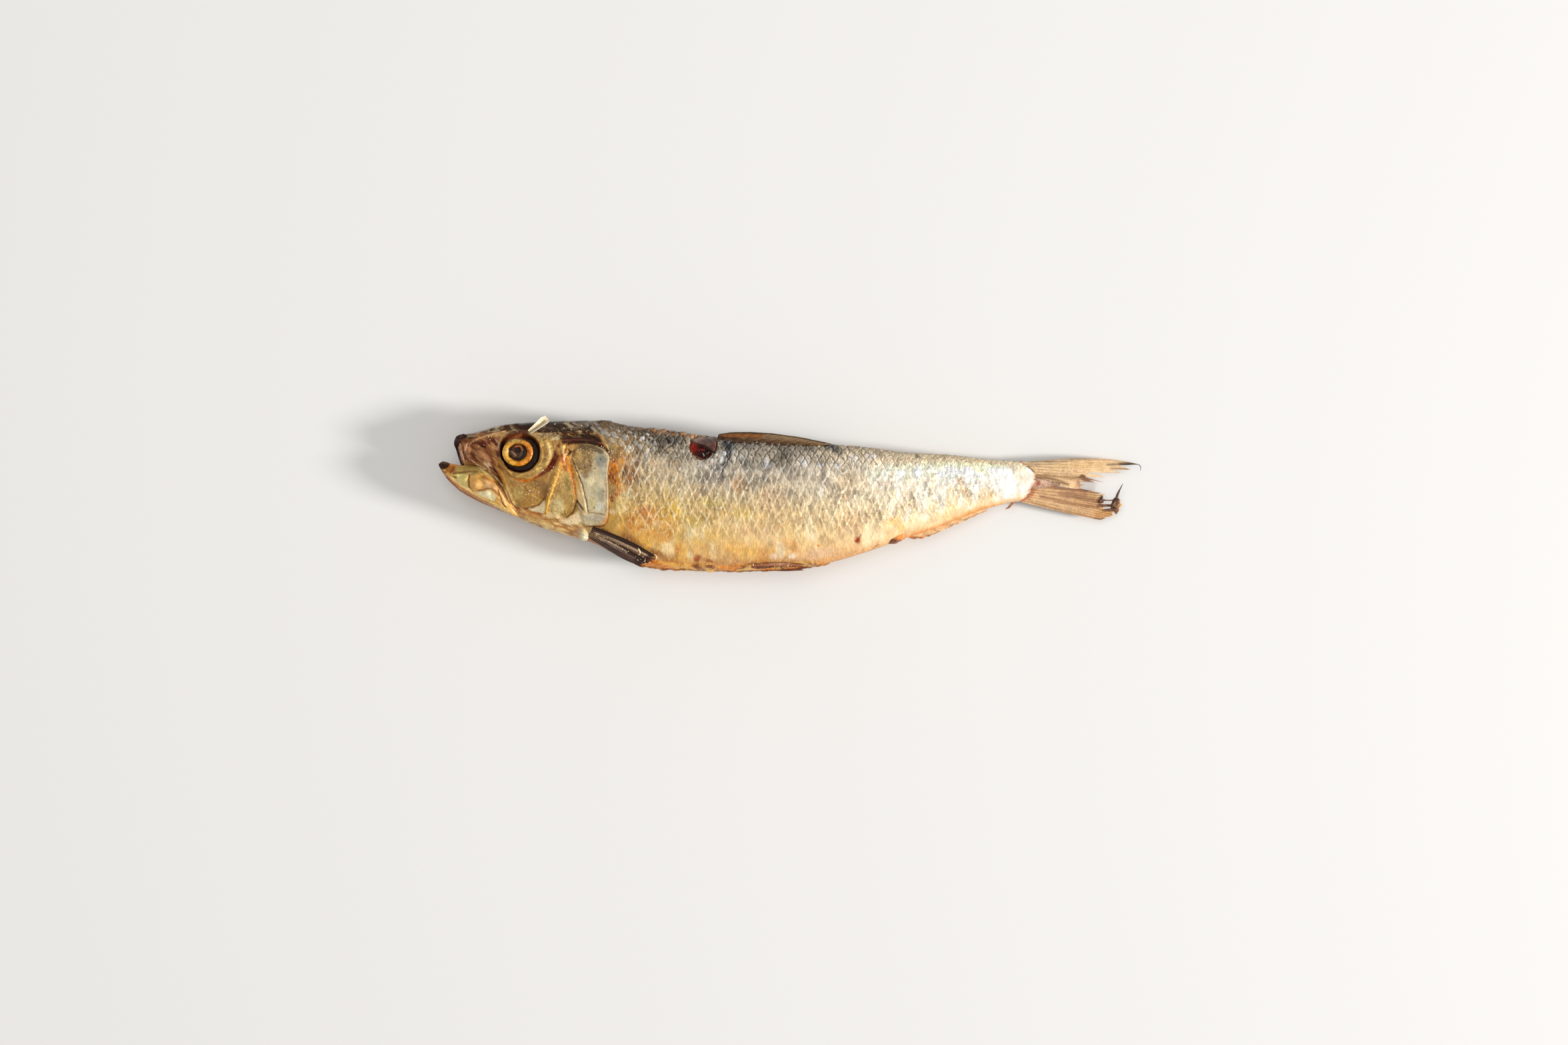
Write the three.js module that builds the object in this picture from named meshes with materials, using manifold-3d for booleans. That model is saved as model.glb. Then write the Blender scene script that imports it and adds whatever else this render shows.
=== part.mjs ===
// A whole smoked herring lying on its right side, and the curled piece of dry membrane stuck to its nape.
// Millimetres. +X runs from the jaw to the tail, +Y towards the back, +Z up from the surface it lies on.
// Points are written in fish coordinates: x from the tip of the lower jaw, y from the axis of the body, and
// lift is a height over the skin. The finished group is centred over the middle of its box.

import * as THREE from "three";
import { mergeVertices } from "three/addons/utils/BufferGeometryUtils.js";
import Module from "manifold-3d";

const wasm = await Module();
wasm.setup();

// ---------------------------------------------------------------- driving dimensions

const SIDES = [1, -1]; // the left side, which lies up, and the right side

// Outline of the flesh, as [x, y], without fins.
const BACK = [
  [5.2, 16.6], [6.3, 17.9], [10.4, 18.6], [17.4, 20.6], [24.7, 21.7], [34.2, 22.4], [43.7, 22.6],
  [52.5, 22.3], [57.5, 21.0], [70.4, 19.4], [81.6, 17.8], [93.4, 16.5], [104, 15.9], [116, 15.4],
  [122, 15.1], [137.2, 13.8], [145, 12.7], [158.6, 12.0], [173.3, 10.4], [187, 9.9],
];
const BELLY = [
  [5.2, 15.4], [6.3, 13.2], [7.6, 9.0], [12, 8.2], [15.6, 6.4], [18.5, 3.4], [20.6, -0.5], [23, -6.2],
  [26, -8.2], [31.3, -10.5], [40.4, -13.3], [48.5, -15.7], [55, -19.2], [62.8, -22.3], [72, -23.4],
  [91, -24.0], [110, -23.4], [120.2, -21.9], [137.2, -16.9], [145.2, -13.9], [153, -11.6],
  [161.5, -8.3], [171.4, -4.6], [180, -2.6], [187, -1.9],
];
// Half of the thickness from side to side, and the height of the middle plane over the table.
const HALF_THICKNESS = [
  [5.2, 1.5], [8, 2.9], [14, 4.8], [25, 7.2], [40, 8.9], [55, 9.8], [75, 10.4], [105, 10.2], [125, 9.0],
  [145, 6.9], [162, 4.7], [176, 3.0], [187, 1.6],
];
const MIDDLE_HEIGHT = [
  [0, 10.4], [30, 10.2], [60, 10.0], [110, 9.9], [135, 8.6], [155, 6.4], [175, 4.5], [195, 3.6], [220, 3.2],
];
// How full the sides are at the belly and at the back: low is boxy, high is drawn to an edge.
const BELLY_POWER = [[5, 0.62], [30, 0.72], [60, 1.02], [120, 1.08], [187, 1.0]];
const BACK_POWER = [[5, 0.55], [30, 0.6], [60, 0.72], [120, 0.78], [187, 0.85]];

const LOWER_JAW_TOP = [
  [0, 9.3], [1.2, 10.0], [4, 9.2], [7.7, 8.7], [12.4, 8.5], [16.5, 6.2], [20.3, 1.4], [24.5, -4.8],
];
const LOWER_JAW_BOTTOM = [
  [0, 8.5], [1.2, 6.4], [3.2, 3.7], [7.5, 0], [12.7, -2.8], [18, -5.0], [24.5, -7.8],
];
const LOWER_JAW_HALF = [[0, 0.5], [1.5, 1.6], [5, 2.9], [12, 4.6], [20, 6.3], [24.5, 6.7]];

const HEAD_STATIONS = [
  5.2, 5.7, 6.4, 7.4, 9.5, 12.5, 15.5, 18, 20, 21.8, 23.5, 26.5, 31, 36, 41, 46, 50.5, 53,
];
const HEAD_POINTS = 24; // round one ring of the head
const SHOULDER_X = 53.4; // the rear edge of the gill cover
const SHOULDER_STEP = 0.9; // how far it stands over the flank behind it
const NAPE_STEP = 0.3; // the same along the back and the belly

const SCALES_START = 48.5;
const SCALES_END = 187;
const SCALE_LENGTH = 3.2; // from one scale to the next along the body
const SCALES_AROUND = 13; // in one column; the next column lies half a scale higher
const SCALE_RISE = 0.38; // how far a scale's free edge stands over its root
const SCALE_CREST = 0.76; // where it stands highest, as a share of the rhomb that shows

const EYE = { x: 24.6, y: 12.8, ball: 4.9, socket: 6.5, pupil: 2.9 };
const EYE_PARTS = 18; // sides of the round forms at the eye

// Bony plates of the head, on each side: outline as [x, y], and how far they stand over the skin.
const PLATES = [
  {
    rise: 0.75, // the gill cover
    outline: [
      [41.2, 11.6], [43.7, 14.9], [47.5, 15.3], [50.9, 13.8], [53.2, 10.8], [53.7, 6.5], [53.3, 2.2],
      [53.6, -2.6], [53.3, -7.3], [52.2, -9.8], [48.9, -10.3], [45.1, -9.9], [44.0, -6.4], [43.0, -3.2],
      [42.2, 2.5], [41.2, 7.5],
    ],
  },
  {
    rise: 0.5, // between the gill cover and the cheek
    outline: [
      [38.2, 7.6], [36.7, 1.4], [34.6, -4.4], [36.1, -7.6], [38.9, -7.2], [41.6, -4.6], [42.6, -1.6],
      [41.5, 3.0], [40.4, 7.8],
    ],
  },
  {
    rise: 0.55, // the cheek
    outline: [
      [21.2, 2.2], [22, -1.6], [23.7, -3.9], [26.6, -4.8], [29.4, -3.9], [32.3, -1.4], [34.6, 3.2],
      [34.2, 5.8], [31.3, 4.1], [27, 3.3], [23.2, 4.4], [21.2, 5.0],
    ],
  },
];
// Ridges, on each side: their middle line as [x, y, half of the width], and their height.
const RIDGES = [
  { rise: 0.9, line: [[39.4, 14.4, 0.6], [38.3, 9.0, 1.1], [36.0, 1.5, 0.9], [33.4, -5.2, 0.5]] },
  {
    rise: 0.8, // under the eye
    line: [[38.6, 14.6, 0.5], [37.9, 10, 0.8], [34.6, 6.2, 0.7], [29, 4.5, 0.6], [23.5, 5.0, 0.4]],
  },
  { rise: 0.7, line: [[38.5, 15.9, 0.4], [43.5, 16.2, 0.8], [49.5, 16.6, 0.8], [54.4, 11.5, 0.5]] },
  {
    rise: 0.9, // the upper jaw's blade
    line: [[6.6, 16.6, 0.7], [7.4, 12.8, 1.0], [9.8, 9.9, 1.1], [14.2, 8.0, 1.0], [20.0, 2.2, 0.5]],
  },
  { rise: 1.3, line: [[41.9, 9.6, 0.4], [43.6, 4.4, 0.5], [45.2, -1.4, 0.5], [45.8, -5.6, 0.4]] },
];
// Round swellings: the joint of the shoulder girdle on each side, and the vent in the middle plane.
const SHOULDER_KNOB = { x: 44.5, y: -12.9, length: 2.4, height: 1.9, rise: 0.5 };
const VENT = { x: 141.9, y: -14.3, length: 2.7, height: 1.6, half: 2.1 };
const WOUND = { x: 82.2, y: 13.9, length: 4.6, height: 3.9, depth: 1.7 };
const WOUND_FLAP = [
  [77.4, 15.6], [79.4, 17.0], [82, 17.8], [85.6, 17.4], [87.2, 15.4], [86.6, 13.2], [84.4, 14.6], [81, 15.2],
];

// A fin is a comb of rays with thin skin between them. Its rays run from points spread evenly along root
// to tips, all [x, y]. bow lifts the middle of the first and of the last ray, and web is how far the skin
// between two rays reaches towards their tips.
const RAY_THICKNESS = 1.0;
const WEB_THICKNESS = 0.6;
const FIN_STEPS = [0, 0.4, 0.75, 1]; // where a ray has points, as shares of its length
const FOLDED_LIFT = 0.45; // how far a fin folded on the flank stands over the skin, besides its thickness
const TAIL_FIN = {
  root: [[181, 9.8], [187, 3.4], [179.8, -1.9]],
  bow: [1.5, -0.6],
  web: 0.94,
  tips: [
    [220, 8.8], [217, 7.8], [213.7, 6.5], [208.8, 4.9], [207.9, 3.4], [202, 3.3], [200.7, 2.3],
    [200.6, 1.6], [204.2, 0.9], [207.5, -0.3], [211, -2.3], [213.2, -3.4], [212.2, -5.4], [210.6, -7.1],
    [206.9, -8.3],
  ],
};
const TAIL_SPIKE = { from: [211.6, -4.2], to: [213.5, 2.5], radius: 0.75 }; // a burnt ray, bent upwards
const TAIL_WEDGE = { from: [182, 3.6], to: [195.5, 2.7], radius: 2.2 }; // flesh between the two lobes
const DORSAL_FIN = {
  root: [[83, 15.4], [106, 14.0]],
  bow: [0.9, 0.2],
  web: 0.96,
  tips: [[97, 19.0], [104, 18.6], [109.5, 17.8], [114, 17.0], [117.5, 16.3], [122, 15.2]],
};
const ANAL_FIN = {
  root: [[144, -12.2], [165, -5.2]],
  bow: [-0.5, -0.3],
  web: 0.95,
  tips: [[149.8, -14.3], [154, -13.1], [159, -10.9], [163, -9.1], [167, -7.4], [171.5, -5.3]],
};
const PECTORAL_FIN = {
  root: [[48.3, -10.6], [46.4, -13.6]],
  bow: [0.9, -0.5],
  web: 0.97,
  tips: [[67.6, -19.3], [67, -21.2], [65, -23.0], [62.9, -22.9], [60.6, -21.9]],
};
const PELVIC_FIN = {
  root: [[97.6, -21.4], [97.2, -23.0]],
  bow: [0.3, -0.2],
  web: 0.97,
  tips: [[114.4, -22.0], [114.2, -23.6], [111.4, -24.3]],
};
const KEEL = { from: 62, to: 119, rise: 0.8 }; // the saw edge of sharp scales along the belly

// The membrane: its middle line as [x, y, z], its width there, and how deep its sides curl up.
const MEMBRANE = {
  line: [[28.9, 18.7, 16.9], [31.2, 20.6, 16.25], [33.2, 22.3, 14.8], [34.1, 23.2, 13.1]],
  width: [1.6, 2.0, 2.6, 2.2],
  curl: 0.55,
  thickness: 0.35,
};

// ---------------------------------------------------------------- helpers

// A smooth curve through [x, value] points that never overshoots them.
function profile(points) {
  const slope = points.slice(1).map(([x, v], i) => (v - points[i][1]) / (x - points[i][0]));
  const tangent = points.map((_, i) => {
    if (i === 0) return slope[0];
    if (i === slope.length) return slope[i - 1];
    const [a, b] = [slope[i - 1], slope[i]];
    return a * b <= 0 ? 0 : (2 * a * b) / (a + b);
  });
  return (x) => {
    let i = 0;
    while (i < points.length - 2 && x > points[i + 1][0]) i += 1;
    const [x0, v0] = points[i];
    const [x1, v1] = points[i + 1];
    const width = x1 - x0;
    const t = THREE.MathUtils.clamp((x - x0) / width, 0, 1);
    const ease = t * t * (3 - 2 * t);
    const start = t * (1 - t) * (1 - t) * width * tangent[i];
    const end = t * t * (t - 1) * width * tangent[i + 1];
    return v0 + (v1 - v0) * ease + start + end;
  };
}

const { lerp, clamp, smoothstep } = THREE.MathUtils;
const between = (a, b, s) => a.map((value, k) => lerp(value, b[k], s));
const union = (solids) => solids.reduce((whole, next) => whole.add(next));

// A solid from points and the faces between them, turned so that the faces look outwards.
function solid(points, faces) {
  const build = (triangles) => {
    const geometry = new THREE.BufferGeometry();
    geometry.setAttribute("position", new THREE.Float32BufferAttribute(points.flat(), 3));
    geometry.setIndex(triangles.flat());
    return manifoldOf(geometry);
  };
  const made = build(faces);
  return made.volume() > 0 ? made : build(faces.map(([a, b, c]) => [a, c, b]));
}

function manifoldOf(geometry) {
  geometry.deleteAttribute("normal");
  geometry.deleteAttribute("uv");
  const merged = mergeVertices(geometry, 1e-4);
  return new wasm.Manifold(
    new wasm.Mesh({
      numProp: 3,
      vertProperties: merged.attributes.position.array,
      triVerts: new Uint32Array(merged.index.array),
    }),
  );
}

// Rings of equally many points, skinned into a solid with a fan at either end.
function loft(rings) {
  const count = rings[0].length;
  const points = rings.flat();
  const faces = [];
  for (let i = 0; i + 1 < rings.length; i += 1)
    for (let j = 0; j < count; j += 1) {
      const [a, b] = [i * count + j, i * count + ((j + 1) % count)];
      faces.push([a, b, a + count], [b, b + count, a + count]);
    }
  for (const [ring, order] of [[0, 1], [rings.length - 1, -1]]) {
    const centre = [0, 1, 2].map((k) => rings[ring].reduce((sum, p) => sum + p[k], 0) / count);
    const hub = points.push(centre) - 1;
    for (let j = 0; j < count; j += 1) {
      const [a, b] = [ring * count + j, ring * count + ((j + 1) % count)];
      faces.push(order > 0 ? [b, a, hub] : [a, b, hub]);
    }
  }
  return solid(points, faces);
}

// A thin solid over and under a grid of points, grid[column][row]. up and down give its reach at each.
function slab(grid, up, down = up) {
  const [columns, rows] = [grid.length, grid[0].length];
  const layer = (sign, reach) =>
    grid.flatMap((column, i) => column.map(([x, y, z], j) => [x, y, z + sign * reach(i, j)]));
  const points = [...layer(1, up), ...layer(-1, down)];
  const under = columns * rows;
  const at = (i, j) => i * rows + j;
  const faces = [];
  for (let i = 0; i + 1 < columns; i += 1)
    for (let j = 0; j + 1 < rows; j += 1) {
      const [a, b, c, d] = [at(i, j), at(i + 1, j), at(i + 1, j + 1), at(i, j + 1)];
      faces.push([a, b, c], [a, c, d], [under + a, under + c, under + b], [under + a, under + d, under + c]);
    }
  const rim = [];
  for (let i = 0; i + 1 < columns; i += 1) rim.push(at(i, 0));
  for (let j = 0; j + 1 < rows; j += 1) rim.push(at(columns - 1, j));
  for (let i = columns - 1; i > 0; i -= 1) rim.push(at(i, rows - 1));
  for (let j = rows - 1; j > 0; j -= 1) rim.push(at(0, j));
  rim.forEach((a, k) => {
    const b = rim[(k + 1) % rim.length];
    faces.push([a, under + b, b], [a, under + a, under + b]);
  });
  return solid(points, faces);
}

// ---------------------------------------------------------------- the form of the flesh

const back = profile(BACK);
const belly = profile(BELLY);
const halfThickness = profile(HALF_THICKNESS);
const middle = profile(MIDDLE_HEIGHT);
const bellyPower = profile(BELLY_POWER);
const backPower = profile(BACK_POWER);

// Half of the thickness at x, at a share of the way from belly (0) to back (1).
function fullness(x, share) {
  const round = 2 * Math.sqrt(Math.max(share * (1 - share), 0));
  const power = lerp(bellyPower(x), backPower(x), share);
  return halfThickness(x) * round ** power * (1 + 0.14 * (share - 0.5));
}

// The point on the skin at x, at an angle round the body from the belly over the left side, raised by lift.
function skinPoint(x, angle, lift = 0) {
  const share = (1 - Math.cos(angle)) / 2;
  const across = Math.sin(angle);
  const y = lerp(belly(x), back(x), share);
  const z = middle(x) + Math.sign(across) * fullness(x, share) + lift * across;
  return [x, y - lift * Math.cos(angle), z];
}

function skinRing(x, count, turn, lift = 0) {
  return Array.from({ length: count }, (_, j) => skinPoint(x, ((j + turn) / count) * 2 * Math.PI, lift));
}

// The point on the skin at (x, y) on one side, raised by lift.
function onSkin(x, y, side, lift = 0) {
  const share = clamp((y - belly(x)) / (back(x) - belly(x)), 0.004, 0.996);
  return [x, y, middle(x) + side * (fullness(x, share) + lift)];
}

// A turn and a place that stand a form's own +Z square on the skin at (x, y). level draws it upright.
function standing(x, y, side, level) {
  const step = 1.5;
  const across = new THREE.Vector3(0, 2 * step, onSkin(x, y + step, side)[2] - onSkin(x, y - step, side)[2]);
  const along = new THREE.Vector3(2 * step, 0, onSkin(x + step, y, side)[2] - onSkin(x - step, y, side)[2]);
  const normal = along.cross(across).multiplyScalar(side).normalize();
  normal.lerp(new THREE.Vector3(0, 0, side), level).normalize();
  const turn = new THREE.Quaternion().setFromUnitVectors(new THREE.Vector3(0, 0, 1), normal);
  return new THREE.Matrix4().makeRotationFromQuaternion(turn).setPosition(...onSkin(x, y, side));
}

function head() {
  const rings = HEAD_STATIONS.map((x) => skinRing(x, HEAD_POINTS, 0));
  rings.push(skinRing(SHOULDER_X + 0.7, HEAD_POINTS, 0, -SHOULDER_STEP));
  return loft(rings);
}

// The body's skin is a lattice of scales: staggered rings, and a raised point near each scale's free edge.
function body() {
  const column = SCALE_LENGTH / 2;
  const last = Math.round((SCALES_END - SCALES_START) / column);
  const xOf = (i) => lerp(SCALES_START, SCALES_END, i / last);
  const angleOf = (i, j) => ((j + (i % 2) / 2) / SCALES_AROUND) * 2 * Math.PI;
  const sunk = (x, angle) => {
    const step = lerp(NAPE_STEP, SHOULDER_STEP, Math.abs(Math.sin(angle)));
    return -step * (1 - smoothstep(x, SHOULDER_X - 1.5, SHOULDER_X + 2.5));
  };
  const points = [];
  const faces = [];
  for (let i = 0; i <= last; i += 1)
    for (let j = 0; j < SCALES_AROUND; j += 1) {
      const [x, angle] = [xOf(i), angleOf(i, j)];
      points.push(skinPoint(x, angle, sunk(x, angle)));
    }
  const at = (i, j) => i * SCALES_AROUND + ((j + SCALES_AROUND) % SCALES_AROUND);
  for (let i = 0; i + 2 <= last; i += 1)
    for (let j = 0; j < SCALES_AROUND; j += 1) {
      const low = i % 2 ? j : j - 1; // the lower one of its two neighbours in the ring between
      const [x, angle] = [xOf(i + 2 * SCALE_CREST), angleOf(i, j)];
      const onKeel = j === 0 && i % 2 === 0 && x > KEEL.from && x < KEEL.to;
      const rise = onKeel ? KEEL.rise : SCALE_RISE * smoothstep(halfThickness(x), 0.5, 5);
      const crest = points.push(skinPoint(x, angle, sunk(x, angle) + rise)) - 1;
      const [root, tip, below, above] = [at(i, j), at(i + 2, j), at(i + 1, low), at(i + 1, low + 1)];
      faces.push([root, below, crest], [root, crest, above], [below, tip, crest], [crest, tip, above]);
    }
  // Half scales, and a flat end, close the lattice at either end.
  for (const [i, next] of [[0, 1], [last, last - 1]]) {
    const x = xOf(i);
    const hub = points.push([x, (back(x) + belly(x)) / 2, middle(x)]) - 1;
    for (let j = 0; j < SCALES_AROUND; j += 1) {
      const [a, b, beside] = [at(i, j), at(i, j + 1), at(next, i % 2 ? j + 1 : j)];
      faces.push(...(i ? [[a, b, beside], [b, a, hub]] : [[a, beside, b], [a, b, hub]]));
    }
  }
  return solid(points, faces);
}

function lowerJaw() {
  const [top, bottom, half] = [LOWER_JAW_TOP, LOWER_JAW_BOTTOM, LOWER_JAW_HALF].map(profile);
  const stations = [0, 0.5, 1.2, 2.4, 4.5, 7.5, 10.4, 12.7, 15, 17.5, 20.3, 22.4, 24.5];
  const count = HEAD_POINTS / 2;
  const ring = (x) =>
    Array.from({ length: count }, (_, j) => {
      const angle = (j / count) * 2 * Math.PI;
      const across = Math.sin(angle);
      const y = lerp(bottom(x), top(x), (1 - Math.cos(angle)) / 2);
      return [x, y, middle(x) + half(x) * Math.sign(across) * Math.abs(across) ** 0.6];
    });
  return loft(stations.map(ring));
}

// ---------------------------------------------------------------- relief of the head

function turned(outline, side) {
  const points = outline.map(([radius, height]) => new THREE.Vector2(radius, height));
  const geometry = new THREE.LatheGeometry(points, EYE_PARTS).rotateX(Math.PI / 2);
  return manifoldOf(geometry.applyMatrix4(standing(EYE.x, EYE.y, side, 0.6)));
}

// The ring-shaped groove round the eye, and the ball in it with its iris and pupil.
function eyeSocket(side) {
  const { socket } = EYE;
  return turned([[0, -1.4], [socket - 1.2, -1.1], [socket, 0.2], [socket + 0.3, 5], [0, 5]], side);
}

function eyeBall(side) {
  const { ball, pupil } = EYE;
  return turned(
    [[0, -3], [ball, -3], [ball, -0.5], [ball - 0.4, -0.05], [pupil + 0.3, 0.35], [pupil, 0], [0, 0.2]],
    side,
  );
}

// A plate that follows the skin: rings drawn in from its outline, over a root sunk under the skin.
function plate({ outline, rise }, side) {
  const centre = [0, 1].map((k) => outline.reduce((sum, p) => sum + p[k], 0) / outline.length);
  const levels = [[1, -1.2], [1, rise * 0.55], [0.86, rise], [0.45, rise * 1.05]];
  const rings = levels.map(([size, lift]) =>
    outline.map(([x, y]) => onSkin(lerp(centre[0], x, size), lerp(centre[1], y, size), side, lift)),
  );
  return loft(rings);
}

function ridge({ line, rise }, side) {
  const path = new THREE.CatmullRomCurve3(line.map((p) => new THREE.Vector3(...p)));
  const steps = line.length * 2;
  const rings = Array.from({ length: steps + 1 }, (_, i) => {
    const { x, y, z: half } = path.getPoint(i / steps);
    const along = path.getTangent(i / steps).setZ(0).normalize();
    const fade = Math.sin(Math.PI * clamp(0.12 + (0.76 * i) / steps, 0, 1));
    const section = [[-1, -0.5], [0, rise * fade], [1, -0.5], [0, -1.1]];
    return section.map(([s, lift]) => onSkin(x - s * half * along.y, y + s * half * along.x, side, lift));
  });
  return loft(rings);
}

function ellipsoid(length, height, half) {
  return new THREE.SphereGeometry(1, 8, 6).rotateX(Math.PI / 2).scale(length, height, half);
}

function shoulderKnob(side) {
  const { x, y, length, height, rise } = SHOULDER_KNOB;
  return manifoldOf(ellipsoid(length, height, rise + 1).translate(...onSkin(x, y, side, -1)));
}

function vent() {
  const { x, y, length, height, half } = VENT;
  return manifoldOf(ellipsoid(length, height, half).translate(x, y, middle(x)));
}

function wound() {
  const { x, y, length, height, depth } = WOUND;
  const ball = new THREE.SphereGeometry(1, 12, 8).rotateX(Math.PI / 2).scale(length, height, depth + 0.4);
  return manifoldOf(ball.translate(0, 0, 0.4).applyMatrix4(standing(x, y, 1, 0)));
}

// ---------------------------------------------------------------- fins

// The grid of a fin: a column of points for each ray, and one for the skin between each pair of rays.
function comb({ root, tips, bow, web }, place) {
  const last = tips.length - 1;
  const rootAt = (share) => {
    const k = Math.min(Math.floor(share * (root.length - 1)), root.length - 2);
    return between(root[k], root[k + 1], share * (root.length - 1) - k);
  };
  const column = (share, tip, reach) =>
    FIN_STEPS.map((step) => {
      const s = step * reach;
      const [x, y] = between(rootAt(share), tip, s);
      return [x, y + lerp(...bow, share) * 4 * s * (1 - s)];
    });
  const columns = tips.flatMap((tip, k) => {
    const ray = column(k / last, tip, 1);
    return k === last ? [ray] : [ray, column((k + 0.5) / last, between(tip, tips[k + 1], 0.5), web)];
  });
  return columns.map((points) => points.map(([x, y]) => [x, y, place(x, y)]));
}

function finThickness(i, j) {
  return i % 2 ? WEB_THICKNESS : lerp(RAY_THICKNESS, WEB_THICKNESS, FIN_STEPS[j] ** 2);
}

function middleFin(spec) {
  return slab(comb(spec, middle), (i, j) => finThickness(i, j) / 2);
}

// A fin that lies folded on the flank, its inner side sunk past the middle plane of the body.
function foldedFin(spec, side) {
  const grid = comb(spec, (x, y) => onSkin(x, y, side, FOLDED_LIFT)[2]);
  const inner = (i, j) => side * (grid[i][j][2] - middle(grid[i][j][0])) + WEB_THICKNESS / 2;
  return side > 0 ? slab(grid, finThickness, inner) : slab(grid, inner, finThickness);
}

function spike({ from, to, radius }) {
  const start = new THREE.Vector3(...from, middle(from[0]));
  const along = new THREE.Vector3(...to, middle(to[0])).sub(start);
  const cone = new THREE.ConeGeometry(radius, along.length(), 6, 1).translate(0, along.length() / 2, 0);
  const turn = new THREE.Quaternion().setFromUnitVectors(new THREE.Vector3(0, 1, 0), along.normalize());
  return manifoldOf(cone.applyQuaternion(turn).translate(...start.toArray()));
}

// ---------------------------------------------------------------- the pieces

function fish() {
  const cuts = [...SIDES.map(eyeSocket), wound()];
  const carved = cuts.reduce((whole, cut) => whole.subtract(cut), union([head(), body(), lowerJaw()]));
  const relief = SIDES.flatMap((side) => [
    eyeBall(side),
    ...PLATES.map((spec) => plate(spec, side)),
    ...RIDGES.map((spec) => ridge(spec, side)),
    shoulderKnob(side),
    foldedFin(PECTORAL_FIN, side),
    foldedFin(PELVIC_FIN, side),
  ]);
  const middleFins = [TAIL_FIN, DORSAL_FIN, ANAL_FIN].map(middleFin);
  const flap = plate({ outline: WOUND_FLAP, rise: 0.6 }, 1);
  const whole = union([carved, ...relief, ...middleFins, spike(TAIL_SPIKE), spike(TAIL_WEDGE), vent(), flap]);
  // The table presses the underside flat.
  const overTable = new THREE.BoxGeometry(400, 200, 100).translate(100, 0, 50);
  return whole.intersect(manifoldOf(overTable));
}

function membrane() {
  const { line, width, curl, thickness } = MEMBRANE;
  const path = new THREE.CatmullRomCurve3(line.map((p) => new THREE.Vector3(...p)));
  const steps = 8;
  const across = [-1, -0.5, 0, 0.5, 1];
  const widthAt = profile(width.map((w, i) => [i / (width.length - 1), w]));
  const grid = Array.from({ length: steps + 1 }, (_, i) => {
    const { x, y, z } = path.getPoint(i / steps);
    const along = path.getTangent(i / steps).setZ(0).normalize();
    const half = widthAt(i / steps) / 2;
    return across.map((s) => [x - s * half * along.y, y + s * half * along.x, z + curl * s * s]);
  });
  return slab(grid, () => thickness / 2);
}

function meshOf(name, shape, look) {
  const { vertProperties, triVerts } = shape.getMesh();
  const geometry = new THREE.BufferGeometry();
  geometry.setAttribute("position", new THREE.BufferAttribute(vertProperties, 3));
  geometry.setIndex(new THREE.BufferAttribute(triVerts, 1));
  const mesh = new THREE.Mesh(geometry, new THREE.MeshStandardMaterial(look));
  mesh.name = name;
  return mesh;
}

const group = new THREE.Group();
group.add(
  meshOf("fish", fish(), { color: 0xc9b083, roughness: 0.42, metalness: 0.15 }),
  meshOf("membrane", membrane(), { color: 0xe8dcc0, roughness: 0.5, metalness: 0 }),
);
const box = new THREE.Box3().setFromObject(group);
const middleOfBox = box.getCenter(new THREE.Vector3());
group.position.set(-middleOfBox.x, -middleOfBox.y, -box.min.z);

export default group;
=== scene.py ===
"""A whole smoked herring on its right side, with a curl of dry membrane on its nape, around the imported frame.

Shapes are worked out in millimetres in fish coordinates, as in the part's source: x from the tip of the lower
jaw, y from the axis of the body towards the back, z up from the table.
"""
import math

import bpy
import numpy as np
from mathutils import Matrix, Vector


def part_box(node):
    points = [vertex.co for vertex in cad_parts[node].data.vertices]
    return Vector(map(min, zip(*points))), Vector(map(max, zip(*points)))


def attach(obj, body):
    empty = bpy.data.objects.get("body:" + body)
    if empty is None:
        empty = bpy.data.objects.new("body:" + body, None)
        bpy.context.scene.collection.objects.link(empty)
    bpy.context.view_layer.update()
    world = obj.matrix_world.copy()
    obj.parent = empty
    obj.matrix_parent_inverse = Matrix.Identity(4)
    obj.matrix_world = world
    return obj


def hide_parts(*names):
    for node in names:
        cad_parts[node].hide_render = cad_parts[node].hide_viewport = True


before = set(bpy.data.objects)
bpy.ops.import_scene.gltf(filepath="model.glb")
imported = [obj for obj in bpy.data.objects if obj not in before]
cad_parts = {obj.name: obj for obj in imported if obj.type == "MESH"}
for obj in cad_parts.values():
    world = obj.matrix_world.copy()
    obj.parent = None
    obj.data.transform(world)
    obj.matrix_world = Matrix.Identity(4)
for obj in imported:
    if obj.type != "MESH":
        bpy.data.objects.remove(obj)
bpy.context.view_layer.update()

# ---------------------------------------------------------------- driving dimensions

MM = 0.001
CAD_LOWEST_Y = -24.8  # of the fish, in fish coordinates
fish_low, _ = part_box("fish")
SHIFT = np.array([fish_low.x / MM, fish_low.y / MM - CAD_LOWEST_Y, 0.0])

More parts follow.
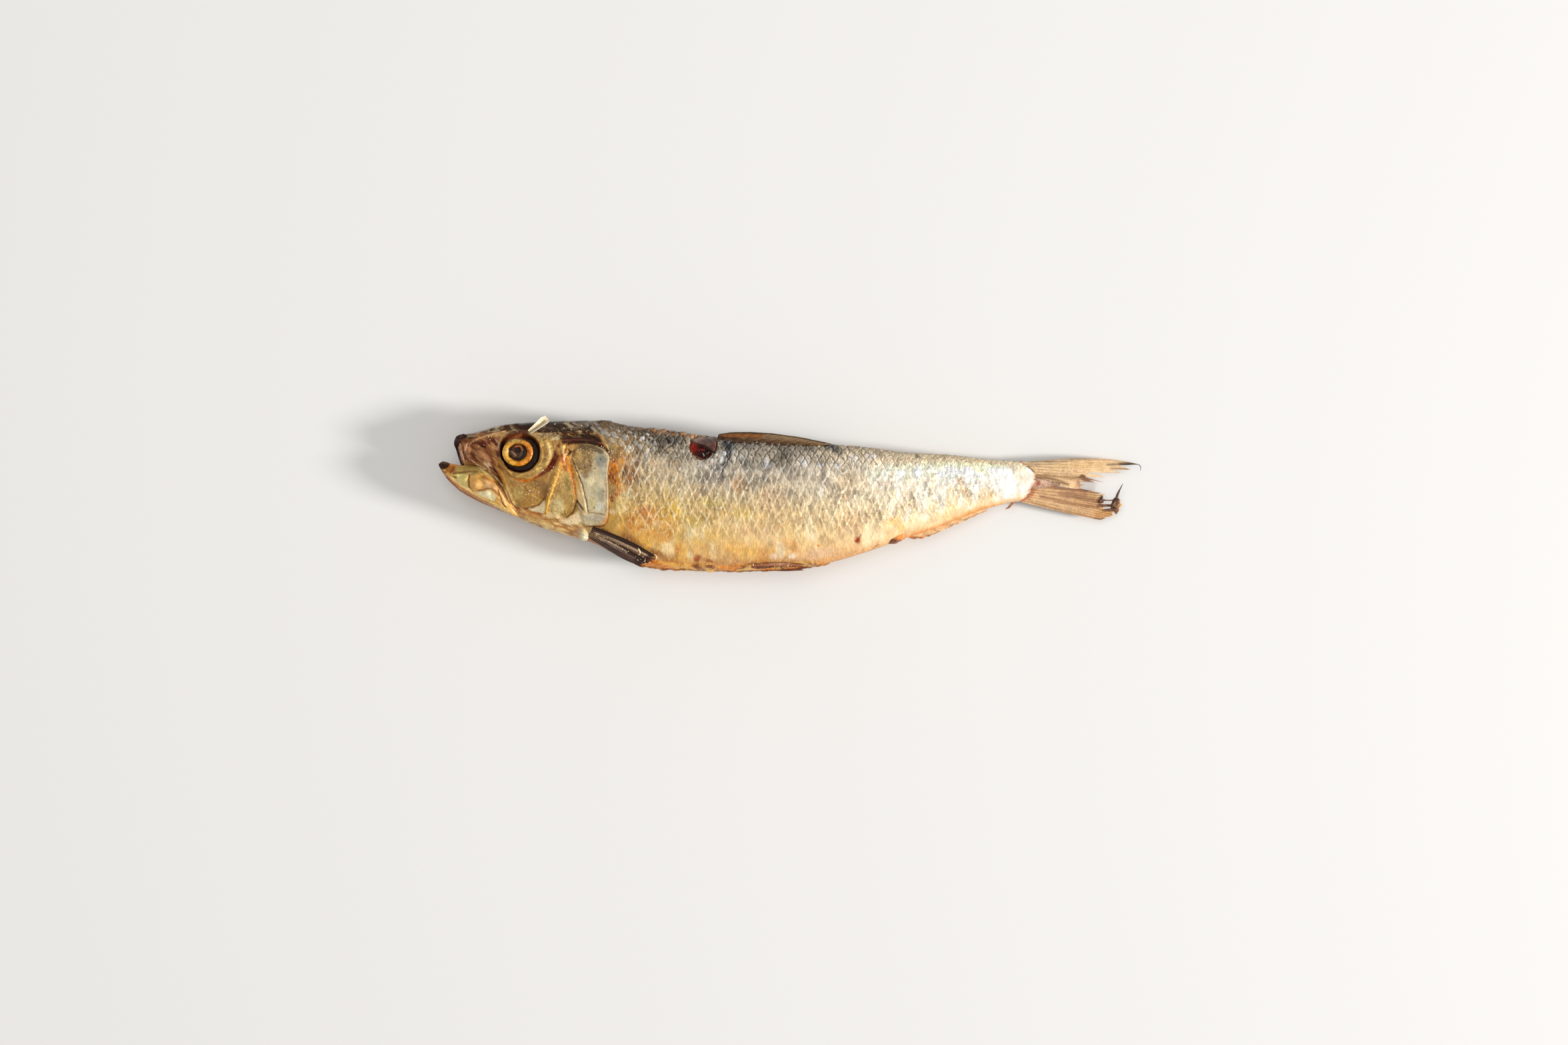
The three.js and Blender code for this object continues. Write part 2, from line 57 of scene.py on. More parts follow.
# Outline of the flesh, as (x, y), without fins.
BACK = [
    (5.2, 16.6), (6.3, 17.9), (10.4, 18.6), (17.4, 20.6), (24.7, 21.7), (34.2, 22.4), (43.7, 22.6),
    (52.5, 22.3), (57.5, 21.0), (70.4, 19.4), (81.6, 17.8), (93.4, 16.5), (104, 15.9), (116, 15.4),
    (122, 15.1), (137.2, 13.8), (145, 12.7), (158.6, 12.0), (173.3, 10.4), (187, 9.9),
]
BELLY = [
    (5.2, 15.4), (6.3, 13.2), (7.6, 9.0), (12, 8.2), (15.6, 6.4), (18.5, 3.4), (20.6, -0.5), (23, -6.2),
    (26, -8.2), (31.3, -10.5), (40.4, -13.3), (48.5, -15.7), (55, -19.2), (62.8, -22.3), (72, -23.4),
    (91, -24.0), (110, -23.4), (120.2, -21.9), (137.2, -16.9), (145.2, -13.9), (153, -11.6),
    (161.5, -8.3), (171.4, -4.6), (180, -2.6), (187, -1.9),
]
HALF_THICKNESS = [
    (5.2, 1.5), (8, 2.9), (14, 4.8), (25, 7.2), (40, 8.9), (55, 9.8), (75, 10.4), (105, 10.2), (125, 9.0),
    (145, 6.9), (162, 4.7), (176, 3.0), (187, 1.6),
]
MIDDLE_HEIGHT = [
    (0, 10.4), (30, 10.2), (60, 10.0), (110, 9.9), (135, 8.6), (155, 6.4), (175, 4.5), (195, 3.6), (220, 3.2),
]
BELLY_POWER = [(5, 0.62), (30, 0.72), (60, 1.02), (120, 1.08), (187, 1.0)]
BACK_POWER = [(5, 0.55), (30, 0.6), (60, 0.72), (120, 0.78), (187, 0.85)]
BACK_HEAVINESS = 0.14  # how much thicker the back is than the belly, as a share
LOWER_JAW_TOP = [
    (0, 9.2), (1.2, 9.9), (4, 9.2), (7.7, 8.7), (12.4, 8.5), (16.5, 6.2), (20.3, 1.4), (24.5, -4.8),
    (27, -8.3),
]
LOWER_JAW_BOTTOM = [
    (0, 8.4), (1.2, 6.4), (3.2, 3.7), (7.5, 0), (12.7, -2.8), (18, -5.0), (24.5, -7.5), (27, -8.6),
]
LOWER_JAW_HALF = [(0, 0.5), (1.5, 1.6), (5, 2.9), (12, 4.6), (19, 6.0), (22.5, 5.4), (25, 3.2), (27, 0.8)]
LOWER_JAW_END = 27.0
LOWER_JAW_CELLS = (170, 160)  # along and round

HEAD_START = 5.2
# Where the head's skin ends over the flank, as (share of the way from belly to back, x).
HEAD_END = [
    (0, 46.5), (0.12, 50.2), (0.19, 52.6), (0.3, 53.5), (0.45, 53.6), (0.6, 53.3), (0.72, 53.8),
    (0.8, 53.6), (0.87, 52.2), (0.93, 49.5), (1, 46.5),
]
SHOULDER_STEP = 0.9  # how far the gill cover's rear edge stands over the flank
NAPE_SHARES = (0.8, 0.92)  # over which that step gets lower, from belly to back
HEAD_CELLS = (230, 280, 140)  # along, and round the left and the right side

FLANK_START = 44.5
FLANK_FINISH = [  # (share, x)
    (0, 181.5), (0.06, 183.2), (0.3, 185.4), (0.5, 186.5), (0.66, 186.4), (0.85, 184.3), (1, 181.8),
]
FLANK_CELLS = 430  # along
FLANK_ROWS = {1: 190, -1: 110}  # from belly to back, on the left side and on the right side
SIDE_NAMES = {1: "left", -1: "right"}
SCALES_BEGIN = (56, 60)  # x over which lips and creases come up
SCALE_LENGTHS = [  # (x, length)
    (44, 2.2), (57, 2.3), (75, 2.5), (100, 2.6), (125, 2.45), (145, 2.15), (187, 1.7),
]
SCALE_HEIGHTS = [(44, 4.8), (60, 5.2), (85, 6.0), (115, 6.2), (140, 4.9), (187, 3.0)]
SCALE_ROUNDNESS = 0.75  # 0 is a rhomb, 1 is a parabola
SCALE_RISE = 0.66
SCALE_EDGE = 0.14  # the share of a scale's length over which it rises from the one behind it

EYE = {"x": 25.3, "y": 12.5, "ball": 4.95, "tall": 0.89, "pupil": 2.85, "upright": 0.6}
EYE_CELLS = (90, 220)  # from the middle outwards, and round
HEAD_SHIFT = 0.75  # the rounded cheek brings its marks nearer to the camera, which moves them in the picture
# Powers of red, green and blue that turn the tones golden brown.
SMOKE_WARMTH = np.array((0.95, 1.05, 1.22))
CHEEK_WARMTH = np.array((0.93, 1.11, 1.34))
RING_WARMTH = np.array((1.0, 1.1, 1.3))
PUPIL_DARKNESS = 1.35


# ---------------------------------------------------------------- curves, noise and masks

def lerp(a, b, share):
    return a + (b - a) * share


def ease(value, low, high):
    """0 up to low, 1 from high on, and a smooth rise between them."""
    share = np.clip((value - low) / (high - low), 0, 1)
    return share * share * (3 - 2 * share)


def profile(points):
    """A smooth curve through (x, value) points that never overshoots them."""
    xs, values = np.array(points, float).T
    slope = np.diff(values) / np.diff(xs)
    both = slope[:-1] * slope[1:]
    inner = np.where(both > 0, 2 * both / np.where(both > 0, slope[:-1] + slope[1:], 1), 0)
    tangent = np.concatenate([slope[:1], inner, slope[-1:]])

    def at(x):
        i = np.clip(np.searchsorted(xs, x, side="right") - 1, 0, len(xs) - 2)
        width = xs[i + 1] - xs[i]
        t = np.clip((x - xs[i]) / width, 0, 1)
        smooth = values[i] + (values[i + 1] - values[i]) * t * t * (3 - 2 * t)
        return smooth + width * (t * (1 - t) ** 2 * tangent[i] + t * t * (t - 1) * tangent[i + 1])

    return at


NOISE_TABLE = 32


def noise(seed, *coordinates):
    """Smooth noise between -1 and 1 that turns over about one unit of its coordinates."""
    table = np.random.default_rng(seed).uniform(-1, 1, (NOISE_TABLE,) * len(coordinates))
    cells = [np.floor(c).astype(int) for c in coordinates]
    shares = [ease(c - cell, 0, 1) for c, cell in zip(coordinates, cells)]
    total = 0
    for corner in np.ndindex(*(2,) * len(coordinates)):
        weight = 1
        for step, share in zip(corner, shares):
            weight = weight * (share if step else 1 - share)
        total = total + weight * table[tuple((c + k) % NOISE_TABLE for c, k in zip(cells, corner))]
    return total


def layered(seed, size, *coordinates, layers=3):
    """Noise of several sizes, each half as large and half as strong as the one before."""
    total, weight = 0, 0
    for k in range(layers):
        total = total + noise(seed + k, *(c * 2**k / size for c in coordinates)) / 2**k
        weight += 1 / 2**k
    return total / weight


def warped(x, y, seed, amount, size, layers=3):
    """A place moved about by noise, so that what is painted there gets ragged edges."""
    return (x + amount * layered(seed, size, x, y, layers=layers),
            y + amount * layered(seed + 1, size, x, y, layers=layers))


def bell(offset, half):
    """1 at an offset of 0, fading to nothing over about twice the half width."""
    return np.exp(-((offset / half) ** 2))


def cos_sin(degrees):
    return math.cos(math.radians(degrees)), math.sin(math.radians(degrees))


def smooth_line(points, steps=5):
    """A Catmull-Rom curve through points of two or three values."""
    points = np.array(points, float)
    padded = np.vstack([2 * points[0] - points[1], points, 2 * points[-1] - points[-2]])
    t = np.arange(steps)[:, None] / steps
    parts = []
    for a, b, c, d in zip(padded, padded[1:], padded[2:], padded[3:]):
        squared, cubed = 2 * a - 5 * b + 4 * c - d, 3 * b - a - 3 * c + d
        parts.append(0.5 * (2 * b + (c - a) * t + squared * t**2 + cubed * t**3))
    return np.vstack([*parts, points[-1:]])


def line_distance(x, y, line, reach):
    """How far each point is from a line, up to reach, and the line's third value at the nearest place."""
    away = np.full(x.shape, float(reach))
    value = np.zeros(x.shape)
    low, high = line.min(0) - reach, line.max(0) + reach
    near = (x > low[0]) & (x < high[0]) & (y > low[1]) & (y < high[1])
    px, py, best, worth = x[near], y[near], away[near], value[near]
    for start, end in zip(line, line[1:]):
        step = end - start
        length_squared = max(step[0] ** 2 + step[1] ** 2, 1e-9)
        share = ((px - start[0]) * step[0] + (py - start[1]) * step[1]) / length_squared
        share = np.clip(share, 0, 1)
        gap = np.hypot(px - start[0] - share * step[0], py - start[1] - share * step[1])
        closer = gap < best
        best = np.where(closer, gap, best)
        if len(start) > 2:
            worth = np.where(closer, start[2] + share * step[2], worth)
    away[near], value[near] = best, worth
    return away, value


def stroke(x, y, points, soft=0.4):
    """A mask along a line of (x, y, half width); soft is how far it fades."""
    reach = max(half for _, _, half in points) + soft
    away, half = line_distance(x, y, smooth_line(points), reach)
    return 1 - ease(away, half - soft * 0.5, half + soft)


def area_depth(x, y, outline, reach):
    """How deep each point lies in a closed outline, up to reach; negative outside."""
    line = smooth_line([*outline, outline[0]])
    away, _ = line_distance(x, y, line, reach)
    inside = np.zeros(x.shape, bool)
    for (x0, y0), (x1, y1) in zip(line, line[1:]):
        if y0 != y1:
            crossing = ((y0 > y) != (y1 > y)) & (x < (x1 - x0) * (y - y0) / (y1 - y0) + x0)
            inside ^= crossing
    return np.where(inside, away, -away)


def area(x, y, outline, soft=0.5):
    return ease(area_depth(x, y, outline, soft + 0.1), -soft, soft)


def spot(x, y, centre, radii, turn=0.0, soft=0.6):
    """An elliptic mask; soft is the share of its radius over which it fades."""
    c, s = cos_sin(turn)
    dx, dy = x - centre[0], y - centre[1]
    along, across = (dx * c + dy * s) / radii[0], (dy * c - dx * s) / radii[1]
    return 1 - ease(np.hypot(along, across), 1 - soft, 1 + soft * 0.4)


def rgb(red, green, blue):
    """The linear colour of an sRGB colour whose values run from 0 to 255."""
    s = np.array([red, green, blue]) / 255
    return np.where(s <= 0.04045, s / 12.92, ((s + 0.055) / 1.055) ** 2.4)


def one_tone(shape, colour):
    """A tone of one colour for every point of a shape, to be painted on."""
    return np.full((*shape, 3), rgb(*colour))


def paint(tone, mask, colour, strength):
    """Lays a colour over tone where the mask is, in place."""
    cover = (np.clip(mask, 0, 1) * strength)[..., None]
    tone += (rgb(*colour) - tone) * cover


def paint_all(tone, x, y, paints):
    """Lays on a list of (colour, strength, kind, place, rest) in order.

    The rest is the softness of an area or a stroke, or the radii, turn and softness of a spot.
    """
    for colour, strength, kind, place, *rest in paints:
        if kind == "area":
            mask = area(x, y, place, *rest)
        elif kind == "stroke":
            mask = stroke(x, y, place, *rest)
        else:
            mask = spot(x, y, place, *rest)
        paint(tone, mask, colour, strength)


# ---------------------------------------------------------------- the form of the flesh

back, belly = profile(BACK), profile(BELLY)
half_thickness, middle = profile(HALF_THICKNESS), profile(MIDDLE_HEIGHT)
belly_power, back_power = profile(BELLY_POWER), profile(BACK_POWER)
head_end = profile(HEAD_END)


def fullness(x, share):
    """Half of the thickness at x, at a share of the way from belly to back."""
    round_form = 2 * np.sqrt(np.maximum(share * (1 - share), 0))
    power = lerp(belly_power(x), back_power(x), share)
    return half_thickness(x) * round_form**power * (1 + BACK_HEAVINESS * (share - 0.5))


def share_of(angle):
    return (1 - np.cos(angle)) / 2


def skin_points(x, angle, lift):
    """Points on the skin at an angle round the body from the belly over the left side, raised by lift."""
    share = share_of(angle)
    across = np.sin(angle)
    y = lerp(belly(x), back(x), share) - lift * np.cos(angle)
    z = middle(x) + np.sign(across) * fullness(x, share) + lift * across
    return np.stack([x, y, z], -1)


BELLY_EDGE, BACK_EDGE = (0.005, 0.05), (0.93, 0.995)  # shares over which the skin turns over


def carried_over(x, y, share, points):
    """The place in the painting of the side, moved about by the depth where skin turns over the edges."""
    z = points[..., 2]
    over = ease(share, *BACK_EDGE) + (1 - ease(share, *BELLY_EDGE))
    inward = np.sign(0.5 - share) * (1.2 + 1.2 * layered(36, 3.0, x * 0.5, z))
    return x + over * 4.5 * layered(37, 3.0, x * 0.6, z), y + over * inward


def skin_height(x, y, side=1):
    """The height of the flesh at (x, y), kept short of its edges, where it would stand upright."""
    share = np.clip((y - belly(x)) / (back(x) - belly(x)), 0.004, 0.996)
    return middle(x) + side * fullness(x, share)


def flatten(points):
    """The table presses the underside flat."""
    points[..., 2] = np.maximum(points[..., 2], 0.0)
    return points


def standing(x, y, side, level):
    """The matrix that stands a form's own +Z square on the skin at (x, y); level draws it upright."""
    step = 1.5
    rise_x = (skin_height(x + step, y, side) - skin_height(x - step, y, side)) / (2 * step)
    rise_y = (skin_height(x, y + step, side) - skin_height(x, y - step, side)) / (2 * step)
    normal = Vector((-rise_x, -rise_y, 1)).normalized() * side
    normal = normal.lerp(Vector((0, 0, side)), level).normalized()
    turn = Vector((0, 0, 1)).rotation_difference(normal).to_matrix().to_4x4()
    return Matrix.Translation((x, y, skin_height(x, y, side))) @ turn


# ---------------------------------------------------------------- meshes

def grid_faces(columns, rows, closed=False):
    """Quads over a grid of points[column][row]; closed joins the last row to the first."""
    i, j = np.meshgrid(np.arange(columns - 1), np.arange(rows if closed else rows - 1), indexing="ij")
    after = (j + 1) % rows
    here, beyond = i * rows, (i + 1) * rows
    return np.stack([here + j, here + after, beyond + after, beyond + j], -1).reshape(-1, 4)


def fan_faces(ring, hub, turned=False):
    """Triangles from a ring of point numbers to one hub."""
    following = np.roll(ring, -1)
    order = (following, ring) if turned else (ring, following)
    return np.stack([*order, np.full(len(ring), hub)], -1)


# The highest skin is pressed a little flatter, to stay within the model's height.
SETTLED_FROM, SETTLED_SHARE = 19.4, 0.42


def make_piece(name, points, faces, material, slot="skin", node="fish", smooth=True, **attributes):
    """An object from points in fish coordinates, which rides on the body and stands for a node."""
    mesh = bpy.data.meshes.new(name)
    points = points.reshape(-1, 3).copy()
    over = np.clip(points[:, 2] - SETTLED_FROM, 0, None)
    points[:, 2] -= SETTLED_SHARE * over
    placed = (points + SHIFT) * MM
    mesh.vertices.add(len(placed))
    mesh.vertices.foreach_set("co", placed.ravel())
    faces = [np.asarray(part) for part in faces]
    corners = np.concatenate([part.ravel() for part in faces])
    sizes = np.concatenate([np.full(len(part), part.shape[1]) for part in faces])
    mesh.loops.add(len(corners))
    mesh.loops.foreach_set("vertex_index", corners)
    mesh.polygons.add(len(sizes))
    mesh.polygons.foreach_set("loop_start", np.cumsum(sizes) - sizes)
    mesh.update(calc_edges=True)
    mesh.validate()
    mesh.polygons.foreach_set("use_smooth", np.full(len(mesh.polygons), smooth))
    for key, values in attributes.items():
        values = np.asarray(values, float)
        if values.shape[-1] == 3 and values.size == placed.size:
            kind, field = "FLOAT_COLOR", "color"
            values = np.concatenate([values.reshape(-1, 3), np.ones((len(placed), 1))], 1)
        else:
            kind, field = "FLOAT", "value"
        mesh.attributes.new(key, kind, "POINT").data.foreach_set(field, values.ravel())
    mesh.materials.append(material)
    piece = bpy.data.objects.new(name, mesh)
    bpy.context.scene.collection.objects.link(piece)
    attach(piece, "root")
    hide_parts(node)
    return piece


def slab(upper, lower):
    """Points and faces of a closed solid between two grids of points[column][row]."""
    columns, rows = upper.shape[:2]
    count = columns * rows
    top = grid_faces(columns, rows)
    number = np.arange(count).reshape(columns, rows)
    rim = np.concatenate([number[:-1, 0], number[-1, :-1], number[:0:-1, -1], number[0, :0:-1]])
    following = np.roll(rim, -1)
    wall = np.stack([rim, following, following + count, rim + count], -1)
    points = np.concatenate([upper.reshape(-1, 3), lower.reshape(-1, 3)])
    return points, [top[:, ::-1], top + count, wall[:, ::-1]]


def tube(line, sides, seed, rough=0.35):
    """Points and faces of a closed, uneven tube along a line of (x, y, z, radius)."""
    line = smooth_line(line, 8)
    centre, radius = line[:, :3], line[:, 3:]
    along = np.gradient(centre, axis=0)
    along /= np.linalg.norm(along, axis=1, keepdims=True)
    across = np.cross(along, (0.0, 0.0, 1.0))
    across /= np.linalg.norm(across, axis=1, keepdims=True)
    upright = np.cross(across, along)
    turn = np.arange(sides) / sides * 2 * np.pi
    radius = radius * (1 + rough * layered(seed, 1.2, *np.broadcast_arrays(centre[:, :1], turn * 1.5)))
    rings = (centre[:, None] + (radius * np.cos(turn))[..., None] * across[:, None]
             + (radius * np.sin(turn))[..., None] * upright[:, None])
    count = len(line) * sides
    points = np.concatenate([rings.reshape(-1, 3), centre[:1], centre[-1:]])
    ends = np.arange(sides)
    faces = [grid_faces(len(line), sides, closed=True), fan_faces(ends, count),
             fan_faces(ends + count - sides, count + 1, turned=True)]
    return points, faces


def lump(centre, radii, seed, rough, grain, cells=(36, 48)):
    """Points and faces of a closed, uneven ellipsoid."""
    turns = np.arange(cells[1]) / cells[1] * 2 * np.pi
    polar, turn = np.meshgrid(np.linspace(0, np.pi, cells[0]), turns, indexing="ij")
    ball = np.stack([np.sin(polar) * np.cos(turn), np.sin(polar) * np.sin(turn), np.cos(polar)], -1)
    size = 1 + rough * layered(seed, grain, *np.moveaxis(ball * radii, -1, 0))
    points = np.array(centre) + ball * np.array(radii) * size[..., None]
    points[0], points[-1] = points[0].mean(0), points[-1].mean(0)
    return points.reshape(-1, 3), [grid_faces(*cells, closed=True)]


def joined(forms):
    """One set of points and faces from several."""
    points, faces, count = [], [], 0
    for form_points, form_faces in forms:
        points.append(form_points)
        faces += [part + count for part in form_faces]
        count += len(form_points)
    return np.concatenate(points), faces


# ---------------------------------------------------------------- scales

def free_edge(offset):
    """How far a scale's rear edge reaches past its middle, at an offset above or below it."""
    return 0.5 - lerp(np.abs(offset), 2 * offset**2, SCALE_ROUNDNESS)


STATIONS = np.linspace(40, 190, 600)  # along the body, where the lengths of the scales are summed up
FIRST_ROW = 40  # the number of the row on the middle line, so that all rows are positive


def scale_lattice(x, y, around):
    """Each point's place in the net of scales: lengths along the body, and heights off its middle line."""
    lengths = np.cumsum((STATIONS[1] - STATIONS[0]) / profile(SCALE_LENGTHS)(STATIONS))
    u = np.interp(x, STATIONS, lengths)
    v = around * (back(x) - belly(x)) / 2 / profile(SCALE_HEIGHTS)(x) + FIRST_ROW
    u, v = u + 0.08 * layered(61, 7, x, y), v + 0.10 * layered(62, 7, x, y)
    return u + 0.27 * noise(59, u * 0.9, v * 0.9), v + 0.2 * noise(60, u * 0.9, v * 0.9)


def scale_depth(u, v):
    """How far each place of the lattice lies in from the rear edge of the scale that covers it."""
    def candidate(column):
        stagger = column % 2 / 2
        offset = v - stagger - np.round(v - stagger)
        return free_edge(offset) - (u - column / 2)

    column = np.floor(2 * u)
    first = candidate(column)
    return np.where(first >= 0, first, candidate(column + 1))


# ---------------------------------------------------------------- node materials

SKIN_IOR = 1.45
NOISE_MIDDLE = (0.3, 0.7)  # nearly all values of Blender's noise lie between these
CHARRED = 0.12  # a tone as dark as this is charred and dull
BASE_COAT = 0.15
SPECULAR = 0.2


class Shader:
    """A node material, with a short call for each kind of node."""

    def __init__(self, name):
        self.material = bpy.data.materials.new(name)
        self.material.use_nodes = True
        self.tree = self.material.node_tree
        self.surface = self.tree.nodes["Principled BSDF"]

    def node(self, kind, inputs=(), **settings):
        """A new node with its settings made and its inputs filled or linked."""
        made = self.tree.nodes.new(kind)
        for key, value in settings.items():
            setattr(made, key, value)
        for socket, value in inputs:
            self.put(made.inputs[socket], value)
        return made

    def put(self, socket, value):
        """Links a socket to another, or gives it a plain value."""
        if isinstance(value, bpy.types.NodeSocket):
            self.tree.links.new(value, socket)
        else:
            socket.default_value = value

    def math(self, operation, *values, clamp=False):
        inputs = list(enumerate(values))
        return self.node("ShaderNodeMath", inputs, operation=operation, use_clamp=clamp).outputs[0]

    def attribute(self, name):
        return self.node("ShaderNodeAttribute", attribute_name=name).outputs

    def span(self, value, low, high, to_low=0.0, to_high=1.0):
        inputs = [(0, value), (1, low), (2, high), (3, to_low), (4, to_high)]
        return self.node("ShaderNodeMapRange", inputs, interpolation_type="SMOOTHSTEP").outputs[0]

    def mix(self, share, a, b, blend="MIX"):
        def colour(value):
            return (*value, 1.0) if isinstance(value, (tuple, np.ndarray)) else value

        inputs = [(0, share), (6, colour(a)), (7, colour(b))]
        return self.node("ShaderNodeMix", inputs, data_type="RGBA", blend_type=blend).outputs[2]

    def noise(self, size, detail, stretch=(1, 1, 1), roughness=0.55):
        """Noise with grains of about size mm, stretched along the axes."""
        place = self.node("ShaderNodeTexCoord").outputs["Object"]
        factors = tuple(1 / s for s in stretch)
        scale = self.node("ShaderNodeVectorMath", [(0, place), (1, factors)], operation="MULTIPLY")
        inputs = [("Vector", scale.outputs[0]), ("Scale", 1 / (size * MM)), ("Detail", detail),
                  ("Roughness", roughness)]
        return self.node("ShaderNodeTexNoise", inputs).outputs["Fac"]

    def varied(self, size, low, high, detail=3, stretch=(1, 1, 1), roughness=0.55):
        """Noise that runs from low to high."""
        return self.span(self.noise(size, detail, stretch, roughness), *NOISE_MIDDLE, low, high)

    def bump(self, height, distance):
        inputs = [("Height", height), ("Distance", distance * MM), ("Strength", 1.0)]
        self.put(self.surface.inputs["Normal"], self.node("ShaderNodeBump", inputs).outputs[0])

    def gloss(self, coat, coat_roughness=0.2):
        """A thin coat of fat, which is missing where the tone is dark: charred and torn skin is dull."""
        shine = self.span(self.attribute("tone")["Fac"], 0.0, CHARRED, 0.0, 1.0)
        self.put(self.surface.inputs["Coat Weight"], self.math("MULTIPLY", shine, coat + BASE_COAT))
        self.surface.inputs["Specular IOR Level"].default_value = SPECULAR
        self.surface.inputs["Coat Roughness"].default_value = coat_roughness

    def set(self, **values):
        for key, value in values.items():
            name = "IOR" if key == "ior" else key.replace("_", " ").title()
            self.put(self.surface.inputs[name], value)


def tone_with_grain(shader, contrast):
    """The painted tone, broken up by fine and broad grain."""
    fine = shader.varied(0.5, 1 - contrast, 1 + contrast * 0.55, 4)
    broad = shader.varied(2.6, 1 - contrast * 0.5, 1 + contrast * 0.3)
    grain = shader.math("MULTIPLY", fine, broad)
    return shader.mix(1.0, shader.attribute("tone")["Color"], grain, "MULTIPLY")


def head_material():
    """Smooth skin over bone: more gloss where the head's "gloss" attribute asks for it."""
    shader = Shader("head_skin")
    shader.set(base_color=tone_with_grain(shader, 0.2), metallic=0.0, ior=SKIN_IOR)
    gloss = shader.attribute("gloss")["Fac"]
    rough = shader.varied(1.4, 0.34, 0.5)
    shader.set(roughness=shader.math("SUBTRACT", rough, shader.math("MULTIPLY", gloss, 0.18)))
    shader.gloss(0.12, 0.25)
    fine, broad = shader.noise(0.35, 3), shader.math("MULTIPLY", shader.noise(1.6, 2), 1.5)
    shader.bump(shader.math("ADD", fine, broad), 0.09)
    return shader.material


def scale_material():
    """Overlapping scales: creases darkened where one lies over the next, as dark pigment and painted shade, and
    a painted highlight along each free edge.
    """
    shader = Shader("scaled_skin")
    m = shader.math
    u, v = (shader.attribute(name)["Fac"] for name in ("lattice_u", "lattice_v"))
    column = m("FLOOR", m("MULTIPLY", u, 2.0))

    def reach(step):
        """The free edge of the column step half lengths on, and its row."""
        number = m("ADD", column, step)
        stagger = m("MULTIPLY", m("FLOORED_MODULO", number, 2.0), 0.5)
        height = m("SUBTRACT", v, stagger)
        row = m("ROUND", height)
        offset = m("ABSOLUTE", m("SUBTRACT", height, row))
        bend = m("MULTIPLY", m("MULTIPLY", offset, offset), 2 * SCALE_ROUNDNESS)
        edge = m("SUBTRACT", m("SUBTRACT", 0.5, bend), m("MULTIPLY", offset, 1 - SCALE_ROUNDNESS))
        place = m("SUBTRACT", m("ADD", edge, m("MULTIPLY", number, 0.5)), u)
        return place, number, row

    first, first_number, first_row = reach(0.0)
    second, second_number, second_row = reach(1.0)
    covered = m("GREATER_THAN", first, 0.0)
    bare = m("SUBTRACT", 1.0, covered)

    def choose(a, b):
        return m("ADD", m("MULTIPLY", covered, a), m("MULTIPLY", bare, b))

    depth = choose(first, second)
    # Past the edge of the scale in front: the column before the first lies a whole length behind the second.
    gap = choose(m("SUBTRACT", 1.0, second), m("MULTIPLY", first, -1.0))
    number = choose(first_number, second_number)
    row = choose(first_row, second_row)
    which = shader.node("ShaderNodeCombineXYZ", [(0, number), (1, row), (2, 0.5)]).outputs[0]
    dice = shader.node("ShaderNodeTexWhiteNoise", [("Vector", which)], noise_dimensions="3D")
    chance = dice.outputs["Value"]

    height = m("SUBTRACT", v, m("ADD", row, m("MULTIPLY", m("FLOORED_MODULO", number, 2.0), 0.5)))
    # The lip is a painted highlight along each free edge, stronger on the part of the edge that faces the
    # light.
    towards_light = shader.span(height, -0.1, 0.2, 1.0, 0.5)
    lip_width = shader.varied(1.1, 0.12, 0.46)
    lip = m("SUBTRACT", 1.0, m("DIVIDE", depth, lip_width), clamp=True)
    broken = shader.span(shader.noise(1.3, 4), 0.38, 0.56)
    lip = m("MULTIPLY", m("MULTIPLY", lip, towards_light),
            m("MULTIPLY", shader.attribute("lip")["Fac"], broken))
    # The crease is darkened as painted shade just past the edge of the scale in front, and as dark pigment on
    # the back.
    crease = m("SUBTRACT", 1.0, m("DIVIDE", gap, shader.varied(1.7, 0.1, 0.5)), clamp=True)
    crease = m("MULTIPLY", crease, shader.attribute("crease")["Fac"])

    scaly = shader.attribute("scaly")["Fac"]
    tint = shader.span(chance, 0.0, 1.0, 0.82, 1.12)
    tint = m("ADD", 1.0, m("MULTIPLY", m("SUBTRACT", tint, 1.0), scaly))
    streaks = shader.varied(0.95, 0.62, 1.26, 5, (0.45, 1.9, 1.2), 0.62)
    mottle = shader.span(shader.noise(2.4, 4, (0.8, 1.5, 1.2)), 0.32, 0.68, 0.84, 1.1)
    streaky = m("ADD", 0.5, m("MULTIPLY", shader.attribute("pores")["Fac"], 0.65))
    streaks = m("ADD", 1.0, m("MULTIPLY", m("SUBTRACT", streaks, 1.0), streaky))
    shade = m("MULTIPLY", m("MULTIPLY", tint, streaks), mottle)
    base = shader.mix(1.0, shader.attribute("tone")["Color"], shade, "MULTIPLY")
    specks = shader.span(shader.noise(0.9, 4, (0.7, 1.5, 1.2)), 0.56, 0.68)
    pores = m("MULTIPLY", specks, shader.attribute("pores")["Fac"])
    base = shader.mix(pores, base, shader.mix(1.0, base, (0.42, 0.36, 0.3), "MULTIPLY"))
    base = shader.mix(crease, base, shader.mix(1.0, base, (0.26, 0.23, 0.2), "MULTIPLY"))
    flecks = shader.span(shader.noise(0.8, 3, (0.5, 1.5, 1.2)), 0.56, 0.7, 0.0, 0.55)
    base = shader.mix(m("ADD", lip, flecks, clamp=True), base, shader.attribute("shine")["Color"])
    rough = shader.varied(1.2, 0.26, 0.5)
    shader.set(base_color=base, roughness=rough, metallic=0.0, ior=SKIN_IOR)
    shader.gloss(0.15, 0.22)
    step = m("MULTIPLY", shader.span(gap, 0.0, 0.12, -1.0, 0.0), shader.attribute("crease")["Fac"])
    grain = m("MULTIPLY", shader.noise(0.45, 5, (0.6, 1.5, 1), 0.65),
              m("ADD", 0.5, shader.attribute("pores")["Fac"]))
    shader.bump(m("ADD", m("ADD", step, grain), m("MULTIPLY", lip, 0.8)), 0.16)
    return shader.material


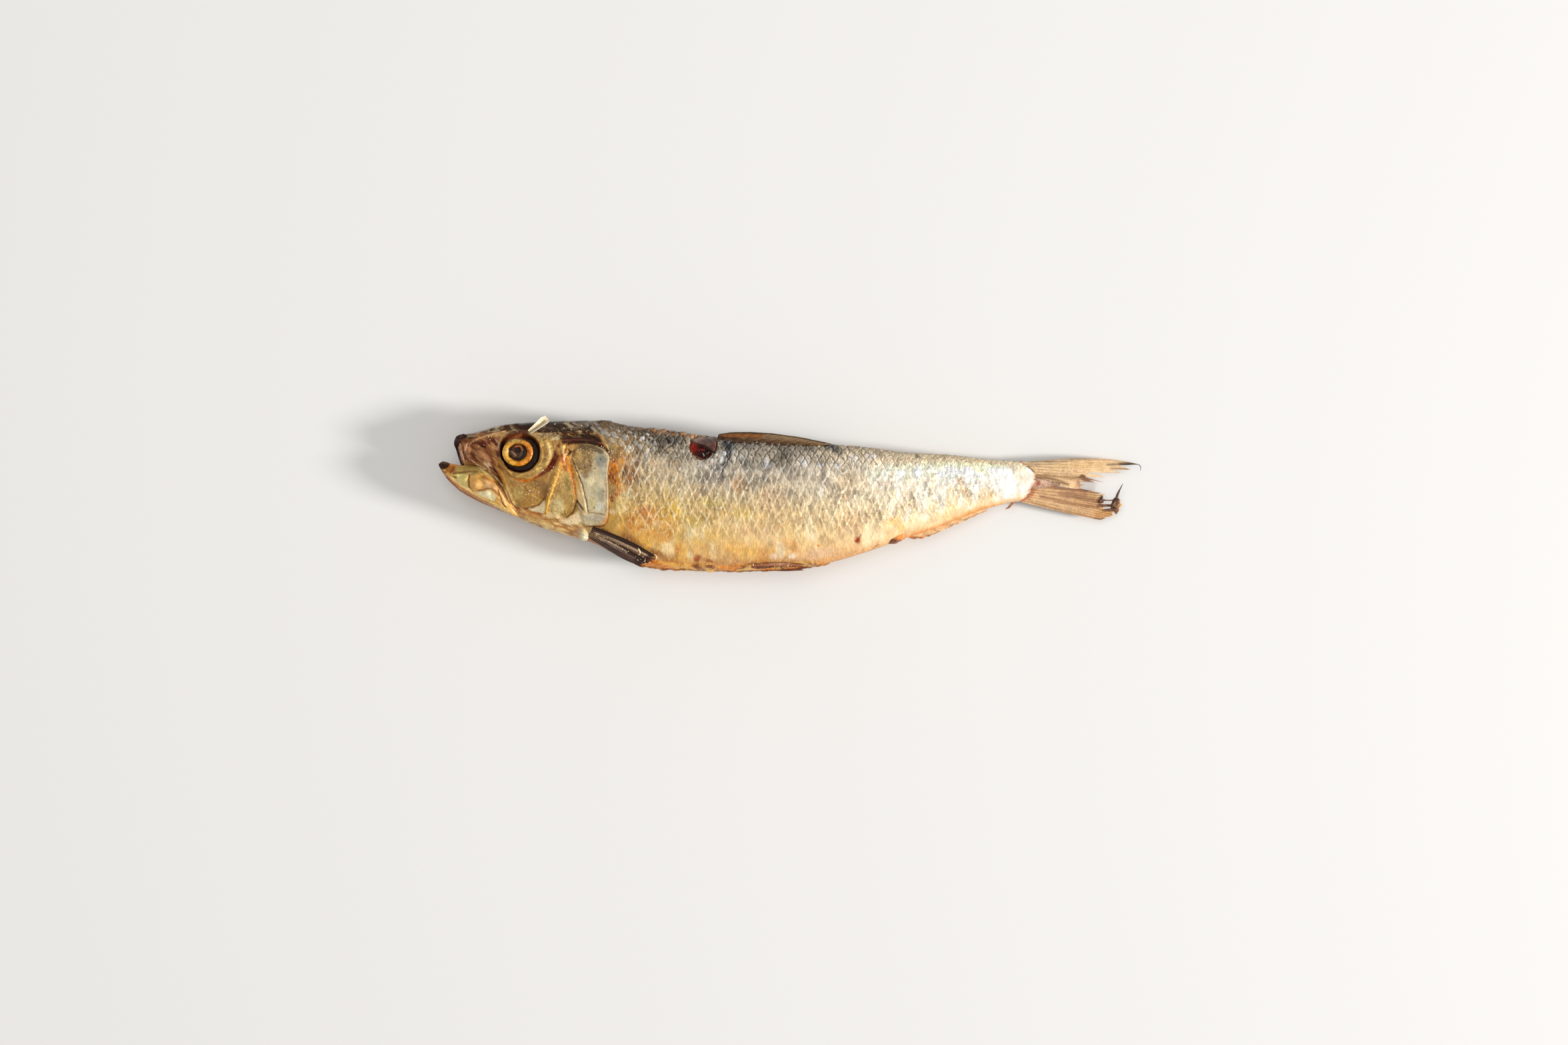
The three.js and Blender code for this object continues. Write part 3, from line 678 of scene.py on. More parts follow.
def plain_tone_material(name, roughness, coat, contrast, bump, grain=0.4):
    """A material for the smaller pieces: painted tone, grain, uneven gloss and fine bumps."""
    shader = Shader(name)
    shader.set(base_color=tone_with_grain(shader, contrast), ior=SKIN_IOR)
    shader.set(roughness=shader.varied(1.1, *roughness))
    shader.gloss(coat)
    shader.bump(shader.noise(grain, 4), bump)
    return shader.material


# ---------------------------------------------------------------- the head

PLATES = [  # rise, outline
    (0.42, [  # the gill cover
        (41.4, 11.6), (43.4, 14.5), (45.6, 15.2), (48.6, 14.7), (51.1, 13.6), (53.2, 11.4), (53.4, 9.0),
        (52.9, 4.8), (53.2, -0.8), (53.2, -5.0), (52.2, -8.4), (50.5, -9.9), (47.4, -10.2), (44.8, -9.8),
        (44.0, -6.6), (43.0, -3.2), (42.6, 2.0), (41.4, 7.5),
    ]),
    (0.22, [  # between the gill cover and the cheek
        (38.2, 7.6), (36.7, 1.4), (34.6, -4.4), (36.1, -7.6), (38.9, -7.2), (41.6, -4.8), (42.6, -1.6),
        (41.5, 3.0), (40.4, 7.8),
    ]),
    (0.3, [  # the cheek
        (20.8, 2.4), (21.6, -0.6), (22.8, -2.8), (24.4, -4.2), (27.0, -4.6), (30.2, -3.7), (32.6, -1.8),
        (34.2, 1.2), (34.9, 4.2), (34.2, 5.9), (31.3, 4.3), (27, 3.4), (23.2, 3.7),
    ]),
]
RIDGES = [  # rise, line of (x, y, half width)
    (0.8, [(38.8, 12.6, 0.6), (37.7, 7.8, 0.75), (35.8, 2.9, 0.7), (34.2, -1.7, 0.55), (33.2, -5.7, 0.45)]),
    (0.5, [(38.6, 14.6, 0.5), (37.9, 10, 0.7), (34.6, 6.2, 0.7), (29, 4.6, 0.6), (23.5, 5.2, 0.4)]),
    (0.6, [(41.9, 9.6, 0.35), (43.4, 5.2, 0.45), (44.8, 0.0, 0.5), (45.7, -5.2, 0.4)]),
    (0.5, [(21.0, 2.6, 0.3), (22.0, -0.6, 0.35), (23.2, -3.0, 0.35)]),  # folds at the corner of the mouth
    (0.4, [(19.9, 1.4, 0.25), (21.6, -2.6, 0.3), (23.6, -5.2, 0.35)]),
    (0.5, [(19.7, 10, 0.25), (21.1, 7.6, 0.3), (22.6, 5.6, 0.25)]),  # rim of the eye socket
    (0.4, [(31.4, 15.4, 0.4), (32.2, 12.6, 0.4), (31.9, 9.8, 0.4), (30.2, 7.2, 0.3)]),
    (0.3, [(33.4, 15.8, 0.5), (34.4, 13.2, 0.6), (34.4, 10.6, 0.5), (33.0, 8.0, 0.4)]),
    (0.35, [(36.4, -7.6, 0.4), (33, -7.8, 0.5), (27, -6.6, 0.4)]),
    (0.3, [(12.5, 12.6, 0.5), (14.2, 11.4, 0.6), (15.6, 9.4, 0.5)]),
    (0.35, [(11.6, 18.0, 0.3), (17, 20.0, 0.4), (24, 21.2, 0.4)]),
]
GROOVES = [  # depth, half width, line
    (0.45, 0.5, [(36.9, 14.6), (36.8, 12.2), (35.6, 9.2), (34.2, 7.2), (31.7, 5.6), (29.5, 4.2),
        (26.5, 3.8)]),
    (0.4, 0.22, [(41.5, 10.1), (43.0, 6.7), (44.7, 2.3), (45.8, -2.2), (46.2, -5.5)]),
    (0.6, 0.4, [(38.5, 15.0), (41.9, 15.7), (46.1, 15.6), (49.2, 14.9), (51.6, 13.8), (53.4, 11.4),
        (53.9, 9.0)]),
    (0.35, 0.25, [(36.2, -8.3), (38.4, -8.0), (40.6, -6.9), (42.1, -5.1), (42.9, -2.6)]),
    (0.4, 0.25, [(42.9, -2.6), (43.9, -3.6), (44.8, -5.0)]),
    (0.4, 0.28, [(23.4, -5.0), (26.4, -5.0), (29.2, -4.4), (31.6, -3.4), (33.4, -1.4)]),
    (0.25, 0.2, [(46.2, -5.8), (48.4, -6.1), (51.1, -6.6)]),
    (0.6, 0.4, [(12.9, 13.9), (13.7, 14.3)]),  # nostril
    (0.25, 0.5, [(15.6, 7.8), (17.2, 6.2), (18.9, 4.0)]),
    (0.25, 0.25, [(26.5, -7.0), (33, -8.6), (40, -10.6), (46, -12.9)]),
    (0.3, 0.5, [(20, 19.6), (30, 20.0), (40, 19.6), (46, 18.8)]),
    (0.35, 0.2, [(39.9, 11.5), (41.0, 12.5), (42.4, 13.2)]),  # the dark fork over the gill cover
    (0.35, 0.2, [(40.2, 13.6), (41.0, 12.5)]),
    (0.3, 0.3, [(20.6, 15.8), (19.4, 13.4), (19.8, 10.6)]),
]
SHOULDER_KNOB = {"x": 44.6, "y": -12.7, "radii": (1.9, 1.7), "rise": 1.3}
SOCKET_DEPTH = 1.5
SOCKET_OUTLINE = [
    (18.8, 13.6), (19.2, 15.8), (20.6, 17.6), (23.2, 18.8), (26.6, 18.7), (29.6, 17.4), (31.2, 15.0),
    (31.6, 12.2), (30.8, 9.4), (28.7, 7.1), (25.6, 6.1), (22.5, 6.8), (20.3, 8.7), (19.1, 11.2),
]

# The head's colours, as paint_all lays them on.
HEAD_PAINT = [
    # crown and nape
    ((104, 76, 62), 1.0, "area", [(4, 13), (4, 24), (60, 26), (57, 18), (50, 16.8), (40, 16.6), (33, 17.6),
        (26, 19.6), (17, 18.4), (10, 16)], 1.0),
    ((58, 46, 44), 0.85, "stroke", [(10.6, 18.3, .3), (16, 19.9, .5), (22, 21.0, .5), (29, 21.6, .4)], 0.4),
    # a pale streak along the top edge of the crown: partly a painted highlight where the light catches the top
    ((214, 204, 190), 0.9, "stroke", [(12, 19.0, .35), (18, 20.5, .45), (24, 21.3, .6), (30, 21.9, .6),
        (36, 22.2, .4)], 0.45),
    ((50, 36, 32), 0.8, "stroke", [(16, 19.0, .3), (22, 19.9, .4), (28, 20.0, .5), (31, 19.2, .4)], 0.4),
    ((72, 67, 70), 0.9, "area", [(31, 19.4), (33, 22.2), (43, 23.6), (56, 23.4), (56, 18.6), (50, 17.2),
        (44, 17.4), (36, 18.2)], 0.9),
    ((146, 132, 112), 0.85, "stroke", [(30.5, 17.8, .4), (34.0, 17.2, .8), (37, 17.2, .7),
        (41.5, 17.6, .4)], 0.6),
    ((226, 214, 184), 0.7, "stroke", [(35.6, 16.6, .3), (37.2, 17.0, .5), (38.4, 17.4, .2)], 0.4),
    ((186, 180, 174), 0.8, "stroke", [(34, 21.6, .3), (40, 21.6, .4), (45, 21.8, .5), (50, 21.6, .6),
        (54, 20.4, .6)], 0.5),
    ((132, 124, 118), 0.7, "stroke", [(38, 20.1, .2), (43, 20.2, .3), (48, 20.6, .3), (52, 20.9, .3)], 0.35),
    ((34, 30, 32), 0.9, "stroke", [(33, 19.2, .3), (38, 19.0, .7), (44, 19.2, .8), (49, 19.8, .4)], 0.45),
    ((38, 34, 37), 0.85, "stroke", [(32, 20.8, .25), (38, 20.7, .4), (44, 21.1, .3), (50, 21.5, .25)], 0.3),
    ((60, 56, 58), 0.7, "stroke", [(41, 22.5, .3), (46, 22.8, .3), (51, 22.6, .3)], 0.3),
    ((156, 148, 140), 0.75, "spot", (49.6, 20.4), (1.5, 0.9)),
    ((176, 170, 162), 0.75, "spot", (52.6, 19.0), (1.3, 1.0)),
    ((104, 98, 94), 0.7, "spot", (54.2, 17.4), (1.6, 1.2)),
    ((64, 40, 28), 0.97, "area", [(37.6, 14.8), (38.0, 18.2), (42, 19.2), (47, 18.8), (50.6, 17.0),
        (53.6, 14.2), (54.6, 10.8), (53.2, 10.2), (50.2, 13.4), (46, 14.8)], 1.1),
    ((116, 84, 60), 0.7, "stroke", [(39.4, 18.2, .15), (43.0, 18.5, .2), (47.0, 18.2, .2),
        (50.6, 17.4, .15)], 0.3),
    ((30, 20, 16), 0.85, "stroke", [(38.2, 17.4, .2), (43.0, 17.6, .3), (47.8, 17.2, .3),
        (51.6, 15.6, .2)], 0.35),
    ((134, 62, 34), 0.75, "stroke", [(38.4, 16.8, .2), (40.4, 16.2, .14), (44.4, 16.5, .1),
        (48.4, 15.9, .14), (51.8, 14.4, .2), (53.8, 11.8, .2)], 0.3),
    ((196, 164, 118), 0.85, "area", [(49.6, 18.0), (50, 18.4), (54, 18.2), (56, 15), (56, 11), (54.0, 11.2),
        (51.4, 14.6)], 0.7),
    # snout
    ((124, 80, 54), 0.95, "area", [(8, 17.6), (7.4, 13), (8.6, 9.4), (12.4, 9.2), (15, 7.6), (18.0, 6.4),
        (19.4, 9.6), (18.6, 14.6), (18, 17.0), (14, 17.4)], 0.7),
    ((200, 152, 120), 0.85, "spot", (9.6, 12.2), (0.8, 2.6)),
    # a lighter diagonal band on the snout: painted highlight
    ((190, 144, 112), 0.8, "stroke", [(12.0, 13.0, .3), (13.6, 11.8, .5), (15.0, 10.2, .7),
        (15.8, 8.6, .5)], 0.7),
    ((70, 40, 36), 0.8, "stroke", [(10.4, 12.4, .4), (11.8, 11.2, .6), (13.0, 10.2, .4)], 0.5),
    ((158, 116, 72), 0.85, "stroke", [(16.6, 14.8, .5), (17.1, 13.0, .6), (17.6, 10.6, .4),
        (18.8, 8.4, .4)], 0.5),
    ((90, 44, 24), 0.92, "stroke", [(10.8, 15.0, .4), (13.4, 15.4, .6), (15.6, 15.8, .5),
        (18.4, 16.8, .4)], 0.5),
    # the nostril: painted shade in its hollow, and a painted highlight on its rim
    ((60, 34, 32), 0.8, "stroke", [(12.4, 13.6, .3), (13.4, 14.6, .5), (14.6, 14.2, .3)], 0.35),
    ((212, 160, 144), 0.9, "spot", (13.6, 13.9), (0.45, 0.25)),
    ((66, 36, 26), 0.85, "stroke", [(18.6, 17.2, .3), (17.8, 15.4, .6), (18.3, 12.8, .5),
        (18.8, 10.4, .3)], 0.4),
    ((206, 178, 172), 0.75, "stroke", [(18.6, 15.8, .12), (18.4, 14.8, .2), (18.8, 13.8, .1)], 0.2),
    ((52, 28, 24), 0.95, "stroke", [(5.0, 15.4, .5), (5.6, 17, .7), (6.9, 17.8, .8), (8.6, 17.6, .7),
        (10.2, 17.2, .4)], 0.4),
    # a bright pink-white glint on the snout: painted highlight
    ((244, 216, 196), 0.95, "stroke", [(14.0, 9.4, .3), (15.2, 8.6, .6), (15.9, 7.4, .45)], 0.5),
    # a dark wedge under the maxilla's rim: dark brown skin with painted shade beneath the rim
    ((52, 30, 22), 0.9, "stroke", [(15.8, 7.6, .3), (17.2, 6.2, .7), (18.4, 4.8, .5), (19.4, 3.2, .2)], 0.4),
    ((186, 136, 78), 0.9, "stroke", [(17.9, 9.2, .3), (18.8, 7.2, .6), (19.7, 5.2, .7),
        (20.6, 3.2, .4)], 0.5),
    ((236, 190, 120), 0.7, "stroke", [(19.3, 6.8, .12), (20.0, 5.0, .2), (20.9, 2.8, .2)], 0.25),
    # round the eye
    ((160, 126, 78), 0.85, "stroke", [(18.9, 10.4, .5), (19.9, 8.2, .7), (21.4, 6.6, .8), (23.6, 5.4, .7),
        (27, 4.9, .6)], 0.6),
    ((178, 150, 100), 0.9, "stroke", [(22.0, 6.2, .4), (25.6, 5.4, .6), (29.0, 6.2, .7), (32.0, 8.4, .8),
        (32.6, 11.0, .7)], 0.5),
    ((222, 186, 134), 0.85, "stroke", [(19.6, 10.2, .12), (20.6, 8.4, .2), (21.6, 7.0, .2),
        (22.4, 5.9, .15)], 0.22),
    ((170, 144, 96), 0.95, "area", [(31.4, 16.4), (34.4, 16.6), (36.4, 15.4), (36.2, 11.8), (34.6, 8.4),
        (32.2, 6.6), (31.0, 8.4), (31.8, 12.0)], 0.5),
    ((220, 184, 132), 0.9, "stroke", [(33.4, 15.8, .3), (34.1, 14.2, .7), (34.8, 12.0, .7),
        (33.9, 9.2, .45)], 0.4),
    ((246, 222, 176), 0.8, "stroke", [(33.9, 15.0, .15), (34.6, 13.2, .2), (34.5, 12.0, .12)], 0.25),
    ((120, 88, 56), 0.75, "stroke", [(31.6, 15.6, .15), (32.8, 13.2, .2), (32.9, 10.6, .2),
        (31.4, 7.8, .15)], 0.25),
    ((104, 76, 50), 0.7, "stroke", [(35.4, 15.4, .12), (35.9, 13.0, .15), (35.4, 11.0, .12)], 0.2),
    # the socket painted near black: painted shade in the gap round the eyeball
    ((24, 11, 9), 0.98, "area", SOCKET_OUTLINE, 0.3),
    ((84, 44, 26), 0.85, "stroke", [(20.2, 16.8, .5), (23.4, 18.6, .7), (27.4, 18.9, .7)], 0.5),
    ((160, 98, 64), 0.8, "stroke", [(21.0, 16.9, .12), (23.2, 18.1, .16), (25.6, 18.5, .12)], 0.2),
    # painted shade in the gap below and to the right of the eyeball
    ((26, 15, 12), 0.9, "stroke", [(21.6, 8.0, .2), (25, 6.9, .5), (28.4, 8.0, .6), (30.2, 10.6, .6),
        (30.3, 14.0, .5), (28.8, 16.6, .5)], 0.4),
    # arc under the eye
    ((196, 112, 24), 0.95, "stroke", [(24.0, 4.3, .2), (26.7, 3.75, .26), (29.4, 4.2, .3),
        (31.7, 5.6, .4)], 0.3),
    ((128, 48, 18), 0.95, "stroke", [(29.6, 4.4, .15), (31.9, 5.8, .35), (34.0, 7.1, .6), (35.6, 9.0, .95),
                                     (36.7, 11.8, .8), (36.9, 14.4, .4)], 0.4),
    ((86, 24, 10), 0.8, "stroke", [(34.4, 8.0, .3), (35.7, 9.8, .5), (36.6, 12.4, .4),
        (36.9, 14.2, .3)], 0.4),
    ((190, 96, 44), 0.7, "stroke", [(37.5, 14.0, .12), (37.3, 11.0, .15), (36.4, 8.6, .12)], 0.2),
    # cheek
    ((172, 138, 90), 0.97, "area", [(20.8, 2.4), (21.6, -0.6), (22.8, -2.8), (24.4, -4.2), (27.0, -4.6),
        (30.2, -3.7), (32.6, -1.8), (34.4, 1.4), (35.6, 6.2), (33.6, 6.2), (30.8, 3.9), (26.8, 3.2),
        (23, 3.9)], 0.35),
    ((192, 172, 122), 0.75, "spot", (24.6, -0.2), (2.6, 2.6)),
    ((126, 100, 62), 0.8, "stroke", [(30.2, 2.6, .8), (32.6, 2.4, .9), (33.0, 0.2, .8),
        (32.2, -1.2, .5)], 0.9),
    ((150, 124, 76), 0.6, "spot", (28.4, 1.6), (2.4, 1.4)),
    ((232, 212, 160), 0.9, "stroke", [(20.9, 2.4, .15), (21.5, 0.0, .3), (22.4, -2.2, .35),
        (23.8, -3.8, .25)], 0.3),
    ((246, 226, 186), 0.7, "stroke", [(21.6, 0.6, .1), (22.2, -1.2, .15), (23.0, -2.6, .1)], 0.18),
    ((116, 58, 32), 0.9, "stroke", [(23.6, -4.4, .15), (26.0, -5.0, .18), (28.0, -4.7, .2), (30.6, -3.9, .2),
                                    (32.4, -2.6, .14), (33.6, -0.6, .12)], 0.22),
    ((242, 224, 194), 0.95, "area", [(27.6, -4.9), (30.4, -4.3), (32.9, -2.6), (33.1, -4.6), (32.4, -6.3),
        (29.9, -5.9)], 0.28),
    ((150, 76, 46), 0.75, "stroke", [(24.4, -4.9, .2), (27.0, -5.6, .25), (30, -6.3, .2),
        (32.6, -6.7, .16)], 0.25),
    # ridge in front of the gill cover
    ((214, 166, 90), 0.95, "stroke", [(38.4, 10.4, .35), (37.6, 7.6, .6), (35.8, 2.9, .6), (34.2, -1.7, .5),
        (33.2, -5.7, .35)], 0.35),
    ((242, 206, 134), 0.7, "stroke", [(37.6, 6.6, .1), (35.9, 2.2, .14), (34.3, -2.2, .14),
        (33.4, -5.2, .1)], 0.2),
    ((128, 84, 44), 0.75, "stroke", [(38.4, 7.4, .1), (36.8, 3.0, .14), (35.1, -1.8, .12),
        (34.1, -5.6, .1)], 0.2),
    ((178, 140, 90), 0.85, "area", [(37.4, 16), (38.2, 9.4), (40.2, 9.4), (41.4, 12), (42.0, 15.0),
        (40, 16.2)], 0.45),
    ((228, 202, 154), 0.75, "stroke", [(38.3, 14.4, .15), (38.5, 12.2, .25), (38.9, 10.2, .2)], 0.3),
    ((206, 172, 120), 0.75, "stroke", [(40.0, 14.6, .15), (40.6, 13.6, .2)], 0.3),
    ((84, 42, 24), 0.85, "stroke", [(38.9, 15.8, .3), (39.6, 14.0, .25), (39.4, 11.6, .2)], 0.3),
    ((22, 16, 13), 0.95, "stroke", [(39.7, 11.3, .12), (40.9, 12.5, .32), (42.5, 13.3, .12)], 0.2),
    ((22, 16, 13), 0.9, "stroke", [(40.3, 13.7, .1), (40.9, 12.6, .2)], 0.18),
    # between the ridge and the gill cover
    ((184, 158, 108), 0.97, "area", [(38.6, 7.6), (37.2, 3), (35.4, -2), (34.4, -5.6), (35.6, -8.2),
        (38.4, -8.0), (41.0, -6.6), (42.6, -3.8), (42.6, -0.8), (41.6, 2.6), (40.6, 7.4)], 0.35),
    ((212, 200, 164), 0.8, "spot", (37.0, -3.8), (2.4, 3.0)),
    ((148, 134, 86), 0.7, "spot", (40.2, 3.0), (1.5, 3.0)),
    ((140, 118, 72), 0.7, "stroke", [(38.0, -7.0, .4), (40.4, -5.8, .5), (41.9, -3.6, .4)], 0.6),
    ((255, 158, 40), 0.98, "stroke", [(39.4, 11.2, .4), (40.2, 9.2, 1.0), (41.1, 7.2, .7), (41.7, 4.8, .42),
                                      (42.4, 1.4, .3), (42.7, -1.6, .2)], 0.35),
    ((250, 182, 72), 0.8, "spot", (39.7, 9.2), (0.7, 1.2)),
    ((176, 92, 30), 0.85, "stroke", [(38.5, 11.4, .25), (38.7, 9.4, .35), (39.2, 7.6, .35),
        (39.8, 6.6, .2)], 0.3),
    ((190, 104, 38), 0.8, "stroke", [(41.0, 9.6, .2), (41.5, 6.6, .15), (42.0, 3.6, .15),
        (42.6, -0.4, .14)], 0.22),
    # gill cover
    ((196, 184, 158), 0.98, "area", [(41.8, 11.4), (43.6, 14.4), (45.8, 15.0), (48.6, 14.5), (51.0, 13.4),
        (52.9, 11.4), (53.1, 9.0), (52.7, 4.8), (53.0, -0.8), (52.9, -5.0), (51.9, -8.2), (50.3, -9.6),
        (47.4, -9.8), (45.0, -9.5), (44.2, -6.6), (43.2, -3.2), (42.9, 2.0), (41.9, 7.5)], 0.3),
    ((128, 106, 72), 0.92, "area", [(41.6, 11.6), (43.9, 14.6), (47.6, 14.6), (48.6, 12.6), (48.0, 9.4),
        (47.2, 6.4), (44.6, 5.6), (42.4, 8)], 0.9),
    ((80, 70, 54), 0.9, "stroke", [(44.4, 13.8, .7), (47.6, 13.6, .8), (50.4, 12.4, .6)], 0.7),
    ((190, 160, 104), 0.65, "spot", (43.6, 11.0), (1.4, 1.8)),
    ((132, 116, 96), 0.8, "spot", (45.6, 5.2), (1.4, 0.9)),
    ((118, 126, 130), 0.85, "spot", (50.4, 9.6), (2.3, 2.5)),
    ((172, 178, 174), 0.7, "spot", (51.4, 6.2), (1.2, 2.6)),
    ((140, 144, 136), 0.75, "spot", (50.4, -0.6), (1.2, 2.6)),
    ((176, 176, 154), 0.5, "spot", (48.4, 1.4), (1.7, 2.6)),
    ((226, 212, 176), 0.6, "spot", (47.4, 3.6), (1.3, 1.8)),
    ((206, 198, 178), 0.5, "spot", (50.7, 3.0), (1.0, 1.8)),
    ((206, 208, 200), 0.7, "spot", (49.8, -4.0), (1.6, 1.6)),
    ((168, 148, 126), 0.75, "stroke", [(52.2, 8.6, .4), (52.0, 4.6, .4), (52.4, -0.6, .45),
        (52.2, -5, .45)], 0.4),
    ((184, 176, 164), 0.85, "stroke", [(46.2, -7.2, .7), (48.6, -7.5, .8), (50.6, -7.8, .5)], 0.5),
    ((206, 196, 150), 0.6, "spot", (47.6, -3.2), (1.5, 1.9)),
    ((236, 204, 160), 0.92, "area", [(42.4, 5.2), (43.4, 4.4), (44.7, 0.6), (45.8, -4.4), (46.0, -6.4),
        (45.0, -6.4), (43.8, -3.4), (42.9, 0.4)], 0.3),
    ((234, 172, 84), 0.85, "stroke", [(42.0, 8.0, .12), (42.6, 5.8, .25), (43.4, 3.2, .3),
        (43.9, 0.4, .14)], 0.25),
    ((44, 26, 16), 0.97, "stroke", [(41.3, 10.6, .12), (42.1, 8.8, .18), (43.2, 6.2, .16), (44.7, 2.3, .13),
                                    (45.7, -1.9, .12), (46.2, -5.4, .08)], 0.16),
    ((112, 96, 60), 0.75, "stroke", [(46.2, -5.8, .08), (48.4, -6.1, .1), (51.1, -6.6, .08)], 0.18),
    ((84, 56, 34), 0.9, "stroke", [(36.4, -8.3, .12), (38.4, -8.0, .2), (40.6, -6.9, .2), (42.1, -5.1, .18),
        (42.9, -2.6, .15)], 0.22),
    ((66, 44, 28), 0.9, "stroke", [(42.9, -2.6, .12), (43.9, -3.6, .18), (44.8, -5.0, .14)], 0.2),
    ((34, 22, 17), 0.9, "stroke", [(38.4, 17.0, .5), (42.0, 17.3, .8), (45.6, 17.2, .8),
        (49.4, 16.2, .7)], 0.6),
    ((44, 22, 14), 0.97, "stroke", [(38.5, 15.7, .4), (41.9, 15.9, .3), (45.6, 15.7, .25), (48.8, 14.9, .3),
        (51.2, 13.9, .4), (53.2, 12.0, .4), (53.8, 10.0, .3), (53.6, 8.0, .2)], 0.28),
    ((128, 62, 38), 0.92, "stroke", [(53.7, 9, .3), (53.2, 6, .25), (53.1, 3, .2), (53.6, -1, .2),
        (53.5, -5, .2), (52.7, -8.2, .22), (50.9, -10.0, .2), (46.6, -10.3, .15)], 0.28),
    ((196, 122, 70), 0.7, "stroke", [(52.8, -4.6, .15), (52.2, -7.6, .25), (50.2, -9.4, .2)], 0.3),
    # throat
    ((212, 176, 130), 0.92, "area", [(22.8, -5.2), (26.6, -5.6), (30.4, -6.9), (35.4, -8.7), (39.6, -8.2),
        (43.4, -6), (44.6, -10), (47, -11.4), (47, -16), (36, -13.4), (26, -9)], 0.6),
    ((250, 222, 182), 0.8, "stroke", [(31.4, -7.6, .5), (36.0, -6.6, .7), (38.4, -8.4, .6),
        (42.6, -8.4, .6)], 0.6),
    ((240, 220, 190), 0.85, "area", [(39.4, -8.4), (42.2, -6.6), (43.6, -5.8), (44.4, -9.2), (41, -10.0),
        (36.0, -9.6)], 0.6),
    ((196, 146, 100), 0.7, "stroke", [(25.4, -6.2, .3), (29.0, -6.9, .5), (33, -7.8, .4)], 0.5),
    ((170, 118, 78), 0.7, "stroke", [(28, -7.9, .15), (34, -9.4, .2), (40, -11.2, .2),
        (45, -13.6, .15)], 0.25),
    ((244, 214, 160), 0.7, "stroke", [(24.4, -6.6, .3), (29, -8.4, .4), (35, -10.4, .4),
        (41, -12.6, .3)], 0.4),
    ((138, 86, 58), 0.7, "stroke", [(24, -7.2, .15), (29, -9.2, .15), (34, -11.0, .2),
        (41, -13.4, .2)], 0.25),
    ((150, 70, 40), 0.8, "stroke", [(21.4, 0.4, .1), (22.4, -3.0, .16), (24.0, -5.3, .2)], 0.2),
    ((246, 206, 168), 0.85, "stroke", [(20.6, 0.6, .12), (21.8, -2.6, .2), (23.5, -5.2, .2)], 0.22),
    ((150, 88, 64), 0.85, "stroke", [(19.9, 0.4, .12), (21.2, -3.2, .18), (22.9, -5.7, .2)], 0.22),
    ((206, 162, 146), 0.85, "stroke", [(43.2, -10.8, .3), (42.4, -12.4, .35), (43.0, -14.2, .3),
        (44.8, -15.0, .2)], 0.3),
    ((242, 232, 198), 0.97, "spot", (44.7, -12.6), (1.8, 1.6)),
    ((255, 252, 236), 0.8, "spot", (45.0, -12.3), (0.8, 0.7)),
    ((214, 190, 146), 0.8, "stroke", [(46.8, -12.0, .4), (48.2, -13.8, .5), (50.4, -15.8, .4)], 0.5),
]
HEAD_FLECKS = [
    (50.3, 10.1), (48.6, 7.4), (45.6, 7.6), (46.9, 9.4), (44.2, 9.2), (48.3, -4.4), (51.2, 0.5),
    (47.2, 8.2), (42.9, 10.2), (43.8, 7.4), (33.0, 10.4),
]
# The values of the noise between which a wrinkle or a grain of grit comes up.
WRINKLE_CONTRAST, GRIT_CONTRAST = (0.08, 0.5), (0.15, 0.55)
# Fine wrinkles: outline, direction in degrees, size across, light and dark colour, strength.
WRINKLES = [
    ([(8, 17), (8, 11), (12, 9), (16, 6.6), (19, 5), (19.6, 9), (18.6, 17), (13, 18)], -42, 0.8,
        (206, 156, 124), (60, 30, 20), 0.7),
    ([(4, 17), (10, 19), (20, 22), (32, 24), (58, 26), (58, 19), (46, 17.8), (34, 17.8), (24, 18.8),
        (14, 17)], 5, 0.7, (190, 174, 152), (34, 24, 22), 0.75),
    ([(22, -4), (28, -5.4), (36, -8), (44, -9.4), (48, -12), (48, -17), (36, -14), (24, -9)], -22, 0.8,
        (250, 222, 168), (150, 96, 58), 0.6),
    ([(19, 8.6), (21, 5.4), (25, 4.6), (31, 6), (36, 10), (36, 16), (32, 17), (31, 10), (27, 6.4),
        (22, 7)], 35, 0.6, (240, 210, 150), (120, 84, 48), 0.5),
    ([(38, 15), (38, 18.6), (46, 19), (53, 16.6), (55, 11), (51, 13.6), (46, 15.4)], -8, 0.7, (92, 62, 44),
        (26, 15, 11), 0.5),
    ([(36, 16), (38, 9), (41, 8), (42, 15)], 80, 0.6, (246, 206, 140), (92, 46, 24), 0.8),
    ([(49, 19), (58, 19), (58, -12), (53.4, -10), (53.4, 10), (52, 14)], 75, 0.8, (240, 200, 130),
        (110, 60, 28), 0.6),
    ([(20, 2), (19, -2), (22, -6), (25, -6), (23, -2)], -62, 0.5, (255, 232, 190), (130, 70, 40), 0.6),
]
SANDY_PLACES = [  # outlines where dried grains cover the skin
    [(21, 3), (23, -3), (28, -4.4), (33, -1), (36, 8), (38, 9), (42, 13), (47, 15), (48.5, 9), (44, 5),
        (42, 0), (42, -4), (38, -7.6), (34, -6), (32, -3), (31, 3.6), (26, 3)],
    [(30, 19), (31.4, 16), (36, 16.4), (44, 18.2), (51, 17), (56, 10), (58, 16), (50, 19), (40, 19.4)],
]


def wrinkles(x, y):
    """For each place with wrinkles, its mask and its noise."""
    for number, (outline, direction, size, *_) in enumerate(WRINKLES):
        c, s = cos_sin(direction)
        along, across = x * c + y * s, y * c - x * s
        yield area(x, y, outline, 1.2), layered(160 + 4 * number, size, along * 0.28, across)


def head_place(x):
    """Where a place of the head stands in the lists above, which were read off the picture."""
    return x - HEAD_SHIFT * ease(x, 6, 18)


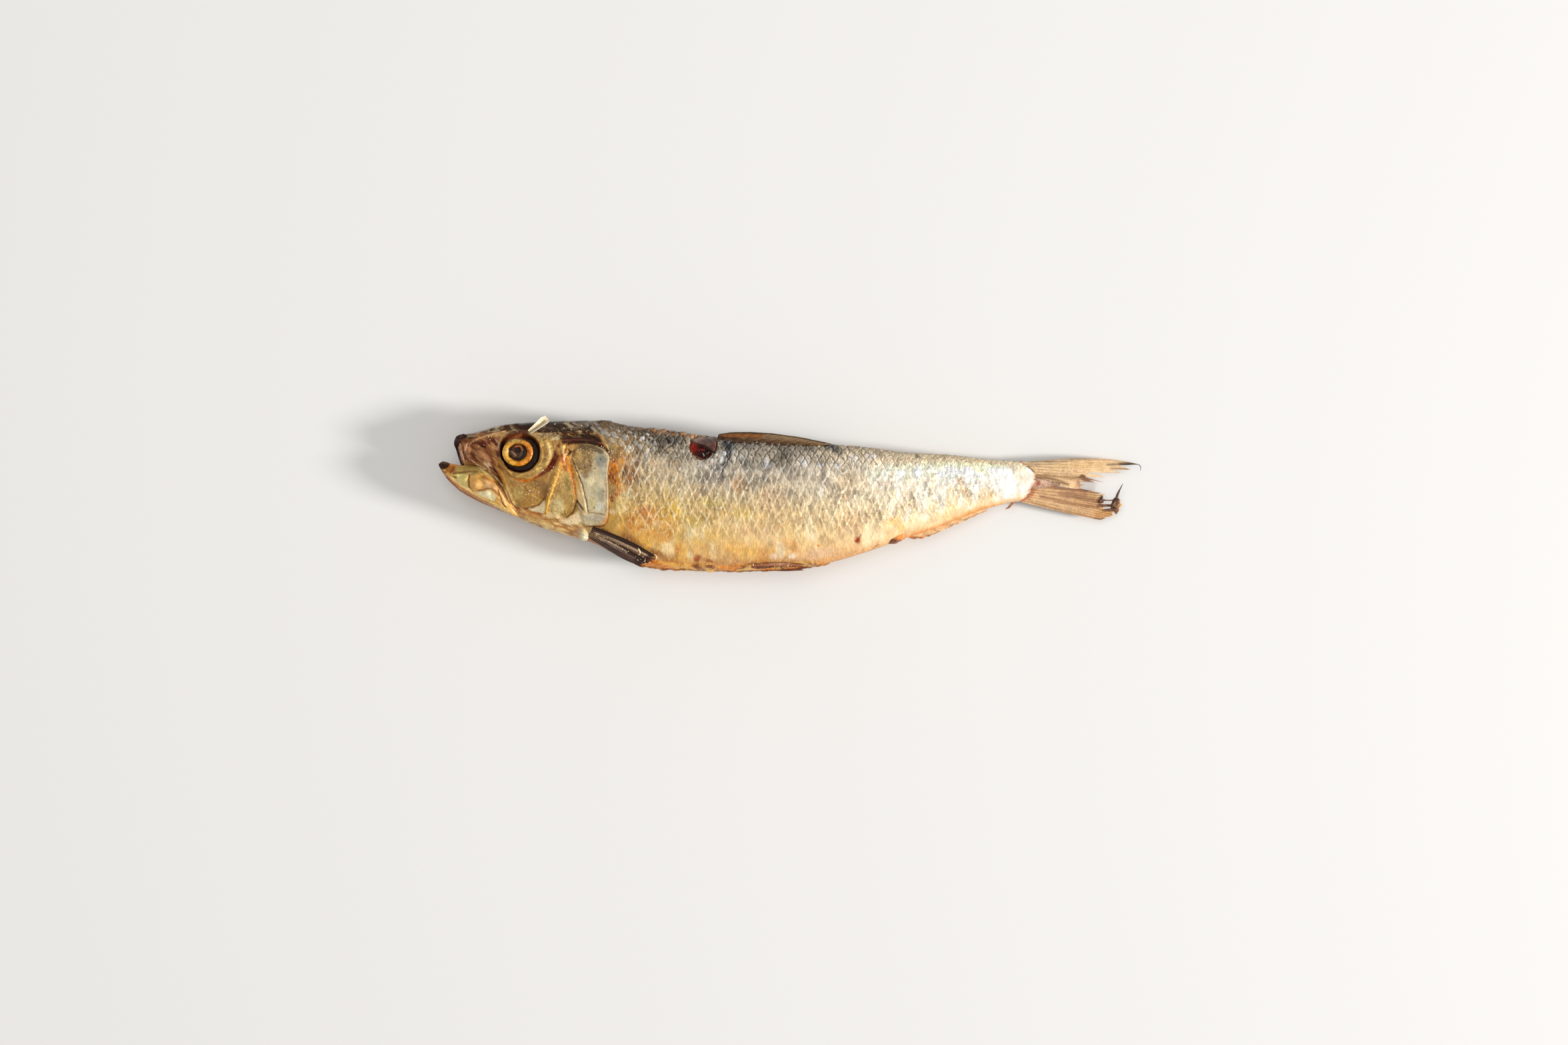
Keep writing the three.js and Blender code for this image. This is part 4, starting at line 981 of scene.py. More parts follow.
def head_lift(x, y):
    """Plates, ridges and grooves of the head, as a height over the skin."""
    x = head_place(x)
    lift = 0.05 * layered(11, 2.4, x, y) + 0.03 * layered(12, 0.7, x, y, layers=2)
    waved_x, waved_y = warped(x, y, 13, 0.3, 2.2)
    for rise, outline in PLATES:
        lift += rise * ease(area_depth(waved_x, waved_y, outline, 1.5), -0.3, 0.9)
    for rise, line in RIDGES:
        away, half = line_distance(x, y, smooth_line(line), 3.0)
        lift += rise * bell(away, np.maximum(half * 1.25, 0.2))
    for depth, half, line in GROOVES:
        away, _ = line_distance(x, y, smooth_line(line), 3.0)
        lift -= depth * bell(away, half)
    knob = SHOULDER_KNOB
    away = np.hypot((x - knob["x"]) / knob["radii"][0], (y - knob["y"]) / knob["radii"][1])
    lift += knob["rise"] * np.sqrt(np.clip(1 - away**2, 0, 1))
    lift -= SOCKET_DEPTH * ease(area_depth(x, y, SOCKET_OUTLINE, 1.5), -0.1, 0.9)
    for number, (mask, lines) in enumerate(wrinkles(x, y)):
        lift += 0.1 * WRINKLES[number][-1] * mask * lines
    return lift


def head_tone(x, y):
    """The painted tone of the head: its areas and strokes, then flecks, wrinkles and dried grains."""
    x = head_place(x)
    tone = one_tone(x.shape, (176, 146, 98))
    paint_all(tone, *warped(x, y, 21, 0.26, 1.2), HEAD_PAINT)
    for centre in HEAD_FLECKS:
        paint(tone, spot(x, y, centre, (0.35, 0.3)), (52, 42, 36), 0.8)
    socket = 1 - area(x, y, SOCKET_OUTLINE, 0.3)
    for number, (mask, lines) in enumerate(wrinkles(x, y)):
        *_, light, dark, strength = WRINKLES[number]
        paint(tone, socket * mask * ease(lines, *WRINKLE_CONTRAST), light, strength)
        paint(tone, socket * mask * ease(-lines, *WRINKLE_CONTRAST), dark, strength)
    sandy = sum(area(x, y, place, 1.2) for place in SANDY_PLACES) * socket
    grit = layered(25, 0.42, x, y, layers=2)
    paint(tone, sandy * ease(grit, *GRIT_CONTRAST), (240, 208, 148), 0.4)
    paint(tone, sandy * ease(-grit, *GRIT_CONTRAST), (96, 68, 38), 0.3)
    mottle = 1 + 0.2 * layered(23, 3.0, x, y) + 0.16 * layered(24, 0.9, x, y)
    cheek = ((1 - ease(x, 41, 46)) * (1 - ease(y, 16, 19)))[..., None]
    return np.clip(tone * mottle[..., None], 0, 1) ** lerp(SMOKE_WARMTH, CHEEK_WARMTH, cheek)


def make_head(material):
    """The head's skin, a tube from the snout to the rear edge of the gill covers."""
    columns, left_rows, right_rows = HEAD_CELLS
    rows = left_rows + right_rows
    turns = np.concatenate([np.arange(left_rows) / left_rows * np.pi,
                            np.pi + np.arange(right_rows) / right_rows * np.pi])
    along, angle = np.meshgrid(np.linspace(0, 1, columns), turns, indexing="ij")
    share = share_of(angle)
    end = head_end(share)
    x = lerp(HEAD_START, end, along)
    y = lerp(belly(x), back(x), share)
    lift = head_lift(x, y) * ease(x, 5.0, 6.5)
    sideways = np.abs(np.sin(angle))
    # The rear edge dips under the flank, less so near the back.
    dip = (SHOULDER_STEP * sideways + 0.5) * lerp(1.0, 0.45, ease(share, *NAPE_SHARES))
    lift -= dip * ease(x, end - 0.45, end)
    points = flatten(skin_points(x, angle, lift))
    tone = head_tone(*carried_over(x, y, share, points))
    crown = ease(share, 0.97, 0.995) * ease(x, 8, 14)
    paint(tone, crown, (78, 63, 53), 0.6)
    hub = points[0].mean(0) + (-0.15, 0, 0)  # closes the skin in front
    points = np.concatenate([points.reshape(-1, 3), hub[None]])
    tone = np.concatenate([tone.reshape(-1, 3), tone[0, :1]])
    gloss = np.concatenate([ease(y, 14, 20).ravel(), [0.0]])
    faces = [grid_faces(columns, rows, closed=True)[:, ::-1],
             fan_faces(np.arange(rows), columns * rows, turned=True)]
    make_piece("head", points, faces, material, tone=tone, gloss=gloss)


# ---------------------------------------------------------------- the lower jaw

JAW_SWELLINGS = [  # centre, radius, rise
    ((12.1, 2.7), 2.2, 1.1), ((8.6, 4.0), 1.6, 0.6), ((15.4, 4.2), 1.8, 0.6), ((5.8, 5.4), 1.3, 0.5),
    ((15.2, -0.5), 1.8, 0.5), ((9.6, 7.2), 1.6, 0.4), ((18.2, 2.0), 1.4, 0.5),
]
JAW_GLOSS = 0.6
JAW_RIM = [(1.4, 6.9), (1.8, 6.1), (4.4, 4.3), (7, 2.0), (10, 0.5), (13.9, -1.6), (18.5, -4.1), (22.2, -5.9)]
JAW_CREASES = [  # depth, half width, line
    (0.5, 0.25, [(9.9, 5.2), (9.8, 3.6), (10.1, 1.9), (11.0, 0.7)]),
    (0.4, 0.25, [(4.9, 6.1), (7.6, 6.5), (10, 6.7)]),
    (0.35, 0.22, [(11.2, 0.6), (13.6, 0.8), (15.4, 1.3), (17.2, 1.1), (19.2, -0.6)]),
    (0.35, 0.22, [(14.4, 5.2), (16.6, 3.4), (19.6, 2.2)]),
    (0.4, 0.22, [(2.6, 5.1), (5.6, 2.7), (9.4, 0.1), (13.6, -2.5), (18.4, -4.6)]),
    (0.3, 0.2, [(17.2, -2.0), (19.4, -2.4), (21.4, -4.6)]),
]
JAW_PAINT = [
    ((160, 142, 92), 0.9, "area", [(4.6, 8.8), (8, 8.3), (12, 8.4), (14.8, 6.6), (12.4, 5.6), (9, 5.4),
        (5, 6.2)], 0.5),
    ((222, 206, 146), 0.85, "area", [(5.2, 5.8), (9.0, 5.6), (9.6, 3.2), (10.0, 1.0), (7.4, 2.4),
        (5.0, 4.4)], 0.5),
    ((182, 178, 122), 0.7, "spot", (6.4, 5.2), (1.0, 0.9)),
    ((160, 92, 26), 0.9, "area", [(2.4, 8.6), (5.4, 8.7), (5.4, 6.8), (4.2, 6.3), (2.4, 7.0)], 0.5),
    ((120, 66, 26), 0.8, "stroke", [(4.9, 7.6, .3), (4.4, 6.9, .4), (4.0, 6.4, .2)], 0.4),
    ((214, 136, 84), 0.9, "stroke", [(3.0, 9.0, .15), (5.0, 8.9, .2), (7.2, 8.6, .15)], 0.22),
    ((224, 170, 108), 0.95, "spot", (12.1, 2.6), (2.3, 2.3)),
    ((240, 190, 134), 0.8, "spot", (12.6, 2.4), (1.1, 1.2)),
    ((206, 156, 84), 0.85, "spot", (13.6, 5.0), (2.0, 1.2)),
    ((224, 176, 130), 0.9, "area", [(14.2, 4.4), (17, 3.4), (20.2, 2.0), (19.4, 0.4), (16.4, 1.2),
        (14.4, 1.4)], 0.4),
    ((170, 112, 60), 0.75, "stroke", [(14.0, 5.2, .2), (16.6, 3.9, .3), (19.4, 2.6, .2)], 0.35),
    ((236, 216, 168), 0.8, "stroke", [(12.4, 8.2, .12), (15.0, 6.4, .2), (17.6, 4.8, .15)], 0.25),
    ((126, 88, 46), 0.85, "stroke", [(9.9, 5.4, .16), (9.8, 3.6, .2), (10.1, 1.9, .18),
        (11.0, 0.7, .14)], 0.28),
    ((120, 90, 54), 0.8, "stroke", [(4.9, 6.1, .18), (7.6, 6.4, .16), (10, 6.7, .2), (12.4, 6.6, .3)], 0.28),
    ((90, 60, 36), 0.85, "stroke", [(5.0, 5.2, .15), (5.7, 4.8, .25), (6.0, 5.2, .1)], 0.22),
    ((242, 230, 192), 0.95, "area", [(12.4, 0.2), (14.4, 0.5), (16.6, 0.8), (18.2, -0.8), (17.8, -2.4),
        (15.6, -1.7), (13.4, -0.8)], 0.4),
    ((160, 104, 62), 0.8, "stroke", [(11.2, 0.5, .12), (13.6, 0.8, .14), (15.4, 1.3, .14), (17.2, 1.1, .12),
        (19.2, -0.6, .12)], 0.22),
    ((244, 204, 138), 0.92, "stroke", [(3.4, 5.1, .3), (6.4, 2.6, .4), (10, 0.1, .45), (14, -2.2, .5),
        (18.6, -4.1, .55), (22, -5.4, .4)], 0.35),
    ((252, 214, 160), 0.6, "area", [(8.0, 2.4), (10.6, 1.2), (12.6, 0.6), (13.0, -0.6), (10.4, 0.2),
        (8.4, 1.4)], 0.5),
    ((150, 92, 54), 0.8, "stroke", [(5.6, 3.0, .1), (9.4, 0.4, .12), (13.6, -2.0, .12),
        (17.6, -3.8, .1)], 0.2),
    ((110, 56, 44), 0.9, "stroke", [(0.4, 7.6, .2), (1.6, 5.9, .2), (4.4, 3.1, .22), (7, 0.8, .22),
        (10, -0.9, .22), (13.9, -2.9, .24), (18.5, -5.0, .24), (22.6, -6.9, .22)], 0.24),
    ((206, 138, 106), 0.85, "stroke", [(1.9, 6.1, .15), (4.4, 3.8, .25), (7.4, 1.2, .25), (12.0, -1.5, .25),
        (18, -4.6, .25)], 0.25),
    ((34, 22, 18), 0.98, "area", [(-0.6, 8), (-0.4, 10.6), (2.6, 9.9), (3.5, 8.9), (3.0, 7.9),
        (1.4, 7.4)], 0.3),
    ((120, 84, 64), 0.8, "stroke", [(0.4, 7.6, .2), (1.4, 6.8, .3), (2.4, 6.4, .2)], 0.3),
    ((150, 110, 80), 0.5, "stroke", [(1.0, 9.5, .1), (2.4, 9.1, .1)], 0.2),
    ((250, 210, 172), 0.85, "stroke", [(19.6, 1.2, .12), (20.6, -1.0, .2), (21.8, -3.6, .2)], 0.22),
    ((124, 66, 44), 0.85, "stroke", [(19.0, 1.2, .12), (19.9, -1.4, .18), (21.2, -4.2, .18)], 0.22),
]


def make_lower_jaw(material):
    """The long lower jaw, a closed tube with its creases, swellings and painted marks."""
    columns, rows = LOWER_JAW_CELLS
    along = np.linspace(0, 1, columns) ** 1.25
    x, angle = np.meshgrid(along * LOWER_JAW_END, np.arange(rows) / rows * 2 * np.pi, indexing="ij")
    top, bottom, half = profile(LOWER_JAW_TOP)(x), profile(LOWER_JAW_BOTTOM)(x), profile(LOWER_JAW_HALF)(x)
    across = np.sin(angle)
    y = lerp(bottom, top, share_of(angle))
    lift = 0.06 * layered(31, 1.8, x, y, np.sign(across))
    for centre, radius, rise in JAW_SWELLINGS:
        away = np.hypot(x - centre[0], y - centre[1]) / radius
        lift += rise * np.clip(1 - away**2, 0, 1) ** 1.5
    away, _ = line_distance(x, y, smooth_line(JAW_RIM), 3.0)
    lift += 0.4 * bell(away, 0.5)
    for depth, half_width, line in JAW_CREASES:
        away, _ = line_distance(x, y, smooth_line(line), 2.0)
        lift -= depth * bell(away, half_width)
    lift *= ease(x, 0, 2)
    z = middle(x) + np.sign(across) * (half * np.abs(across) ** 0.6 + lift * np.abs(across))
    points = np.stack([x, y, z], -1)
    tone = one_tone(x.shape, (222, 176, 112))
    paint_all(tone, *warped(x, y, 33, 0.22, 1.1), JAW_PAINT)
    tone = np.clip(tone * (1 + 0.16 * layered(35, 1.6, x, y))[..., None], 0, 1) ** SMOKE_WARMTH
    hubs = [points[0].mean(0), points[-1].mean(0)]
    points = np.concatenate([points.reshape(-1, 3), hubs])
    tone = np.concatenate([tone.reshape(-1, 3), tone[0, :1], tone[-1, :1]])
    count = columns * rows
    faces = [grid_faces(columns, rows, closed=True)[:, ::-1], fan_faces(np.arange(rows), count, turned=True),
             fan_faces(np.arange(count - rows, count), count + 1)]
    make_piece("lower_jaw", points, faces, material, tone=np.clip(tone, 0, 1),
               gloss=np.full(len(points), JAW_GLOSS))


# ---------------------------------------------------------------- the bones of the mouth

MOUTH_BONE_UNEVENNESS = 0.6
MOUTH_BONES = [  # colour, darker colour, how far the middle stands over the skin, line of (x, y, radius)
    ((58, 34, 28), (34, 20, 18), -0.15, [(8.9, 17.5, .5), (7.6, 17.5, .8), (6.4, 16.9, 1.0),
        (5.8, 15.5, .9), (6.0, 13.6, .7), (6.6, 11.4, .6), (7.2, 9.4, .5), (7.6, 8.7, .3)]),
    # The next two bars are pale pink, their colour partly a painted highlight along them.
    ((196, 148, 118), (104, 62, 46), 0.0, [(6.9, 15.4, .25), (7.3, 13.2, .45), (7.8, 10.8, .42),
        (8.3, 8.7, .3)]),
    ((196, 146, 112), (96, 56, 40), -0.1, [(9.7, 15.6, .2), (8.9, 14.6, .45), (8.8, 13.0, .4),
        (9.3, 11.6, .42), (10.3, 10.3, .36), (12.2, 9.1, .2)]),
    ((206, 156, 104), (120, 74, 44), -0.12, [(9.8, 14.9, .2), (11.2, 16.0, .34), (13.4, 17.0, .34),
        (16.4, 17.9, .3), (19.4, 18.7, .26), (21.6, 19.2, .16)]),
    ((150, 104, 78), (84, 48, 34), -0.12, [(10.4, 13.6, .18), (11.4, 12.6, .26), (12.8, 11.3, .26),
        (14.2, 9.7, .2)]),
    ((216, 174, 128), (150, 100, 66), 0.1, [(11.9, 9.0, .2), (14.0, 8.0, .28), (16.2, 6.6, .3),
        (18.2, 4.7, .28), (20.4, 2.0, .2)]),
]


def make_mouth_bones(side, material):
    """The thick front edge of the upper jaw, and the thin bones behind it, on one side."""
    forms, tones = [], []
    for number, (colour, darker, lift, line) in enumerate(MOUTH_BONES):
        bone = [(x, y, float(skin_height(x, y, side)) + side * lift, radius) for x, y, radius in line]
        points, faces = tube(bone, 18, seed=140 + number, rough=MOUTH_BONE_UNEVENNESS)
        tone = one_tone(points.shape[:1], colour)
        paint(tone, ease(layered(150 + number, 0.9, *points.T), -0.05, 0.35), darker, 0.8)
        forms.append((points, faces))
        tones.append(tone)
    points, faces = joined(forms)
    make_piece("mouth_bones_" + SIDE_NAMES[side], points, faces, material, tone=np.concatenate(tones),
               gloss=np.ones(len(points)))


# ---------------------------------------------------------------- the eyes

EYE_PROFILE = [  # distance from the middle, height
    (0, -0.1), (1.4, -0.12), (2.6, -0.25), (3.0, 0.1), (3.4, 0.45), (3.9, 0.55), (4.5, 0.3), (4.8, -0.2),
    (5.0, -1.8),
]
EYE_PAINT = [  # round the middle of the eye
    ((232, 180, 96), 0.95, "spot", (-3.9, -0.4), (1.8, 4.2)),
    # a cream line on the ring's left edge: painted highlight
    ((250, 220, 144), 0.75, "stroke", [(-4.2, -1.8, .2), (-4.5, 0.0, .25), (-4.1, 1.6, .2)], 0.4),
    ((176, 146, 92), 0.95, "spot", (-1.2, 4.0), (3.2, 1.7)),
    ((214, 190, 130), 0.7, "stroke", [(-2.6, 3.4, .15), (-0.8, 4.1, .2), (1.0, 3.8, .15)], 0.35),
    ((214, 124, 36), 0.95, "spot", (4.0, 0.6), (1.9, 4.0)),
    ((226, 142, 30), 0.95, "spot", (0.8, -4.0), (3.4, 1.3)),
    ((250, 196, 72), 0.8, "spot", (-2.0, -3.6), (1.6, 0.9)),
    ((150, 78, 20), 0.8, "stroke", [(3.0, 1.6, .12), (4.0, -0.6, .18), (3.4, -2.6, .12)], 0.3),
    # a thin bright line on the ring's right edge: painted highlight
    ((255, 206, 104), 0.7, "stroke", [(4.55, 1.4, .08), (4.6, -0.8, .1), (3.9, -2.6, .08)], 0.2),
]
LID_PAINT = [  # over the ring and the pupil's edge
    ((92, 54, 32), 0.85, "area", [(-0.4, 4.0), (0.2, 5.2), (4.6, 4.6), (4.4, 2.6), (3.2, 3.0), (2.2, 3.5)],
        0.25),
    ((206, 146, 84), 0.8, "stroke", [(0.6, 4.3, .1), (2.4, 4.1, .16), (3.6, 3.2, .1)], 0.2),
]
PUPIL_FACETS = [  # height, colour, outline
    (0, (54, 34, 22), [(-3.2, 3.2), (3.2, 3.2), (3.2, -3.2), (-3.2, -3.2)]),
    (0.12, (104, 66, 40), [(-2.3, 0.7), (-1.6, 1.9), (-0.2, 2.4), (1.2, 2.2), (1.8, 1.1), (1.3, -0.6),
        (0.4, -1.7), (-1.2, -1.5)]),
    (0.18, (178, 112, 60), [(-1.3, 1.5), (-0.5, 2.2), (0.8, 2.2), (1.6, 1.2), (1.3, 0.4), (1.0, 1.1),
        (0.4, 1.7), (-0.6, 1.5)]),
    (-0.2, (50, 28, 18), [(-0.9, 0.9), (-0.4, 1.5), (0.4, 1.4), (0.8, 0.8), (0.5, 0.1), (-0.3, -0.1),
        (-0.9, 0.3)]),
    (0.12, (122, 96, 72), [(-2.5, 0.5), (-1.9, 0.4), (-0.9, -0.6), (-0.5, -1.3), (-1.3, -1.6), (-2.2, -0.7)]),
    # a thin pale streak at the pupil's lower left: painted highlight
    (0.08, (176, 154, 128), [(-2.0, 0.3), (-1.8, 0.4), (-0.6, -0.8), (-0.75, -1.05)]),
    (0.1, (98, 84, 56), [(0.4, -0.6), (1.2, 0.2), (1.5, -0.4), (0.9, -1.5), (0.3, -1.4)]),
]


def make_eye(side, material):
    """A ball in the socket: a raised golden ring round a dry pupil with facets."""
    rings, parts = EYE_CELLS
    turns = np.arange(parts) / parts * 2 * np.pi
    radius, angle = np.meshgrid(np.linspace(0.02, 1, rings) * EYE["ball"], turns, indexing="ij")
    px, py = radius * np.cos(angle), radius * np.sin(angle) * EYE["tall"]
    height = profile(EYE_PROFILE)(radius)
    rim = EYE["pupil"] + 0.22 * noise(46, angle * 2.2, radius * 0.1)
    inside = 1 - ease(radius, rim - 0.2, rim + 0.1)
    for rise, _, outline in PUPIL_FACETS:
        height += inside * area(px, py, outline, 0.3) * rise
    height += 0.09 * layered(41, 0.9, px, py) * ease(radius, EYE["pupil"], EYE["pupil"] + 0.4)
    form = standing(EYE["x"], EYE["y"], side, EYE["upright"])
    local = np.stack([px, py * side, height], -1).reshape(-1, 3)
    points = local @ np.array(form.to_3x3()).T + np.array(form.translation)

    tone = one_tone(radius.shape, (214, 150, 66))
    warp_x, warp_y = warped(px, py, 43, 0.25, 1.0)
    paint_all(tone, warp_x, warp_y, EYE_PAINT)
    fibres = noise(42, angle * 9, radius * 0.4)
    paint(tone, ease(fibres, 0.1, 0.8), (150, 84, 26), 0.4)
    paint(tone, ease(-fibres, 0.2, 0.8), (248, 206, 130), 0.35)
    paint(tone, ease(layered(45, 0.7, px, py), 0.2, 0.6), (110, 66, 30), 0.5)
    # a dark band round the ball's edge: painted shade in the gap where it meets the socket
    paint(tone, ease(radius, 4.7, 4.9), (52, 26, 20), 0.9)
    facet_x, facet_y = warp_x * 0.7 + px * 0.3, warp_y * 0.7 + py * 0.3
    for _, colour, outline in PUPIL_FACETS:
        paint(tone, inside * area(facet_x, facet_y, outline, 0.2), colour, 1.0)
    edge = ease(radius, rim - 0.35, rim - 0.05) * (1 - ease(radius, rim, rim + 0.3))
    paint(tone, edge, (44, 24, 14), 0.85)
    paint_all(tone, warp_x, warp_y, LID_PAINT)
    tone = np.clip(tone, 0, 1) ** lerp(RING_WARMTH, PUPIL_DARKNESS, inside[..., None])
    hub = points[:parts].mean(0)
    points = np.concatenate([points, hub[None]])
    tone = np.concatenate([tone.reshape(-1, 3), tone[0, :1]])
    faces = grid_faces(rings, parts, closed=True)
    fan = fan_faces(np.arange(parts), rings * parts)
    if side > 0:
        faces = faces[:, ::-1]
    make_piece("eye_" + SIDE_NAMES[side], points, [faces, fan], material, tone=np.clip(tone, 0, 1))


# ---------------------------------------------------------------- the flanks

FRONT_TONES = [  # share from belly to back, colour
    (0.0, (172, 108, 52)), (0.05, (198, 140, 84)), (0.12, (222, 174, 112)), (0.25, (228, 188, 118)),
    (0.42, (222, 184, 120)), (0.55, (212, 184, 136)), (0.68, (188, 168, 140)), (0.8, (174, 162, 144)),
    (0.9, (148, 138, 124)), (1.0, (110, 102, 92)),
]
# Towards the tail the tones run near white: the pale skin's own colour, painted brighter to stand in for the
# glare of the light from the right.
REAR_TONES = [
    (0.0, (224, 166, 104)), (0.06, (240, 196, 142)), (0.2, (250, 222, 178)), (0.4, (252, 232, 200)),
    (0.6, (253, 238, 212)), (0.78, (250, 232, 204)), (0.88, (232, 210, 176)), (1.0, (196, 176, 140)),
]
